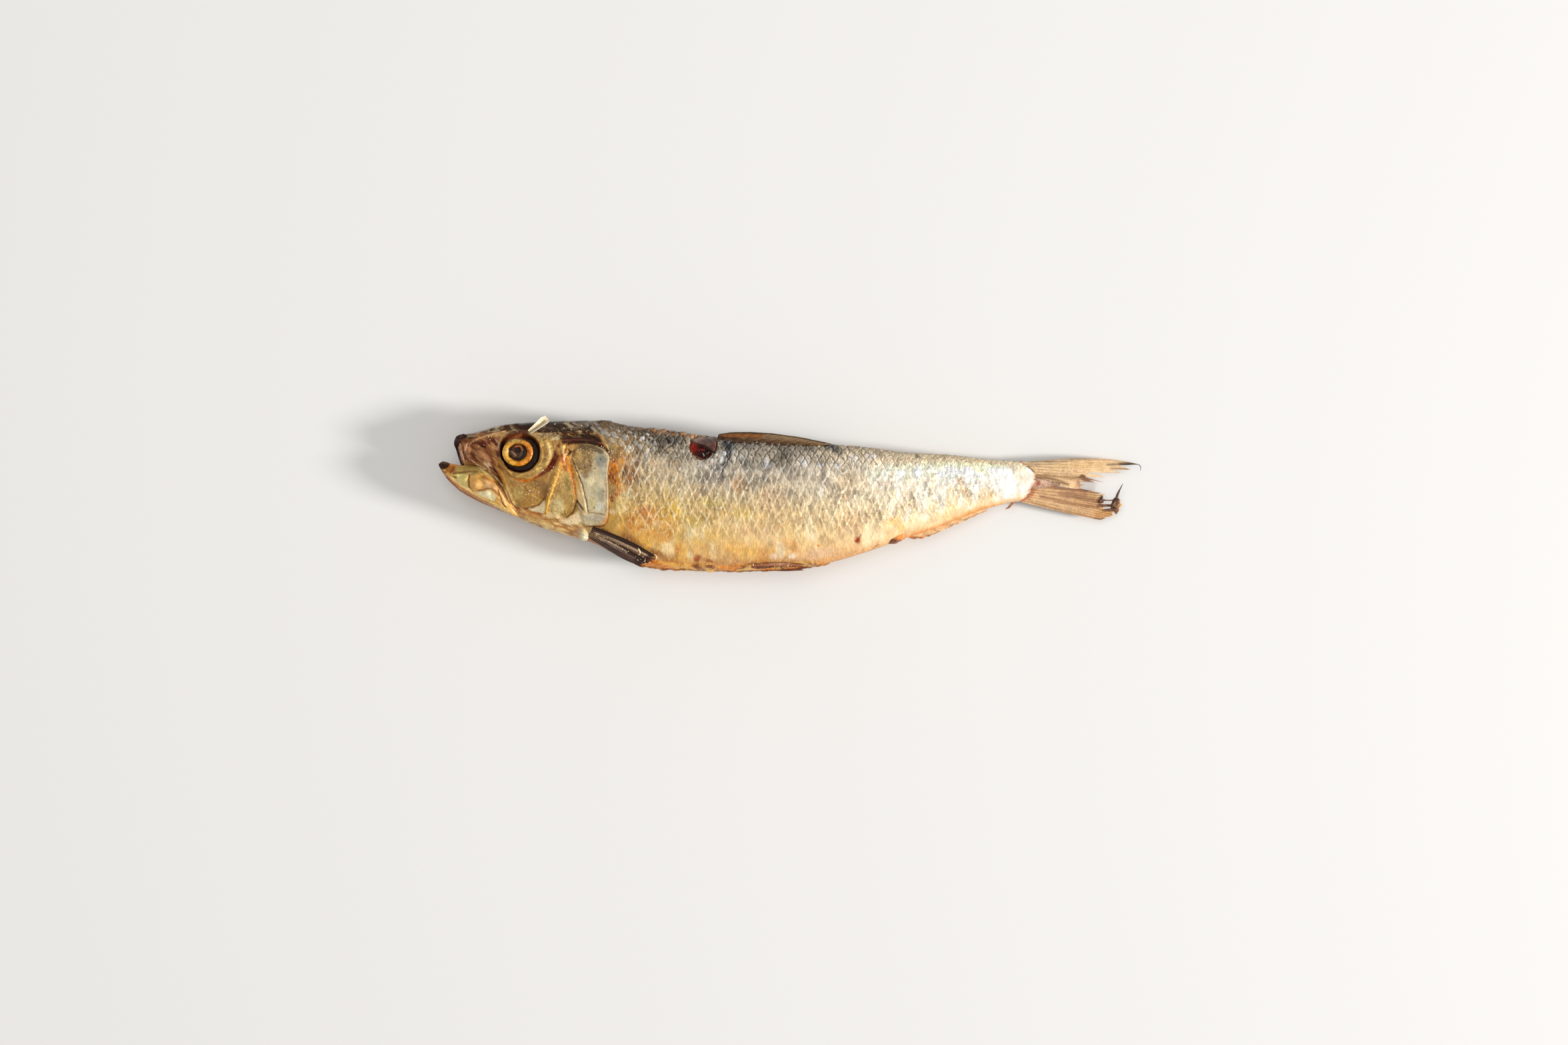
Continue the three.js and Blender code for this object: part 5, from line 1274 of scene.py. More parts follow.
# Where scales shine and lips catch the light.
SHINE = [
    (0.0, (246, 206, 140)), (0.3, (250, 226, 168)), (0.6, (250, 236, 206)), (0.8, (214, 210, 200)),
    (1.0, (170, 164, 152)),
]
FLANK_PAINT = [  # colour, strength, centre, radii, turn
    # darker back and the navy patches on it
    ((72, 68, 68), 0.6, (60, 20.4), (10, 2.2), -6),
    ((62, 62, 66), 0.85, (72.4, 16.0), (4.2, 1.3), -8),
    ((56, 56, 62), 0.7, (69.4, 14.6), (1.2, 1.3), -8),
    ((96, 90, 84), 0.35, (70, 12.6), (3.0, 1.6), -8),
    ((58, 58, 62), 0.7, (87.6, 6.4), (1.0, 3.0), 15),
    ((100, 94, 88), 0.6, (84, 4.4), (4.6, 2.6), 0),
    ((40, 44, 52), 0.95, (120.6, 14.0), (3.6, 1.1), -24),
    ((64, 62, 60), 0.7, (123.6, 12.2), (2.2, 1.0), -34),
    ((88, 84, 80), 0.5, (114, 13.4), (3.4, 1.2), -14),
    ((56, 56, 56), 0.95, (150.6, 12.1), (3.0, 0.8), -8),
    ((70, 68, 66), 0.8, (149.4, 11.0), (1.2, 0.9), -8),
    ((110, 98, 84), 0.6, (107, 9.6), (3.6, 3.0), 0),
    ((112, 104, 94), 0.6, (98, 8.4), (6.6, 2.4), 0),
    ((104, 92, 78), 0.55, (111, 6.0), (4.4, 2.4), -10),
    ((132, 118, 98), 0.5, (99, 3.6), (5.6, 2.2), 0),
    ((126, 112, 92), 0.45, (126, 5.6), (5.0, 1.8), -8),
    # painted glints: highlights of light on single scales of the back
    ((206, 208, 214), 0.7, (101.7, 9.2), (1.0, 1.7), 24),
    ((206, 212, 222), 0.75, (117.8, 8.1), (0.7, 0.9), 30),
    ((214, 218, 224), 0.6, (123.7, 8.3), (0.8, 1.0), 0),
    ((196, 200, 206), 0.55, (113.4, 9.2), (1.2, 1.6), 20),
    ((206, 206, 206), 0.5, (128.6, 10.4), (1.8, 1.5), 0),
    ((212, 212, 210), 0.5, (134.4, 11.2), (2.2, 1.5), 0),
    ((190, 186, 178), 0.5, (94, 10.6), (2.6, 1.8), 0),
    # the skin behind the gill cover
    ((176, 132, 76), 0.8, (58.0, 11.0), (3.4, 5.0), -10),
    ((150, 106, 60), 0.85, (60.2, 4.6), (2.6, 4.6), -14),
    ((206, 124, 44), 0.95, (54.9, 6.6), (1.9, 5.6), 4),
    ((240, 158, 58), 0.9, (55.2, 8.2), (0.9, 2.4), 6),
    ((236, 160, 70), 0.85, (56.5, 3.4), (1.1, 2.4), 14),
    ((120, 66, 26), 0.9, (55.5, 4.4), (0.45, 1.9), 8),
    ((214, 140, 74), 0.8, (56.8, 0.6), (1.6, 1.2), 20),
    ((156, 66, 32), 0.9, (54.5, -1.6), (1.1, 1.2), 0),
    ((176, 92, 50), 0.8, (56.3, -0.4), (1.1, 0.7), 10),
    ((108, 76, 44), 0.75, (58.4, 6.4), (0.8, 2.4), -20),
    ((92, 66, 44), 0.8, (62.3, 9.2), (1.1, 1.9), -34),
    ((206, 150, 78), 0.75, (57.8, 9.4), (1.2, 1.8), 30),
    ((214, 180, 124), 0.7, (55.6, 13.4), (2.6, 1.8), -40),
    ((222, 212, 192), 0.8, (59.4, 13.2), (0.9, 2.0), 24),
    ((250, 236, 206), 0.85, (54.6, -5.8), (1.0, 1.4), 0),
    ((246, 220, 168), 0.75, (57.0, -4.4), (2.6, 2.4), 0),
    # stains on the golden belly
    ((232, 192, 84), 0.65, (73, -5.6), (4.4, 4.2), 0),
    ((214, 176, 74), 0.6, (80, -8.2), (3.4, 3.4), 0),
    ((236, 206, 116), 0.55, (84, -3.0), (6.0, 2.2), 0),
    ((242, 206, 110), 0.6, (95, -6.4), (4.0, 2.6), 0),
    ((240, 188, 88), 0.55, (89, -12.6), (6.6, 2.6), -4),
    ((178, 104, 48), 0.75, (64.6, -5.4), (2.8, 2.0), 24),
    ((206, 132, 74), 0.55, (66.4, -7.6), (2.4, 2.0), 0),
    ((178, 96, 40), 0.85, (63.6, -11.0), (1.4, 1.0), 0),
    ((200, 120, 56), 0.6, (60.4, -9.0), (2.0, 2.4), 0),
    ((216, 156, 92), 0.5, (70.5, -13.4), (3.4, 2.2), 0),
    ((244, 220, 176), 0.7, (68.6, -9.4), (1.2, 1.8), 0),
    ((246, 226, 186), 0.7, (73.6, -6.6), (0.7, 1.0), 0),
    ((240, 218, 170), 0.5, (79.6, -12.0), (2.2, 2.4), 0),
    ((156, 74, 38), 0.95, (80.6, -20.2), (1.5, 1.1), 10),
    ((176, 92, 46), 0.8, (84.4, -21.0), (2.4, 0.7), -4),
    ((236, 176, 84), 0.6, (76, -20.6), (3.6, 0.9), -4),
    ((232, 172, 80), 0.6, (92, -16.8), (5.6, 2.2), -4),
    ((214, 150, 74), 0.5, (100.6, -18.2), (3.4, 1.7), 0),
    ((240, 202, 150), 0.5, (103.6, -13.0), (4.4, 2.6), 0),
    ((226, 168, 104), 0.6, (108.4, -15.4), (2.4, 2.2), 30),
    ((226, 152, 60), 0.85, (114.4, -19.8), (0.8, 0.7), 0),
    ((232, 206, 186), 0.7, (104.6, -19.8), (1.6, 1.1), 0),
    ((244, 226, 204), 0.7, (109.8, -19.6), (1.3, 0.8), 0),
    ((226, 186, 150), 0.6, (118, -19.0), (7.0, 1.8), 12),
    ((200, 138, 70), 0.55, (93.0, 2.2), (2.6, 2.6), 0),
    ((196, 146, 88), 0.6, (80.4, -1.4), (1.1, 2.2), 0),
    ((96, 78, 58), 0.8, (95.6, 0.8), (1.2, 1.0), 0),
    ((112, 96, 62), 0.5, (92.6, -8.8), (1.9, 1.2), -20),
    ((248, 240, 214), 0.8, (130.6, 0.8), (2.6, 2.4), -20),
    ((246, 240, 226), 0.6, (118.6, 0.4), (1.2, 2.6), 0),
    ((250, 244, 226), 0.6, (134.6, 3.6), (1.6, 2.8), 8),
    ((206, 158, 106), 0.6, (126.6, -1.4), (1.2, 1.8), 0),
    # small marks
    ((60, 40, 26), 0.95, (95.3, -12.9), (0.3, 0.28), 0),
    ((150, 44, 14), 1.0, (129.9, -14.5), (1.15, 0.95), 10),
    ((160, 60, 24), 0.95, (130.6, -13.3), (0.28, 0.9), -8),
    ((206, 110, 34), 0.95, (117.9, -16.3), (0.7, 0.5), 0),
    ((170, 100, 44), 0.8, (136.8, -16.0), (0.7, 0.4), 0),
    # the pale rear: its own pale colour, painted near white, partly standing in for the glare of the low light
    # from the right
    ((255, 252, 246), 0.95, (176.5, 3.2), (6.5, 4.6), -24),
    ((255, 251, 242), 0.85, (167, 4.2), (5.0, 3.0), 0),
    ((255, 250, 240), 0.8, (156, -0.6), (2.0, 5.6), 4),
    ((255, 250, 238), 0.6, (149.4, -2.0), (1.6, 5.4), 4),
    ((255, 248, 232), 0.6, (162.6, -2.0), (1.4, 2.8), 10),
    ((255, 250, 240), 0.8, (184.0, 1.0), (2.6, 3.0), 0),
    ((238, 188, 134), 0.7, (162.2, 3.6), (1.3, 1.5), 0),
    ((242, 204, 150), 0.5, (158.4, 0.6), (1.0, 2.2), 0),
    ((240, 206, 144), 0.6, (168.2, 6.9), (2.4, 1.2), -14),
    ((240, 204, 154), 0.55, (171.6, -2.2), (1.4, 2.2), 0),
    ((228, 156, 78), 0.75, (170.8, -4.4), (1.9, 0.8), 18),
    ((236, 196, 150), 0.5, (153.4, -9.0), (5.0, 2.2), 14),
    ((240, 190, 112), 0.75, (143.6, -10.6), (1.8, 1.8), 0),
    ((236, 180, 104), 0.6, (141.4, -8.6), (2.4, 1.6), 0),
    ((226, 146, 74), 0.6, (166, -6.0), (5.0, 0.8), 24),
    ((182, 172, 150), 0.6, (179.6, 7.6), (3.0, 1.2), -8),
    ((206, 196, 186), 0.6, (183.6, 5.8), (1.6, 1.6), 0),
    ((84, 74, 64), 0.7, (69.6, 12.4), (2.4, 1.3), -10),
    ((236, 196, 150), 0.6, (103.5, -2.0), (5.0, 5.0), 0),
    ((236, 206, 164), 0.6, (128, 2.6), (6.0, 4.4), 0),
    ((176, 160, 140), 0.5, (92.6, 8.2), (2.0, 1.6), 0),
    ((222, 170, 122), 0.5, (128, -9.0), (6.0, 4.4), 20),
    ((206, 158, 92), 0.5, (92, -10.5), (3.0, 2.0), 0),
    ((240, 200, 140), 0.5, (80.6, -5.4), (3.4, 2.6), 0),
    # shadow of the pectoral fin's root
    ((90, 66, 56), 0.9, (53.6, -13.4), (4.6, 1.4), -28),
    ((60, 40, 36), 0.9, (60.4, -16.6), (5.4, 1.3), -28),
    ((120, 90, 74), 0.7, (60.6, -14.4), (5.0, 1.2), -28),
    ((110, 74, 50), 0.7, (67.6, -18.4), (3.6, 1.4), -20),
]
# Broad mottles: colour, strength, size, stretch along y, low and high of the noise, and the shares and
# the places along x that they lie between.
MOTTLES = [
    ((206, 136, 62), 0.6, 4.6, 1.2, (0.08, 0.42), (0.02, 0.34), (58, 122)),
    ((232, 180, 84), 0.5, 3.4, 1.5, (0.0, 0.4), (0.1, 0.45), (56, 110)),
    ((250, 232, 192), 0.6, 2.6, 2.2, (0.1, 0.42), (0.08, 0.62), (56, 150)),
    ((150, 118, 78), 0.42, 2.4, 1.8, (0.12, 0.42), (0.15, 0.62), (56, 140)),
    ((104, 92, 80), 0.55, 2.6, 1.6, (0.05, 0.36), (0.56, 0.94), (56, 132)),
    ((186, 176, 160), 0.5, 2.2, 1.8, (0.12, 0.4), (0.6, 0.92), (56, 150)),
    ((236, 190, 132), 0.5, 3.4, 1.5, (0.1, 0.42), (0.05, 0.7), (130, 182)),
    ((196, 186, 166), 0.5, 2.2, 1.6, (0.1, 0.4), (0.3, 0.85), (124, 162)),
    # near-white mottles of the rear, partly painted glare
    ((255, 250, 240), 0.7, 2.6, 2.0, (0.0, 0.36), (0.12, 0.8), (138, 188)),
]
BELLY_GLOW = {"centre": (67, -9.5), "radii": (9, 6.5), "colour": (206, 140, 80), "strength": 0.45}
FLANK_AREAS = [  # colour, strength, outline, softness
    ((42, 43, 50), 0.95, [(87.9, 17.3), (91.6, 17.0), (92.2, 15.0), (91.2, 13.2), (90.9, 11.4), (89.8, 8.6),
        (88.4, 5.9), (87.9, 7.6), (89.2, 10.4), (89.6, 12.6), (88.4, 14.0), (87.8, 15.6)], 0.35),
    ((120, 118, 120), 0.6, [(89.4, 16.6), (90.8, 16.4), (90.4, 15.0), (89.3, 15.4)], 0.5),
    ((66, 64, 66), 0.7, [(84.4, 8.0), (86.4, 8.6), (87.8, 7.8), (86.6, 6.4), (84.8, 6.6)], 0.5),
    ((60, 52, 46), 0.7, [(53.4, 20.8), (57.0, 19.8), (60.4, 18.0), (64.6, 16.6), (67.4, 15.2), (68.2, 16.6),
        (66.0, 18.6), (60.6, 20.2), (55.0, 21.4)], 0.8),
    ((50, 49, 54), 0.75, [(64.4, 17.2), (68.7, 17.0), (73.4, 16.6), (75.0, 15.4), (72.4, 14.2),
        (69.6, 13.4), (66.8, 14.6)], 0.8),
]
BACK_CRUST = [(63.0, 20.0, 0.5), (68.4, 19.3, 1.0), (74.0, 18.6, 1.1), (79.0, 18.0, 1.0), (83.2, 17.6, 0.5)]
WOUND_DEPTH = 1.5
WOUND_OUTLINE = [
    (77.5, 15.6), (79.4, 17.1), (82.4, 17.7), (85.4, 17.3), (86.9, 15.4), (86.5, 13.1), (84.8, 11.2),
    (82.6, 9.9), (80.2, 10.6), (78.5, 12.4),
]


def tones_along(share, stops):
    """The tone at a share of the way from belly to back, from (share, colour) stops."""
    places = [stop for stop, _ in stops]
    colours = np.array([rgb(*colour) for _, colour in stops])
    return np.stack([np.interp(share, places, channel) for channel in colours.T], -1)


def keel_zone(x, share):
    """The ragged orange strip along the belly, from the breast fin to the folded belly fin."""
    top = 0.04 + 0.02 * layered(69, 3.0, x, share * 20)
    return (1 - ease(share, top, top + 0.01)) * ease(x, 60, 64) * (1 - ease(x, 116, 124))


def keel_ridges(x, y):
    """The noise that gives the strip along the belly both its ridges and its dark patches."""
    return layered(56, 2.4, x / 2, y * 1.5)


def flank_tone(x, y, share):
    """The painted tone of a flank: bands from belly to back, mottles, then stains and marks."""
    drift = share + 0.035 * layered(51, 14, x, y * 1.5) + 0.02 * layered(52, 3, x, y)
    drift = np.clip(drift, 0, 1)
    to_rear = ease(x + 10 * layered(53, 20, x, y), 96, 158)[..., None]
    tone = lerp(tones_along(drift, FRONT_TONES), tones_along(drift, REAR_TONES), to_rear)
    for number, (colour, strength, size, stretch, limits, shares, span) in enumerate(MOTTLES):
        field = layered(110 + number, size, x, y / stretch, layers=4)
        zone = ease(share, shares[0] - 0.06, shares[0] + 0.04)
        zone = zone * (1 - ease(share, shares[1] - 0.06, shares[1] + 0.08))
        zone = zone * ease(x, span[0] - 4, span[0] + 4) * (1 - ease(x, span[1] - 8, span[1] + 4))
        paint(tone, ease(field, *limits) * zone, colour, strength)
    warp_x, warp_y = warped(x, y, 54, 0.9, 2.6, layers=4)
    for colour, strength, centre, radii, turn in FLANK_PAINT:
        paint(tone, spot(warp_x, warp_y, centre, radii, turn, 0.65), colour, strength)
    for colour, strength, outline, soft in FLANK_AREAS:
        paint(tone, area(warp_x * 0.4 + x * 0.6, warp_y * 0.4 + y * 0.6, outline, soft), colour, strength)
    paint(tone, spot(x, y, (97, -11.5), (15, 5.5), 0, 1.0), (246, 218, 178), 0.35)
    paint(tone, spot(x, y, (100, 11), (5, 3), 0, 1.0), (196, 180, 154), 0.35)
    paint(tone, spot(warp_x, warp_y, (70, -19.6), (6, 1.8), -6, 0.8), (146, 88, 50), 0.45)
    keel = keel_zone(x, share)
    paint(tone, keel, (214, 130, 46), 0.95)
    paint(tone, keel * ease(keel_ridges(x, y), -0.12, 0.22), (112, 54, 26), 0.88)
    paint(tone, keel * ease(layered(68, 1.6, x / 2.5, y * 1.5), 0.05, 0.35), (248, 196, 106), 0.7)
    paint(tone, spot(x, y, BELLY_GLOW["centre"], BELLY_GLOW["radii"]), BELLY_GLOW["colour"],
          BELLY_GLOW["strength"])
    warmth = lerp(CHEEK_WARMTH, SMOKE_WARMTH, ease(x, 56, 68)[..., None])
    warmth = lerp(warmth, np.ones(3), ease(x, 64, 88)[..., None])
    lighter_back = 1 + 0.4 * ease(share, 0.58, 0.8) * ease(x, *SCALES_BEGIN)
    tone = np.clip(tone, 0, 1) ** warmth * lighter_back[..., None]
    edge = (1 - ease(np.minimum(share, 1 - share), 0.0, 0.02)) * ease(x, 120, 140)
    paint(tone, edge, (150, 96, 50), 0.35)
    fringe = (1 - ease(share, 0.01, 0.07)) * ease(x, 142, 150) * (1 - ease(x, 172, 178))
    paint(tone, fringe, (226, 146, 72), 0.8)
    return np.clip(tone, 0, 1)


def scale_strength(x, share):
    """How plainly the scales stand out: not at all on the smooth belly, fully on the back."""
    low = lerp(0.20, 0.08, ease(x, 100, 150))
    return ease(share, low, low + 0.24) * ease(x, 47, 52) * (1 - ease(x, 182, 187))


def make_flank(side, material):
    """The skin of one side from the gill cover to the tail, with each scale as low relief."""
    rows = FLANK_ROWS[side]
    first = 0 if side > 0 else np.pi
    along, angle = np.meshgrid(np.linspace(0, 1, FLANK_CELLS), np.linspace(first, first + np.pi, rows),
                               indexing="ij")
    share = share_of(angle)
    sideways = np.abs(np.sin(angle))  # 0 on the edges of back and belly, 1 on the middle of the side
    ragged = 0.55 * layered(57, 0.045, share, share, layers=2) * ease(sideways, 0, 0.4)
    finish = profile(FLANK_FINISH)(share) + ragged
    x = lerp(FLANK_START, finish, along)
    y = lerp(belly(x), back(x), share)
    u, v = scale_lattice(x, y, (angle if side > 0 else 2 * np.pi - angle) - np.pi / 2)
    strength = scale_strength(x, share)
    depth = scale_depth(u, v)
    size = lerp(0.6, 1.0, sideways) * ease(half_thickness(x), 0.5, 5)
    unevenness = 1 + 0.5 * layered(63, 3, x, y)
    curl = 0.5 * bell(depth - SCALE_EDGE, 0.1) * ease(layered(67, 2.2, x, y), 0.0, 0.3)
    size *= 1 - 0.6 * ease(share, 0.9, 0.97) * ease(x, 120, 150)
    lift = SCALE_RISE * strength * size * unevenness * (1 - np.clip(depth, 0, 1) + curl)
    lift *= ease(depth, 0, SCALE_EDGE)
    lift += 0.16 * layered(64, 9, x, y, layers=2) + 0.06 * layered(65, 1.6, x * 1.5, y * 0.8)
    # The first scales come out from under the head's skin.
    end = head_end(share)
    step = (SHOULDER_STEP * sideways + 0.2) * lerp(1.0, 0.3, ease(share, *NAPE_SHARES))
    lift -= step * (1 - ease(x, end - 0.3, end + 3.2)) + 0.9 * (1 - ease(x, end - 1.6, end - 0.4))
    lift += keel_zone(x, share) * (0.3 + 0.4 * keel_ridges(x, y))
    lift += stroke(x, y, BACK_CRUST, 0.8) * (0.25 + 0.45 * layered(66, 1.0, x * 0.7, y))
    if side > 0:
        pit = WOUND_DEPTH * ease(area_depth(x, y, WOUND_OUTLINE, 1.5), -0.3, 0.6)
        lift -= pit * (1 - ease(share, 0.985, 0.998))
    lift *= lerp(0.5, 1.0, ease(np.minimum(share, 1 - share), 0, 0.01))
    torn = ease(x, finish - 1.0, finish)  # the rear edge of the skin, over the root of the tail
    lift = lerp(lift, 0.25 - 0.9 * half_thickness(x) * sideways, torn**2)
    points = flatten(skin_points(x, angle, lift))
    tone = flank_tone(*carried_over(x, y, share, points), share)
    z = points[..., 2]
    over = z - middle(x) + 1.6 * layered(40, 2.6, x, z)  # the crust ends at the ridge of the back
    crust = stroke(x, y, BACK_CRUST, 0.7) * ease(over, -0.4, 1.2) * ease(layered(38, 2.2, x, z), -0.4, 0.05)
    paint(tone, crust, (206, 146, 84), 0.85)
    paint(tone, crust * ease(layered(39, 1.3, x, z), -0.1, 0.25), (112, 64, 30), 0.85)
    rim = ease(x + 0.5 * layered(58, 1.2, x, y), finish - 1.5, finish - 0.5)
    paint(tone, rim, (206, 150, 118), 0.85)
    paint(tone, torn, (150, 84, 58), 0.85)
    # Where the painted highlight along the free edges shows, and where the creases get painted shade and dark
    # pigment.
    lip = ease(share, 0.16, 0.34) * (1 - 0.55 * ease(share, 0.72, 0.86)) * ease(x, *SCALES_BEGIN)
    lip *= 1 - 0.6 * ease(x, 160, 176)
    crease = strength * lerp(0.04, 1.0, ease(share, 0.74, 0.86)) * (1 - ease(x, 120, 152) * 0.6)
    crease *= ease(x, *SCALES_BEGIN)
    pores = ease(share, 0.2, 0.5) * (1 - 0.4 * ease(x, 110, 150)) * (1 - 0.75 * ease(x, 140, 168)) * 0.75
    faces = grid_faces(FLANK_CELLS, rows)
    make_piece("flank_" + SIDE_NAMES[side], points, [faces[:, ::-1]], material, tone=tone,
               shine=tones_along(share, SHINE).reshape(-1, 3), lattice_u=u, lattice_v=v, scaly=strength,
               lip=lip, crease=crease, pores=pores)


# ---------------------------------------------------------------- loose scales

LOOSE_SCALES = [  # x, y, half length, half width, turn, colour
    (46.4, 20.9, 0.7, 0.45, -20, (150, 144, 138)), (48.2, 19.9, 0.8, 0.5, -30, (168, 160, 150)),
    (49.4, 21.3, 0.8, 0.5, -18, (186, 180, 174)), (50.4, 20.0, 0.9, 0.55, -28, (172, 164, 154)),
    (52.0, 21.4, 0.8, 0.5, -20, (140, 134, 128)), (52.9, 18.0, 1.0, 0.6, -34, (190, 176, 154)),
    (54.6, 21.0, 0.9, 0.55, -24, (176, 170, 162)), (56.2, 21.0, 0.8, 0.5, -22, (150, 144, 138)),
    (57.6, 20.4, 0.9, 0.55, -26, (190, 184, 176)), (60.2, 20.0, 0.9, 0.5, -30, (168, 162, 154)),
    (51.6, 18.8, 1.2, 0.8, -30, (176, 168, 158)), (53.4, 19.9, 1.3, 0.6, -25, (150, 142, 136)),
    (55.0, 17.9, 1.5, 0.8, -38, (206, 198, 186)), (56.7, 19.2, 1.0, 0.75, -20, (232, 226, 216)),
    (58.3, 17.1, 1.4, 0.9, -42, (196, 188, 178)), (59.4, 18.9, 1.2, 0.5, -28, (200, 190, 178)),
    (61.0, 17.4, 1.0, 0.8, -35, (206, 198, 188)), (62.4, 18.2, 0.95, 0.6, -18, (226, 216, 202)),
    (63.5, 16.7, 1.3, 0.95, -20, (240, 238, 236)), (65.3, 17.8, 1.2, 0.75, -38, (238, 234, 228)),
    (65.4, 15.6, 0.9, 1.1, -20, (214, 208, 198)), (67.2, 15.9, 1.7, 0.65, -52, (196, 190, 182)),
    (60.2, 13.9, 1.6, 0.85, -72, (244, 242, 236)), (58.8, 12.8, 1.2, 0.6, 70, (226, 206, 172)),
    (61.6, 15.3, 0.9, 0.8, -40, (190, 180, 164)), (57.2, 15.2, 1.2, 0.9, -40, (212, 192, 162)),
    (65.2, 11.8, 1.9, 0.8, 84, (236, 230, 218)), (67.2, 13.4, 1.5, 0.6, -75, (196, 190, 180)),
    (63.0, 14.0, 1.1, 0.7, -60, (206, 196, 180)), (68.4, 11.2, 1.4, 0.5, 74, (214, 206, 192)),
    (54.2, 16.2, 1.3, 0.8, -35, (206, 180, 142)), (70.4, 12.0, 1.1, 0.5, 66, (216, 206, 190)),
    (74.4, 14.0, 1.2, 0.7, 76, (222, 214, 200)), (76.2, 12.2, 1.5, 0.6, 80, (226, 220, 206)),
    # torn pale ones round the wound
    (87.4, 15.2, 1.3, 0.5, 82, (240, 228, 196)), (88.6, 12.0, 1.0, 0.85, 40, (240, 244, 248)),
    (87.9, 10.2, 1.3, 0.55, 74, (236, 238, 240)), (86.4, 11.3, 1.1, 0.6, 50, (232, 226, 206)),
    (85.1, 9.4, 1.3, 0.8, 70, (248, 246, 240)), (83.6, 7.2, 1.2, 0.65, -62, (250, 246, 236)),
    (85.9, 7.6, 0.9, 0.3, 60, (226, 220, 206)), (87.0, 6.4, 1.2, 0.22, 58, (246, 240, 220)),
    (81.9, 8.4, 0.9, 0.5, 78, (226, 220, 206)), (80.2, 9.0, 1.1, 0.5, 80, (222, 214, 200)),
    (91.6, 12.6, 1.2, 0.6, 60, (196, 192, 186)),
]
LOOSE_SCALE_DARKNESS = 0.72  # times the listed colours


def loose_scale(x, y, length, width, turn, seed):
    """A small domed plate that lies on the skin."""
    points, faces = lump((0, 0, 0), (length, width, 0.24), seed, rough=0.36, grain=0.9, cells=(14, 26))
    c, s = cos_sin(turn)
    px = x + points[:, 0] * c - points[:, 1] * s
    py = y + points[:, 0] * s + points[:, 1] * c
    return np.stack([px, py, skin_height(px, py) + 0.14 + points[:, 2]], -1), faces


def make_loose_scales(material):
    """The small dry scales that lie loose on the nape and round the wound."""
    forms, tones = [], []
    for number, (*place, colour) in enumerate(LOOSE_SCALES):
        points, faces = loose_scale(*place, 130 + number)
        tone = one_tone(points.shape[:1], colour) * LOOSE_SCALE_DARKNESS
        x, y = points[:, 0], points[:, 1]
        # Each scale is painted lighter towards its right and upper side: painted light across its dome.
        across = (x - place[0]) + (y - place[1]) * 0.7
        tone *= (0.95 + 0.3 * layered(96, 0.8, x, y) + 0.22 * across)[:, None]
        forms.append((points, faces))
        tones.append(tone)
    points, faces = joined(forms)
    make_piece("loose_scales", points, faces, material, tone=np.clip(np.concatenate(tones), 0, 1))


# ---------------------------------------------------------------- the wound

WOUND_CENTRE, WOUND_RINGS = (82.2, 14.1), 60
WOUND_DOME = [
    (77.6, 15.8), (79, 17.4), (82.4, 18.5), (85.9, 18.2), (87.1, 15.8), (86.8, 13.6), (85.8, 12.2),
    (84.4, 12.8), (82.8, 14.1), (80.4, 14.8),
]
WOUND_CLEFT = [(81.4, 11.4, 0.3), (82.8, 12.2, 0.35), (84.0, 13.2, 0.2)]
WOUND_RIM = [(77.6, 14.8, 0.3), (78.2, 13.0, 0.3), (79.6, 11.2, 0.25), (82.4, 10.2, 0.2)]


def make_wound(material):
    """A torn pit with dark flesh in it, half roofed by a dry dome of skin."""
    outline = smooth_line([*WOUND_OUTLINE, WOUND_OUTLINE[0]], 14)[:-1]
    radial = np.linspace(0, 1, WOUND_RINGS)[:, None]
    x = lerp(WOUND_CENTRE[0], outline[:, 0], radial)
    y = lerp(WOUND_CENTRE[1], outline[:, 1], radial)
    ragged = 1 + 0.05 * layered(71, 1.0, x, y) * radial
    x, y = lerp(WOUND_CENTRE[0], x, ragged), lerp(WOUND_CENTRE[1], y, ragged)
    dome = ease(area_depth(x, y, WOUND_DOME, 2.5), -0.15, 1.1)
    folds = layered(74, 1.5, x + y, (y - x) * 0.35)
    clots = 0.4 * layered(72, 1.2, x, y) + 0.16 * np.abs(layered(73, 0.6, x, y))
    lift = -0.85 + clots + dome * (1.25 - clots * 0.85 + 0.14 * folds)
    lift -= 1.2 * ease(radial, 0.9, 1.0)
    z = skin_height(x, y) + lift
    tone = one_tone(x.shape, (50, 9, 6))
    paint(tone, spot(x, y, (79.0, 13.6), (1.8, 2.6), -20), (128, 26, 12), 0.85)
    paint(tone, ease(layered(75, 1.1, x, y), 0.1, 0.5), (104, 24, 13), 0.75)
    paint(tone, ease(layered(76, 0.7, x, y), 0.35, 0.65), (150, 54, 34), 0.6)
    paint(tone, stroke(x, y, WOUND_CLEFT), (26, 8, 7), 0.9)
    paint(tone, dome, (96, 70, 63), 1.0)
    paint(tone, dome * ease(folds, 0.05, 0.45), (128, 102, 92), 0.6)
    paint(tone, dome * ease(-folds, 0.1, 0.5), (64, 40, 36), 0.65)
    # a soft painted highlight on the glossy dome
    paint(tone, dome * spot(x, y, (80.6, 16.5), (2.6, 0.8), 14), (142, 112, 98), 0.7)
    paint(tone, dome * spot(x, y, (86.3, 13.8), (0.8, 2.2), 10), (134, 62, 48), 0.75)
    paint(tone, dome * spot(x, y, (86.0, 17.6), (1.1, 0.7), -20), (70, 20, 12), 0.85)
    paint(tone, dome * (1 - ease(area_depth(x, y, WOUND_DOME, 2.5), 0.05, 0.5)), (40, 18, 14), 0.8)
    paint(tone, stroke(x, y, WOUND_RIM), (176, 104, 72), 0.6)
    tone = np.clip(tone * (1 + 0.3 * layered(77, 0.8, x, y))[..., None], 0, 1)
    points = np.stack([x, y, z], -1).reshape(-1, 3)
    faces = grid_faces(WOUND_RINGS, len(outline), closed=True)
    make_piece("wound", points, [faces], material, tone=tone)


# ---------------------------------------------------------------- fins

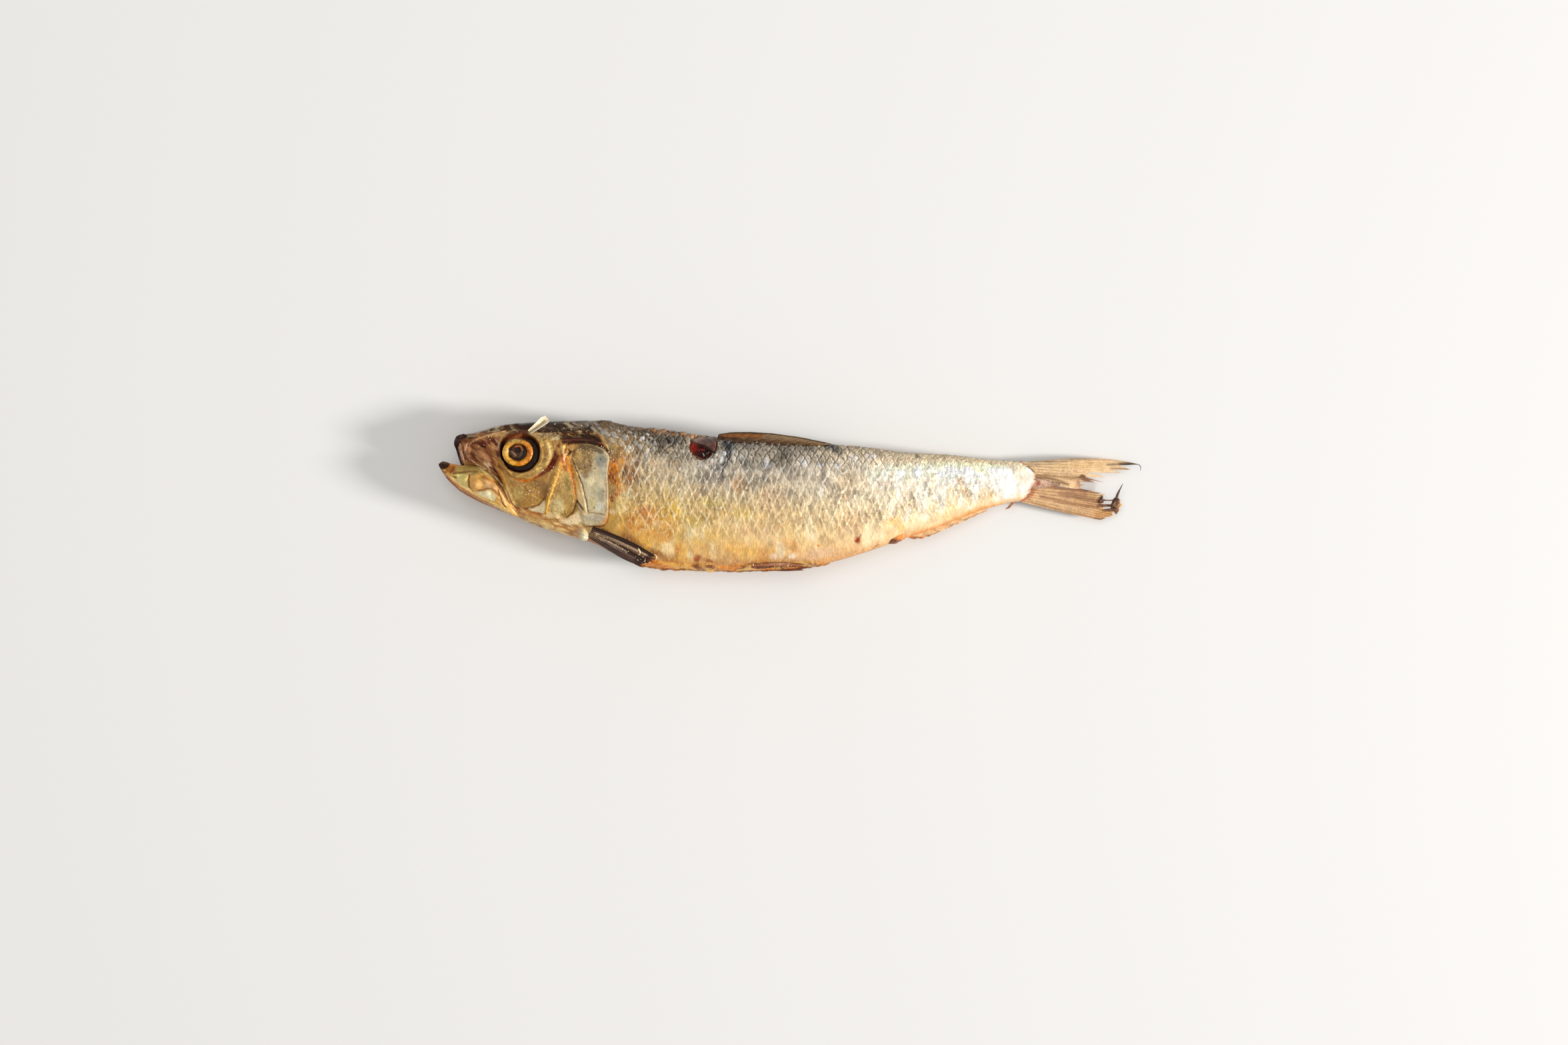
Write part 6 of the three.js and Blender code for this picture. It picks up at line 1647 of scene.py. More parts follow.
FINS = {
    "tail_upper": {
        "root": [(180.6, 9.7), (185.2, 7.4), (187.0, 3.6)],
        "edge": [
            (220.0, 8.85), (217.2, 9.0), (213.0, 8.65), (214.8, 8.0), (216.8, 7.35), (213.4, 7.3),
            (209.6, 7.25), (211.4, 6.8), (213.6, 6.45), (208.2, 6.5), (202.4, 6.55), (205.4, 5.6),
            (208.8, 4.9), (205, 5.1), (201.9, 5.35), (205.0, 4.3), (208.3, 3.35), (205.4, 4.0),
            (203.2, 4.2), (204.3, 3.8), (205.1, 3.45), (202.8, 3.6), (200.9, 3.75), (200.5, 2.9),
            (202.3, 2.75), (200.5, 2.4), (200.6, 1.5),
        ],
        "bow": (1.75, -0.3), "fan": (146.0, 9.6, 1.15), "tones": ((240, 204, 158), (248, 208, 160)),
        "paint": [
            ((70, 62, 50), 0.95, [(213.0, 9.3, .3), (216, 9.2, .5), (219.6, 8.9, .4)]),
            ((90, 76, 58), 0.7, [(209, 9.1, .2), (213, 9.3, .25)]),
            ((146, 112, 74), 0.6, [(184, 10.0, .2), (196, 10.8, .25), (208, 11.0, .25), (214, 10.4, .3)]),
            ((120, 92, 66), 0.6, [(210, 7.9, .2), (213.6, 7.8, .25), (216.6, 7.4, .2)]),
            ((128, 78, 62), 0.85, [(200.6, 5.2, .5), (202.2, 4.4, .6), (205, 3.8, .5), (208, 3.4, .3)]),
            ((80, 54, 44), 0.9, [(201.0, 5.6, .25), (201.8, 5.4, .2)]),
            ((176, 122, 96), 0.7, [(199.8, 3.4, .6), (200.4, 2.0, .5)]),
            ((132, 92, 58), 0.7, [(186.8, 5.6, .3), (192, 4.4, .4), (196.4, 2.8, .3)]),
            ((160, 118, 74), 0.6, [(189, 6.0, .3), (196, 5.0, .35), (201, 4.9, .3)]),
            ((226, 190, 134), 0.6, [(192, 8.4, .5), (200, 8.9, .7), (207, 8.9, .6)]),
            ((180, 156, 124), 0.6, [(183, 9.0, .6), (190, 9.6, .6), (196, 10.2, .4)]),
        ],
    },
    "tail_lower": {
        "root": [(186.2, 3.4), (184.4, 0.4), (180.4, -2.3)],
        "edge": [
            (200.8, 1.5), (203.6, 0.9), (205.4, 0.4), (207.3, 0.15), (205.4, -0.2), (203.6, -0.55),
            (206.2, -0.35), (208.8, -0.2), (207.2, -0.8), (207.1, -1.5), (208.2, -2.2), (207.8, -2.9),
            (206.9, -3.4), (208.0, -4.2), (208.2, -4.9), (210.0, -5.3), (211.9, -5.4), (210.8, -6.3),
            (211.1, -7.2), (209.4, -7.3), (208.5, -7.9), (206.9, -8.35), (205.3, -7.95),
        ],
        "bow": (-0.35, -0.25), "fan": (158.0, 4.0, 1.7), "tones": ((226, 184, 138), (222, 172, 122)),
        "paint": [
            ((150, 98, 76), 0.75, [(190, 2.4, .5), (196, 1.9, .7), (202, 0.9, .6)]),
            ((120, 72, 54), 0.7, [(200.4, 1.7, .3), (203.4, 0.8, .3), (207, 0.2, .2)]),
            ((156, 108, 82), 0.6, [(194, 0, .6), (202, -1.2, .9), (207, -2.6, .6)]),
            ((226, 186, 130), 0.8, [(203, -0.9, .3), (206, -0.9, .4), (208, -0.5, .25)]),
            ((92, 52, 40), 0.9, [(206.8, -1.4, .3), (207.6, -2.3, .4), (206.6, -2.6, .4)]),
            ((132, 86, 58), 0.6, [(188, -1.0, .3), (198, -3.2, .35), (206, -4.4, .3)]),
            ((226, 188, 140), 0.65, [(186, -2.2, .5), (194, -4.0, .6), (203, -5.6, .7)]),
            ((206, 150, 90), 0.7, [(206, -6.6, .8), (209.6, -6.4, .8)]),
            ((110, 70, 48), 0.8, [(204.6, -7.9, .25), (206.6, -8.2, .3), (208, -7.9, .2)]),
            ((176, 132, 92), 0.5, [(184, -2.2, .2), (194, -5.2, .25), (204, -7.6, .2)]),
            ((188, 112, 72), 0.7, [(182, -2.0, .5), (184.6, -0.6, .5), (186.2, 1.4, .4)]),
        ],
    },
    "dorsal_fin": {
        "root": [(86.4, 16.2), (95, 15.4), (106, 14.6), (119, 14.6)],
        "edge": [
            (87.2, 18.3), (91, 18.9), (97, 19.0), (104, 18.55), (108, 17.95), (111, 17.6), (114, 17.05),
            (117.5, 16.3), (120, 15.8), (122.4, 15.2),
        ],
        "bow": (0.2, 0.1), "rays": 9, "tones": ((112, 78, 44), (106, 78, 48)),
        "paint": [
            ((150, 88, 34), 0.75, [(88, 17.6, .3), (94, 17.9, .4), (101, 17.6, .3)]),
            ((66, 42, 24), 0.8, [(87, 16.8, .4), (90, 16.9, .4), (94, 16.4, .4)]),
            ((172, 146, 104), 0.8, [(101, 18.2, .15), (108, 17.4, .2), (116, 16.0, .2), (121, 15.0, .15)]),
            ((70, 50, 34), 0.85, [(87.4, 18.3, .2), (92, 18.75, .2), (103, 18.35, .2), (113, 17.05, .3),
                (120, 15.6, .3)]),
            ((76, 52, 36), 0.8, [(88, 16.2, .3), (96, 15.9, .5), (104, 15.2, .5), (110, 15.0, .4)]),
            ((146, 116, 84), 0.7, [(101, 17.2, .4), (106, 16.9, .4), (112, 16.4, .5), (116, 15.6, .3)]),
            ((64, 30, 22), 0.85, [(86.4, 17.4, .5), (88.4, 17.0, .4)]),
        ],
    },
    "anal_fin": {
        "root": [(143.5, -11.9), (152, -9.4), (165, -5.0)],
        "edge": [
            (146.6, -14.0), (148.0, -14.4), (149.0, -14.0), (150.6, -14.25), (151.6, -13.65),
            (153.0, -13.45), (153.6, -12.9), (155.0, -12.6), (155.8, -12.05), (157.2, -11.6),
            (158.2, -10.95), (159.6, -10.5), (160.6, -9.75), (162.0, -9.55), (163.0, -8.85), (164.6, -8.35),
            (165.6, -7.7), (167.2, -7.2), (168.4, -6.4), (170.0, -5.9), (171.5, -5.2),
        ],
        "bow": (-0.3, -0.1), "rays": 3, "tones": ((253, 228, 184), (238, 190, 134)),
        "paint": [
            ((214, 146, 88), 0.85, [(145.8, -13.5, .4), (149.6, -13.8, .3), (152.6, -13.2, .15)]),
            ((160, 86, 40), 0.85, [(146.8, -13.9, .2), (149.0, -14.1, .25), (150.6, -13.9, .12)]),
            ((146, 80, 42), 0.75, [(152.4, -13.2, .1), (154.4, -12.6, .16), (155.9, -12.0, .08)]),
            ((160, 90, 46), 0.75, [(158.0, -11.0, .08), (160.2, -10.0, .14), (161.8, -9.4, .06)]),
            ((190, 112, 60), 0.8, [(164.0, -8.4, .1), (167.2, -7.1, .22), (170.6, -5.6, .12)]),
            ((246, 204, 146), 0.8, [(148.4, -13.0, .12), (151.0, -12.5, .18), (153.4, -11.8, .1)]),
            ((184, 112, 62), 0.5, [(150.6, -12.9, .06), (156.0, -11.0, .08), (162.0, -8.6, .05)]),
        ],
    },
    "pectoral_fin": {
        "root": [(48.5, -10.3), (47.6, -12.2), (46.6, -13.7)],
        "edge": [
            (66.2, -18.5), (68.3, -19.7), (66.5, -19.7), (67.9, -20.8), (66.2, -20.5), (67.6, -21.9),
            (65.4, -21.3), (66.4, -22.6), (64.6, -21.9), (64.5, -23.0), (63.4, -22.1), (62.8, -23.0),
            (62.1, -22.1), (60.8, -21.9),
        ],
        "bow": (0.7, -0.5), "rays": 8, "tones": ((96, 66, 48), (74, 46, 36)),
        "paint": [
            # dark along the upper edge: dark root skin with painted shadow of the fin
            ((54, 34, 28), 0.9, [(48.6, -10.6, .5), (53.4, -12.3, .6), (58, -14.7, .5), (63.6, -17.8, .6),
                (67, -19.4, .5)]),
            # pale first ray: partly a painted highlight along its ridge
            ((230, 196, 154), 0.9, [(49.2, -12.5, .12), (55, -14.6, .15), (61.9, -17.7, .15),
                (66.4, -20.0, .1)]),
            ((150, 112, 78), 0.75, [(48.4, -12.9, .3), (52.6, -14.6, .3), (56, -16.2, .1)]),
            ((214, 182, 146), 0.8, [(50.4, -13.9, .2), (54.6, -16.1, .35), (58.4, -17.9, .15)]),
            ((154, 112, 88), 0.65, [(53.0, -13.6, .06), (58.8, -16.6, .14), (63.4, -19.4, .05)]),
            ((38, 20, 15), 0.8, [(50.6, -12.9, .1), (57.4, -16.6, .22), (61.0, -19.0, .12),
                (64.2, -20.6, .2)]),
            ((112, 62, 40), 0.6, [(57.0, -18.6, .3), (60.6, -20.4, .4)]),
            ((60, 38, 32), 0.7, [(52, -15.2, .2), (58, -18.4, .25), (63.6, -21.6, .25)]),
            ((150, 124, 104), 0.6, [(54, -16.3, .12), (60, -19.6, .14), (64.6, -22.2, .12)]),
            ((56, 24, 14), 0.85, [(61.6, -20.8, .6), (64.0, -21.6, .9), (66.0, -19.6, .7)]),
            ((206, 110, 40), 0.85, [(64.4, -22.6, .2), (65.6, -21.9, .3), (67.0, -21.4, .3)]),
            ((126, 62, 28), 0.8, [(65.4, -20.9, .2), (67.2, -20.6, .3)]),
            ((152, 122, 84), 0.6, [(47.4, -12.6, .7), (49.6, -13.6, .6)]),
        ],
    },
    "pelvic_fin": {
        "root": [(97.6, -21.9), (97.3, -22.6), (97.0, -23.3)],
        "edge": [
            (112.6, -21.8), (114.6, -22.1), (113.2, -22.7), (114.5, -23.2), (112.8, -23.6), (113.6, -24.0),
            (111.0, -24.1), (109.2, -24.2),
        ],
        "bow": (0.3, -0.25), "rays": 6, "tones": ((150, 92, 62), (128, 74, 50)),
        "paint": [
            ((196, 126, 76), 0.7, [(98, -22.4, .2), (105, -22.2, .25), (112, -22.4, .2)]),
            ((82, 44, 32), 0.8, [(99, -22.9, .15), (106, -23.0, .2), (113, -23.1, .15)]),
            ((206, 164, 130), 0.6, [(103, -21.9, .1), (109, -21.8, .12)]),
        ],
    },
}
FIN_ROWS, FIN_SPLIT = 64, 9  # points along a ray, and columns between two points of the free edge
FIRST_RAY = 40  # keeps the numbers of the rays positive
RAY_HALF, WEB_HALF = 0.42, 0.2  # half of the thickness on a ray and between two
PECTORAL_LIFT, PELVIC_LIFT = 0.55, 0.45  # of the middle of the folded fin over the skin
FIN_BURIED = 0.6  # how deep the inner side of a folded fin lies under its middle
RAY_SPLIT = (0.45, 0.65)  # the shares of a ray's length over which it splits in two
TORN_TIPS = 0.012  # how uneven the tips of the rays are, as a share of their length


def lying(lift):
    """The height of a fin folded on the flank of one side."""
    def place(x, y, side):
        return skin_height(x, y, side) + side * lift

    return place


def between_sides(x, y, side):
    return middle(x)


def over_back(x, y, side):
    """The folded back fin lies over the edge of the back."""
    share = np.clip((y - belly(x)) / (back(x) - belly(x)), 0, 0.985)
    return middle(x) + fullness(x, share) + 0.3 - 0.5 * np.clip(y - back(x), 0, 4)


def make_fin(name, fin, place, material, side=1, buried=0.0):
    """A comb of rays with skin between them, from its root to its torn free edge."""
    edge = np.array(fin["edge"], float)
    knots = np.arange((len(edge) - 1) * FIN_SPLIT + 1) / FIN_SPLIT
    share = knots / knots[-1]
    tips = np.stack([np.interp(knots, np.arange(len(edge)), column) for column in edge.T], -1)
    root = smooth_line(fin["root"], 12)
    roots = np.stack([np.interp(share, np.linspace(0, 1, len(root)), column) for column in root.T], -1)
    seed = sum(map(ord, name))
    along = np.linspace(0, 1, FIN_ROWS)[None, :]
    torn = 1 - TORN_TIPS * (1 + layered(seed, 0.02, share, share, layers=2))
    step = along * torn[:, None]
    x = lerp(roots[:, :1], tips[:, :1], step)
    y = lerp(roots[:, 1:], tips[:, 1:], step)
    y = y + lerp(*fin["bow"], share)[:, None] * 4 * step * (1 - step) * (0.5 + step)
    if "fan" in fin:
        centre_x, centre_y, spacing = fin["fan"]
        count = np.degrees(np.arctan2(y - centre_y, x - centre_x)) / spacing + FIRST_RAY
    else:
        count = fin["rays"] * share[:, None]
    whole, halves = np.cos(2 * np.pi * count), np.cos(4 * np.pi * count)
    ray = lerp(whole, halves, ease(step, *RAY_SPLIT)) * 0.5 + 0.5  # 1 on a ray, 0 between two
    half = lerp(WEB_HALF, RAY_HALF, ray) * lerp(1.0, 0.45, step**2)
    height = place(x, y, side) + 0.3 * layered(seed + 1, 9, x, y) * step
    upper = np.stack([x, y, height + half], -1)
    lower = np.stack([x, y, height - half], -1)
    if buried:
        inner = lower if side > 0 else upper
        inner[..., 2] = place(x, y, side) - side * buried
    tone = lerp(rgb(*fin["tones"][0]), rgb(*fin["tones"][1]), step[..., None])
    for colour, strength, line in fin["paint"]:
        paint(tone, stroke(x, y, line, 0.5), colour, strength)
    each_ray = noise(seed + 2, count + 0.5, step * 2.0)
    tone = tone * (0.9 + 0.16 * ray + 0.12 * each_ray)[..., None]
    tone = np.clip(tone * (1 + 0.12 * layered(seed + 3, 1.5, x, y))[..., None], 0, 1)
    points, faces = slab(upper, lower)
    rays = np.broadcast_to(count, x.shape)
    make_piece(name, flatten(points), faces, material, tone=np.concatenate([tone, tone]).reshape(-1, 3),
               ray=np.concatenate([rays, rays]), along=np.concatenate([step, step]))


def fin_material():
    """Dry fin skin: dark lines between the rays, which are cut into short joints."""
    shader = Shader("fin_skin")
    m = shader.math
    ray, along = (shader.attribute(name)["Fac"] for name in ("ray", "along"))
    split = m("MULTIPLY", ray, shader.span(along, *RAY_SPLIT, 1.0, 2.0))
    line = m("PINGPONG", m("ADD", split, 0.5), 0.5)  # 0 between two rays
    fine = m("PINGPONG", m("MULTIPLY", ray, 4.0), 0.5)
    joint = m("PINGPONG", m("ADD", m("MULTIPLY", along, 60.0), m("MULTIPLY", ray, 3.0)), 0.5)
    patches = shader.span(shader.noise(2.2, 3), 0.35, 0.65, 0.1, 0.75)
    dark = m("MULTIPLY", shader.span(line, 0.0, 0.12, 1.0, 0.0), patches)
    dark = m("ADD", dark, m("MULTIPLY", shader.span(fine, 0.0, 0.2, 1.0, 0.0), 0.12))
    dark = m("ADD", dark, m("MULTIPLY", shader.span(joint, 0.0, 0.2, 1.0, 0.0), 0.05), clamp=True)
    tone = tone_with_grain(shader, 0.22)
    base = shader.mix(dark, tone, shader.mix(1.0, tone, (0.45, 0.36, 0.3), "MULTIPLY"))
    shader.set(base_color=base, roughness=shader.varied(1.0, 0.4, 0.6), ior=SKIN_IOR)
    shader.gloss(0.08)
    shader.bump(m("SUBTRACT", shader.noise(0.3, 3), dark), 0.08)
    return shader.material


# ---------------------------------------------------------------- small pieces

KEEL = {"from": 62.0, "to": 120.0, "step": 2.1, "length": 3.4, "radius": 0.75}
VENT = {"centre": (142.4, -13.7), "radii": (3.5, 1.8, 2.6), "slope": 0.3}
TAIL_WEDGE = [  # (x, y, radius)
    (183.5, 3.0, 1.9), (186.5, 3.2, 1.9), (189.5, 3.15, 1.35), (192.4, 2.95, 0.7), (195.4, 2.7, 0.12),
]
TAIL_FLAP = [
    (182.4, -1.7, 0.25), (180.2, -2.2, 0.35), (178.8, -3.3, 0.4), (177.8, -4.3, 0.3), (176.8, -4.9, 0.08),
]
WEDGE_HEIGHT = 0.75  # how much of the wedge's own height is left
BURNT_LUMP = {"centre": (211.6, -3.7), "radii": (1.5, 2.1, 0.9)}
BURNT_RODS = [  # (x, y, radius) from the torn edge of the tail to the burnt lump, and the bent ray on it
    [(206.8, -2.0, 0.35), (209.4, -2.15, 0.2), (211.6, -2.1, 0.3)],
    [(206.0, -3.8, 0.5), (208.8, -3.75, 0.45), (211.4, -3.8, 0.5)],
    [(207.6, -5.3, 0.45), (209.6, -5.1, 0.5), (211.4, -4.9, 0.6)],
    [(206.2, -2.9, 0.5), (207.0, -1.8, 0.55), (207.3, -0.6, 0.2)],
    [(211.4, -3.0, 0.6), (211.7, -1.6, 0.5), (212.5, 0.6, 0.33), (213.8, 3.1, 0.08)],
]
HOOK = [(218.9, 9.1, 0.12), (219.4, 8.2, 0.1), (219.3, 7.2, 0.05)]  # a thin broken ray at the tip of the tail
MEMBRANE = {
    "line": [(28.9, 18.7, 16.9), (31.2, 20.6, 16.25), (33.2, 22.3, 14.8), (34.1, 23.2, 13.1)],
    "width": [(0, 1.5), (0.33, 2.0), (0.7, 2.6), (1, 2.1)],
    "curl": 0.95, "half": 0.1, "cells": (50, 22),
}


def make_keel(material):
    """The saw edge of sharp, overlapping scales along the belly, which point to the tail."""
    forms = []
    draw = np.random.default_rng(81)
    for x in np.arange(KEEL["from"], KEEL["to"], KEEL["step"]):
        start, end = x - 0.6, x + KEEL["length"] * draw.uniform(0.8, 1.1)
        drop = draw.uniform(0.0, 0.35)
        y0, y1 = float(belly(start)) + 0.45, float(belly(end)) - 0.1 - drop
        z = float(middle(x)) + draw.uniform(-0.4, 0.8)
        radius = KEEL["radius"] * draw.uniform(0.75, 1.1)
        line = [(start, y0, z, radius * 0.7), (lerp(start, end, 0.4), lerp(y0, y1, 0.5), z, radius),
                (lerp(start, end, 0.75), lerp(y0, y1, 0.8), z, radius * 0.6), (end, y1, z, 0.08)]
        forms.append(tube(line, 12, seed=82))
    points, faces = joined(forms)
    x, y, z = points.T
    tone = one_tone(x.shape, (186, 122, 58))
    paint(tone, ease(layered(83, 3.2, x, y, z), -0.1, 0.4), (120, 66, 32), 0.8)
    paint(tone, ease(layered(84, 2.2, x, y, z), 0.2, 0.6), (226, 168, 88), 0.7)
    paint(tone, spot(x, y, (84, -23), (3.8, 2)), (246, 190, 110), 0.95)
    paint(tone, ease(x, 90, 96) * (1 - ease(x, 97, 103)), (120, 92, 70), 0.6)
    make_piece("keel_scales", points, faces, material, tone=tone)


def make_vent(material):
    """The dark swelling of the vent, with a pale upper rim."""
    centre = (*VENT["centre"], float(middle(VENT["centre"][0])) + 0.6)
    points, faces = lump(centre, VENT["radii"], 85, rough=0.22, grain=2.0)
    x, y, z = points.T
    y += VENT["slope"] * (x - VENT["centre"][0]) + 0.25 * layered(98, 1.0, x, z)
    tone = one_tone(x.shape, (224, 142, 68))
    below = y - VENT["centre"][1] + 0.3 * (x - VENT["centre"][0])
    paint(tone, ease(layered(86, 1.2, x, y, z), -0.1, 0.4), (184, 92, 44), 0.7)
    paint(tone, 1 - ease(below, -1.3, -0.1), (104, 46, 30), 0.9)
    paint(tone, ease(y, -13.0, -12.0), (240, 184, 112), 0.9)
    make_piece("vent", points, faces, material, tone=tone)


def at_middle(line, lift):
    """A line of (x, y, radius) as (x, y, z, radius), raised by lift over the middle of the body."""
    return [(x, y, float(middle(x)) + lift, radius) for x, y, radius in line]


def make_tail_wedge(material):
    """The fleshy wedge between the two lobes of the tail, and the flap of torn skin under its root."""
    wedge = tube(at_middle(TAIL_WEDGE, 0.1), 32, seed=87, rough=0.12)
    flap = tube(at_middle(TAIL_FLAP, 0.1), 16, seed=97, rough=0.5)
    points, faces = joined([wedge, flap])
    x, y, z = points.T
    z[:] = lerp(middle(x), z, WEDGE_HEIGHT)
    tone = one_tone(x.shape, (196, 160, 134))
    paint(tone, ease(layered(88, 1.4, x, y, z), 0.0, 0.5), (166, 124, 100), 0.7)
    paint(tone, stroke(x, y, [(187.0, 5.2, .3), (190, 4.5, .2), (194, 3.3, .2)]), (126, 84, 60), 0.8)
    paint(tone, ease(x, 193.2, 194.6), (70, 36, 28), 0.9)
    paint(tone, spot(x, y, (187.0, 3.1), (0.9, 1.0)), (150, 66, 50), 0.85)
    paint(tone, 1 - ease(x, 181, 182.4), (156, 96, 66), 0.85)
    make_piece("tail_wedge", points, faces, material, tone=tone)


def make_burnt_ends(material):
    """The charred clump at the tip of the lower lobe, its rods, and the thin broken ray of the upper one."""
    centre = (*BURNT_LUMP["centre"], float(middle(212)) + 0.1)
    forms = [lump(centre, BURNT_LUMP["radii"], 89, rough=0.5, grain=0.8)]
    for rod in [*BURNT_RODS, HOOK]:
        forms.append(tube(at_middle(rod, 0.15), 12, seed=90))
    points, faces = joined(forms)
    x, y, z = points.T
    tone = one_tone(x.shape, (132, 92, 66))
    paint(tone, ease(layered(91, 0.9, x, y, z), -0.1, 0.4), (72, 40, 30), 0.85)
    bright = ease(x + 0.5 * layered(92, 1.1, y, z), 212.2, 212.8) * (1 - ease(y, -1.8, -1.0))
    paint(tone, bright, (226, 174, 104), 0.9)
    paint(tone, ease(y, -2.6, -1.4), (84, 62, 52), 0.8)
    make_piece("burnt_ends", points, faces, material, tone=tone)


def make_membrane(material):
    """The curl of dry, half clear membrane stuck to the nape."""
    steps, parts = MEMBRANE["cells"]
    line = smooth_line(MEMBRANE["line"], 24)
    pick = np.linspace(0, len(line) - 1, steps).round().astype(int)
    line = line[pick]
    along = np.gradient(line[:, :2], axis=0)
    along /= np.linalg.norm(along, axis=1, keepdims=True)
    share = np.linspace(0, 1, steps)
    across = np.linspace(-1, 1, parts)
    uneven = 1 + 0.08 * noise(93, share[:, None] * 6, np.sign(across)[None] * 3)
    half = profile(MEMBRANE["width"])(share)[:, None] / 2 * uneven
    x = line[:, :1] - across * half * along[:, 1:]
    y = line[:, 1:2] + across * half * along[:, :1]
    curl = MEMBRANE["curl"] * np.abs(across) ** 1.6 * (0.5 + 0.6 * share[:, None])
    z = line[:, 2:] + (curl + 0.12 * noise(94, x * 1.2, y * 1.2))
    grid = np.stack([x, y, z], -1)
    reach = (0, 0, MEMBRANE["half"])
    points, faces = slab(grid + reach, grid - reach)
    tone = one_tone(x.shape, (212, 194, 154))
    paint(tone, stroke(x, y, [(29, 18.8, .2), (31.4, 20.5, .25), (33.4, 22.2, .3)]), (134, 112, 76), 0.8)
    # pale edges of the curl: the thin membrane's own pale colour, with painted highlight where the curled edges
    # catch the light
    paint(tone, ease(np.abs(across), 0.62, 0.95), (250, 242, 220), 0.95)
    paint(tone, ease(share[:, None], 0.72, 0.95), (206, 196, 176), 0.7)
    make_piece("membrane_curl", points, faces, material, slot="membrane", node="membrane",
               tone=np.concatenate([tone, tone]).reshape(-1, 3))


# Where grains of salt and fat cling, on the left side: (how many, line of (x, y, half width)).
GRAINS = [
    (26, [(38.3, 8.4, 0.5), (36.9, 4.6, 0.4), (35.2, 0.4, 0.4), (34.0, -2.6, 0.4), (33.2, -6.2, 0.4)]),
    (14, [(39.6, 10.4, 0.6), (41.4, 6.2, 0.5), (42.4, 2.2, 0.4), (42.6, -2.6, 0.3)]),
    (12, [(33.4, 7.0, 0.5), (35.6, 5.6, 0.8), (36.4, 8.2, 0.5)]),
    (10, [(44, 13.4, 1.4), (48, 12.4, 1.6), (51, 11.2, 1.0)]),
    (16, [(49.6, 15.0, 0.6), (53.4, 12.2, 0.7), (56, 9.0, 1.4)]),
    (10, [(8.6, 11.0, 1.0), (15, 14.5, 2.4), (18, 16.6, 1.0)]),
    (12, [(24, 19.6, 0.6), (33, 20.6, 1.2), (44, 20.4, 1.4)]),
    (12, [(26, 1.0, 2.4), (31, 0.0, 2.0)]),
    (14, [(36.0, -6.0, 1.6), (40.4, -6.0, 1.4), (48, -8.6, 2.2)]),
    (30, [(49, -13.2, 1.0), (55, -15.6, 1.0), (61, -19.0, 1.1), (65, -21.0, 1.0)]),
    (16, [(58, 4, 3.0), (64, 0, 4.0)]),
    (14, [(98, -22.2, 0.5), (106, -22.4, 0.5), (112, -22.6, 0.4)]),
]
GRAIN_SIZES = (0.1, 0.24)
GRAIN_LIFT_ON_FINS = 0.9
SLIVERS = [  # (x, y, height over the skin, radius) of the curled white slivers on the breast fin
    [(62.7, -19.1, 1.1, 0.1), (63.0, -18.3, 1.7, 0.2), (62.8, -17.6, 1.9, 0.17), (62.4, -17.0, 1.6, 0.06)],
    [(67.3, -18.9, 1.2, 0.08), (68.0, -19.5, 1.7, 0.18), (68.0, -20.2, 1.6, 0.16), (67.5, -20.8, 1.0, 0.06)],
]
CORNERS = np.array([(1, 0, 0), (-1, 0, 0), (0, 1, 0), (0, -1, 0), (0, 0, 1), (0, 0, -1)], float)
SIDES_OF_GRAIN = np.array([
    (0, 2, 4), (2, 1, 4), (1, 3, 4), (3, 0, 4), (2, 0, 5), (1, 2, 5), (3, 1, 5), (0, 3, 5),
])


def make_grains(material):
    """Loose grains, as small uneven crystals joined into one mesh."""
    draw = np.random.default_rng(95)
    forms = []
    for count, line in GRAINS:
        line = smooth_line(line)
        for _ in range(count):
            x, y, half = line[draw.integers(len(line))]
            x, y = x + draw.normal(0, 0.6) * half, y + draw.normal(0, 0.6) * half
            if y < -12.6 and x < 68 or y < -21.4:
                lift = GRAIN_LIFT_ON_FINS
            elif x < 53:
                lift = float(head_lift(np.array([x]), np.array([y]))[0])
            else:
                lift = 0.0
            size = draw.uniform(*GRAIN_SIZES)
            shape = CORNERS * draw.uniform(0.6, 1.2, (6, 1)) * size
            spin, tilt = draw.uniform(0, 6), draw.uniform(0, 1)
            turn = np.array(Matrix.Rotation(spin, 3, "Z") @ Matrix.Rotation(tilt, 3, "X"))
            z = float(skin_height(x, y)) + lift + size * 0.3
            forms.append((shape @ turn.T + (x, y, z), [SIDES_OF_GRAIN]))
    for line in SLIVERS:
        sliver = [(x, y, float(skin_height(x, y)) + lift, radius) for x, y, lift, radius in line]
        forms.append(tube(sliver, 12, seed=99))
    points, faces = joined(forms)
    tone = one_tone(points.shape[:1], (250, 226, 176))
    make_piece("salt_grains", points, faces, material, smooth=False, tone=tone)


# ---------------------------------------------------------------- camera, light and floor

CAMERA_X, CAMERA_Y = -2.7 * MM, -8.7 * MM
FISH_LEVEL = 10 * MM  # the height over the table at which the picture's scale holds
FRAME_WIDTH = 488 * MM  # of the picture, at that height
SENSOR, LENS = 36.0, 50.0
KEY_ELEVATION, KEY_AZIMUTH = 21.0, -7.0  # degrees; the azimuth from +X
KEY_DISTANCE, KEY_SIZE, KEY_POWER = 2.6, 0.42, 76.0
OVERHEAD_DISTANCE, OVERHEAD_SIZE, OVERHEAD_POWER = 1.6, 1.5, 9.0
SKY_STRENGTH = 0.42
FLOOR_REACH, FLOOR_HEIGHT = 3.0, -0.05 * MM


def add_camera():
    """A camera that looks straight down, with the fish as large in the picture as in the photo."""
    camera = bpy.data.objects.new("camera", bpy.data.cameras.new("camera"))
    camera.data.sensor_width = SENSOR
    camera.data.lens = LENS
    camera.data.clip_start = 0.01
    camera.location = (CAMERA_X, CAMERA_Y, FISH_LEVEL + FRAME_WIDTH * LENS / SENSOR)
    bpy.context.scene.collection.objects.link(camera)
    bpy.context.scene.camera = camera


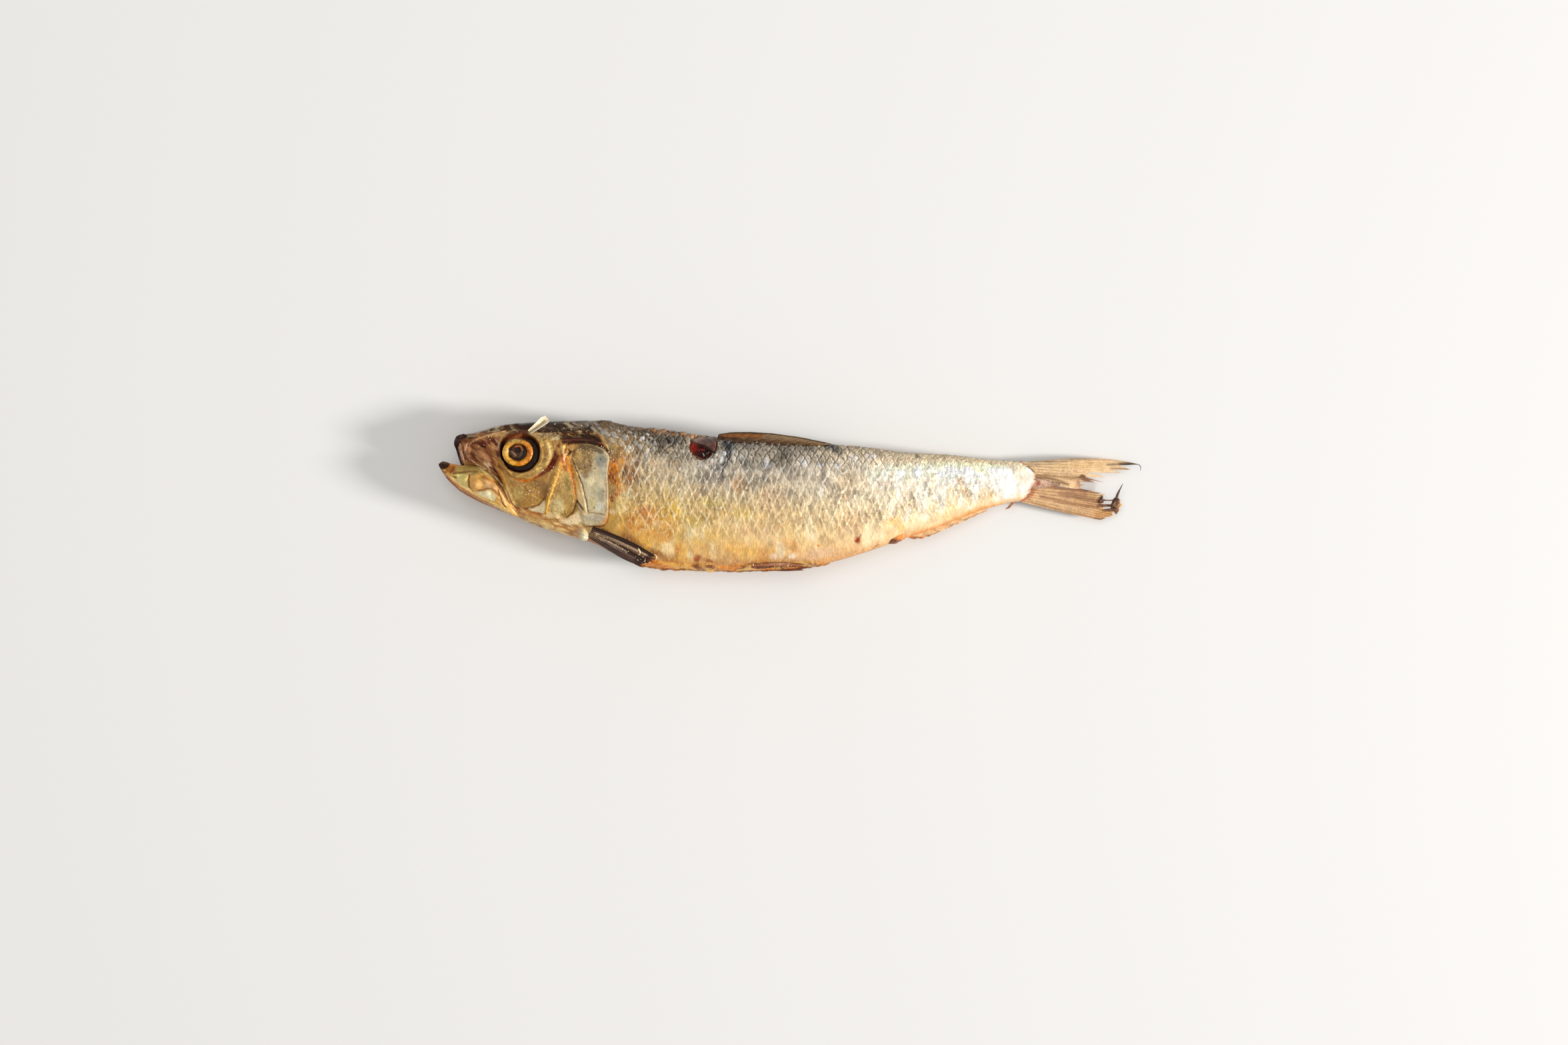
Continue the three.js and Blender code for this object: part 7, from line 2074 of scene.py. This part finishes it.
def add_light(name, direction, distance, size, power, colour):
    """A round lamp that stands in a direction from the origin and shines towards it."""
    light = bpy.data.lights.new(name, "AREA")
    light.shape = "DISK"
    light.size = size
    light.energy = power
    light.color = colour
    lamp = bpy.data.objects.new(name, light)
    lamp.location = Vector(direction).normalized() * distance
    lamp.rotation_euler = Vector(direction).to_track_quat("Z", "Y").to_euler()
    bpy.context.scene.collection.objects.link(lamp)


def add_floor():
    """A plain pale floor, which is stage and no part of the fish."""
    mesh = bpy.data.meshes.new("floor")
    reach = FLOOR_REACH
    corners = [(-reach, -reach, 0), (reach, -reach, 0), (reach, reach, 0), (-reach, reach, 0)]
    mesh.from_pydata(corners, [], [(0, 1, 2, 3)])
    floor = bpy.data.objects.new("floor", mesh)
    floor.location.z = FLOOR_HEIGHT
    shader = Shader("floor_board")
    shader.set(base_color=(0.80, 0.794, 0.782, 1.0), roughness=0.6)
    mesh.materials.append(shader.material)
    bpy.context.scene.collection.objects.link(floor)


def light_scene():
    """A low key light from the right, a wide lamp overhead and a pale sky."""
    elevation, azimuth = math.radians(KEY_ELEVATION), math.radians(KEY_AZIMUTH)
    level = math.cos(elevation)
    towards_key = (level * math.cos(azimuth), level * math.sin(azimuth), math.sin(elevation))
    add_light("key", towards_key, KEY_DISTANCE, KEY_SIZE, KEY_POWER, (1.0, 0.985, 0.96))
    add_light("overhead", (-0.15, 0.1, 1), OVERHEAD_DISTANCE, OVERHEAD_SIZE, OVERHEAD_POWER,
              (1.0, 0.99, 0.97))
    world = bpy.data.worlds.new("studio")
    world.use_nodes = True
    background = world.node_tree.nodes["Background"]
    background.inputs["Color"].default_value = (1.0, 0.985, 0.965, 1.0)
    background.inputs["Strength"].default_value = SKY_STRENGTH
    bpy.context.scene.world = world
    bpy.context.scene.view_settings.view_transform = "Standard"


# ---------------------------------------------------------------- the scene

def main():
    add_camera()
    light_scene()
    add_floor()
    head_skin = head_material()
    make_head(head_skin)
    make_lower_jaw(head_skin)
    scaled_skin = scale_material()
    eye_surface = plain_tone_material("eye_surface", roughness=(0.3, 0.42), coat=0.12, contrast=0.25,
                                      bump=0.04)
    fin_skin = fin_material()
    for side, name in SIDE_NAMES.items():
        make_flank(side, scaled_skin)
        make_eye(side, eye_surface)
        make_mouth_bones(side, head_skin)
        make_fin("pectoral_fin_" + name, FINS["pectoral_fin"], lying(PECTORAL_LIFT), fin_skin, side,
                 FIN_BURIED)
        make_fin("pelvic_fin_" + name, FINS["pelvic_fin"], lying(PELVIC_LIFT), fin_skin, side, FIN_BURIED)
    for name in ("tail_upper", "tail_lower", "anal_fin"):
        make_fin(name, FINS[name], between_sides, fin_skin)
    make_fin("dorsal_fin", FINS["dorsal_fin"], over_back, fin_skin)
    wound_flesh = plain_tone_material("wound_flesh", roughness=(0.24, 0.44), coat=0.15, contrast=0.35,
                                      bump=0.07, grain=0.6)
    make_wound(wound_flesh)
    crust = plain_tone_material("dry_crust", roughness=(0.4, 0.65), coat=0.1, contrast=0.4, bump=0.12,
                                grain=0.5)
    make_keel(crust)
    vent_skin = plain_tone_material("vent_skin", roughness=(0.25, 0.45), coat=0.3, contrast=0.25, bump=0.06)
    make_vent(vent_skin)
    make_tail_wedge(crust)
    make_burnt_ends(crust)
    dry_membrane = plain_tone_material("dry_membrane", roughness=(0.3, 0.5), coat=0.2, contrast=0.15,
                                       bump=0.04)
    make_membrane(dry_membrane)
    scale_horn = plain_tone_material("loose_scale", roughness=(0.25, 0.4), coat=0.25, contrast=0.3, bump=0.06)
    make_loose_scales(scale_horn)
    salt = plain_tone_material("salt", roughness=(0.1, 0.3), coat=0.3, contrast=0.1, bump=0.01)
    make_grains(salt)


main()
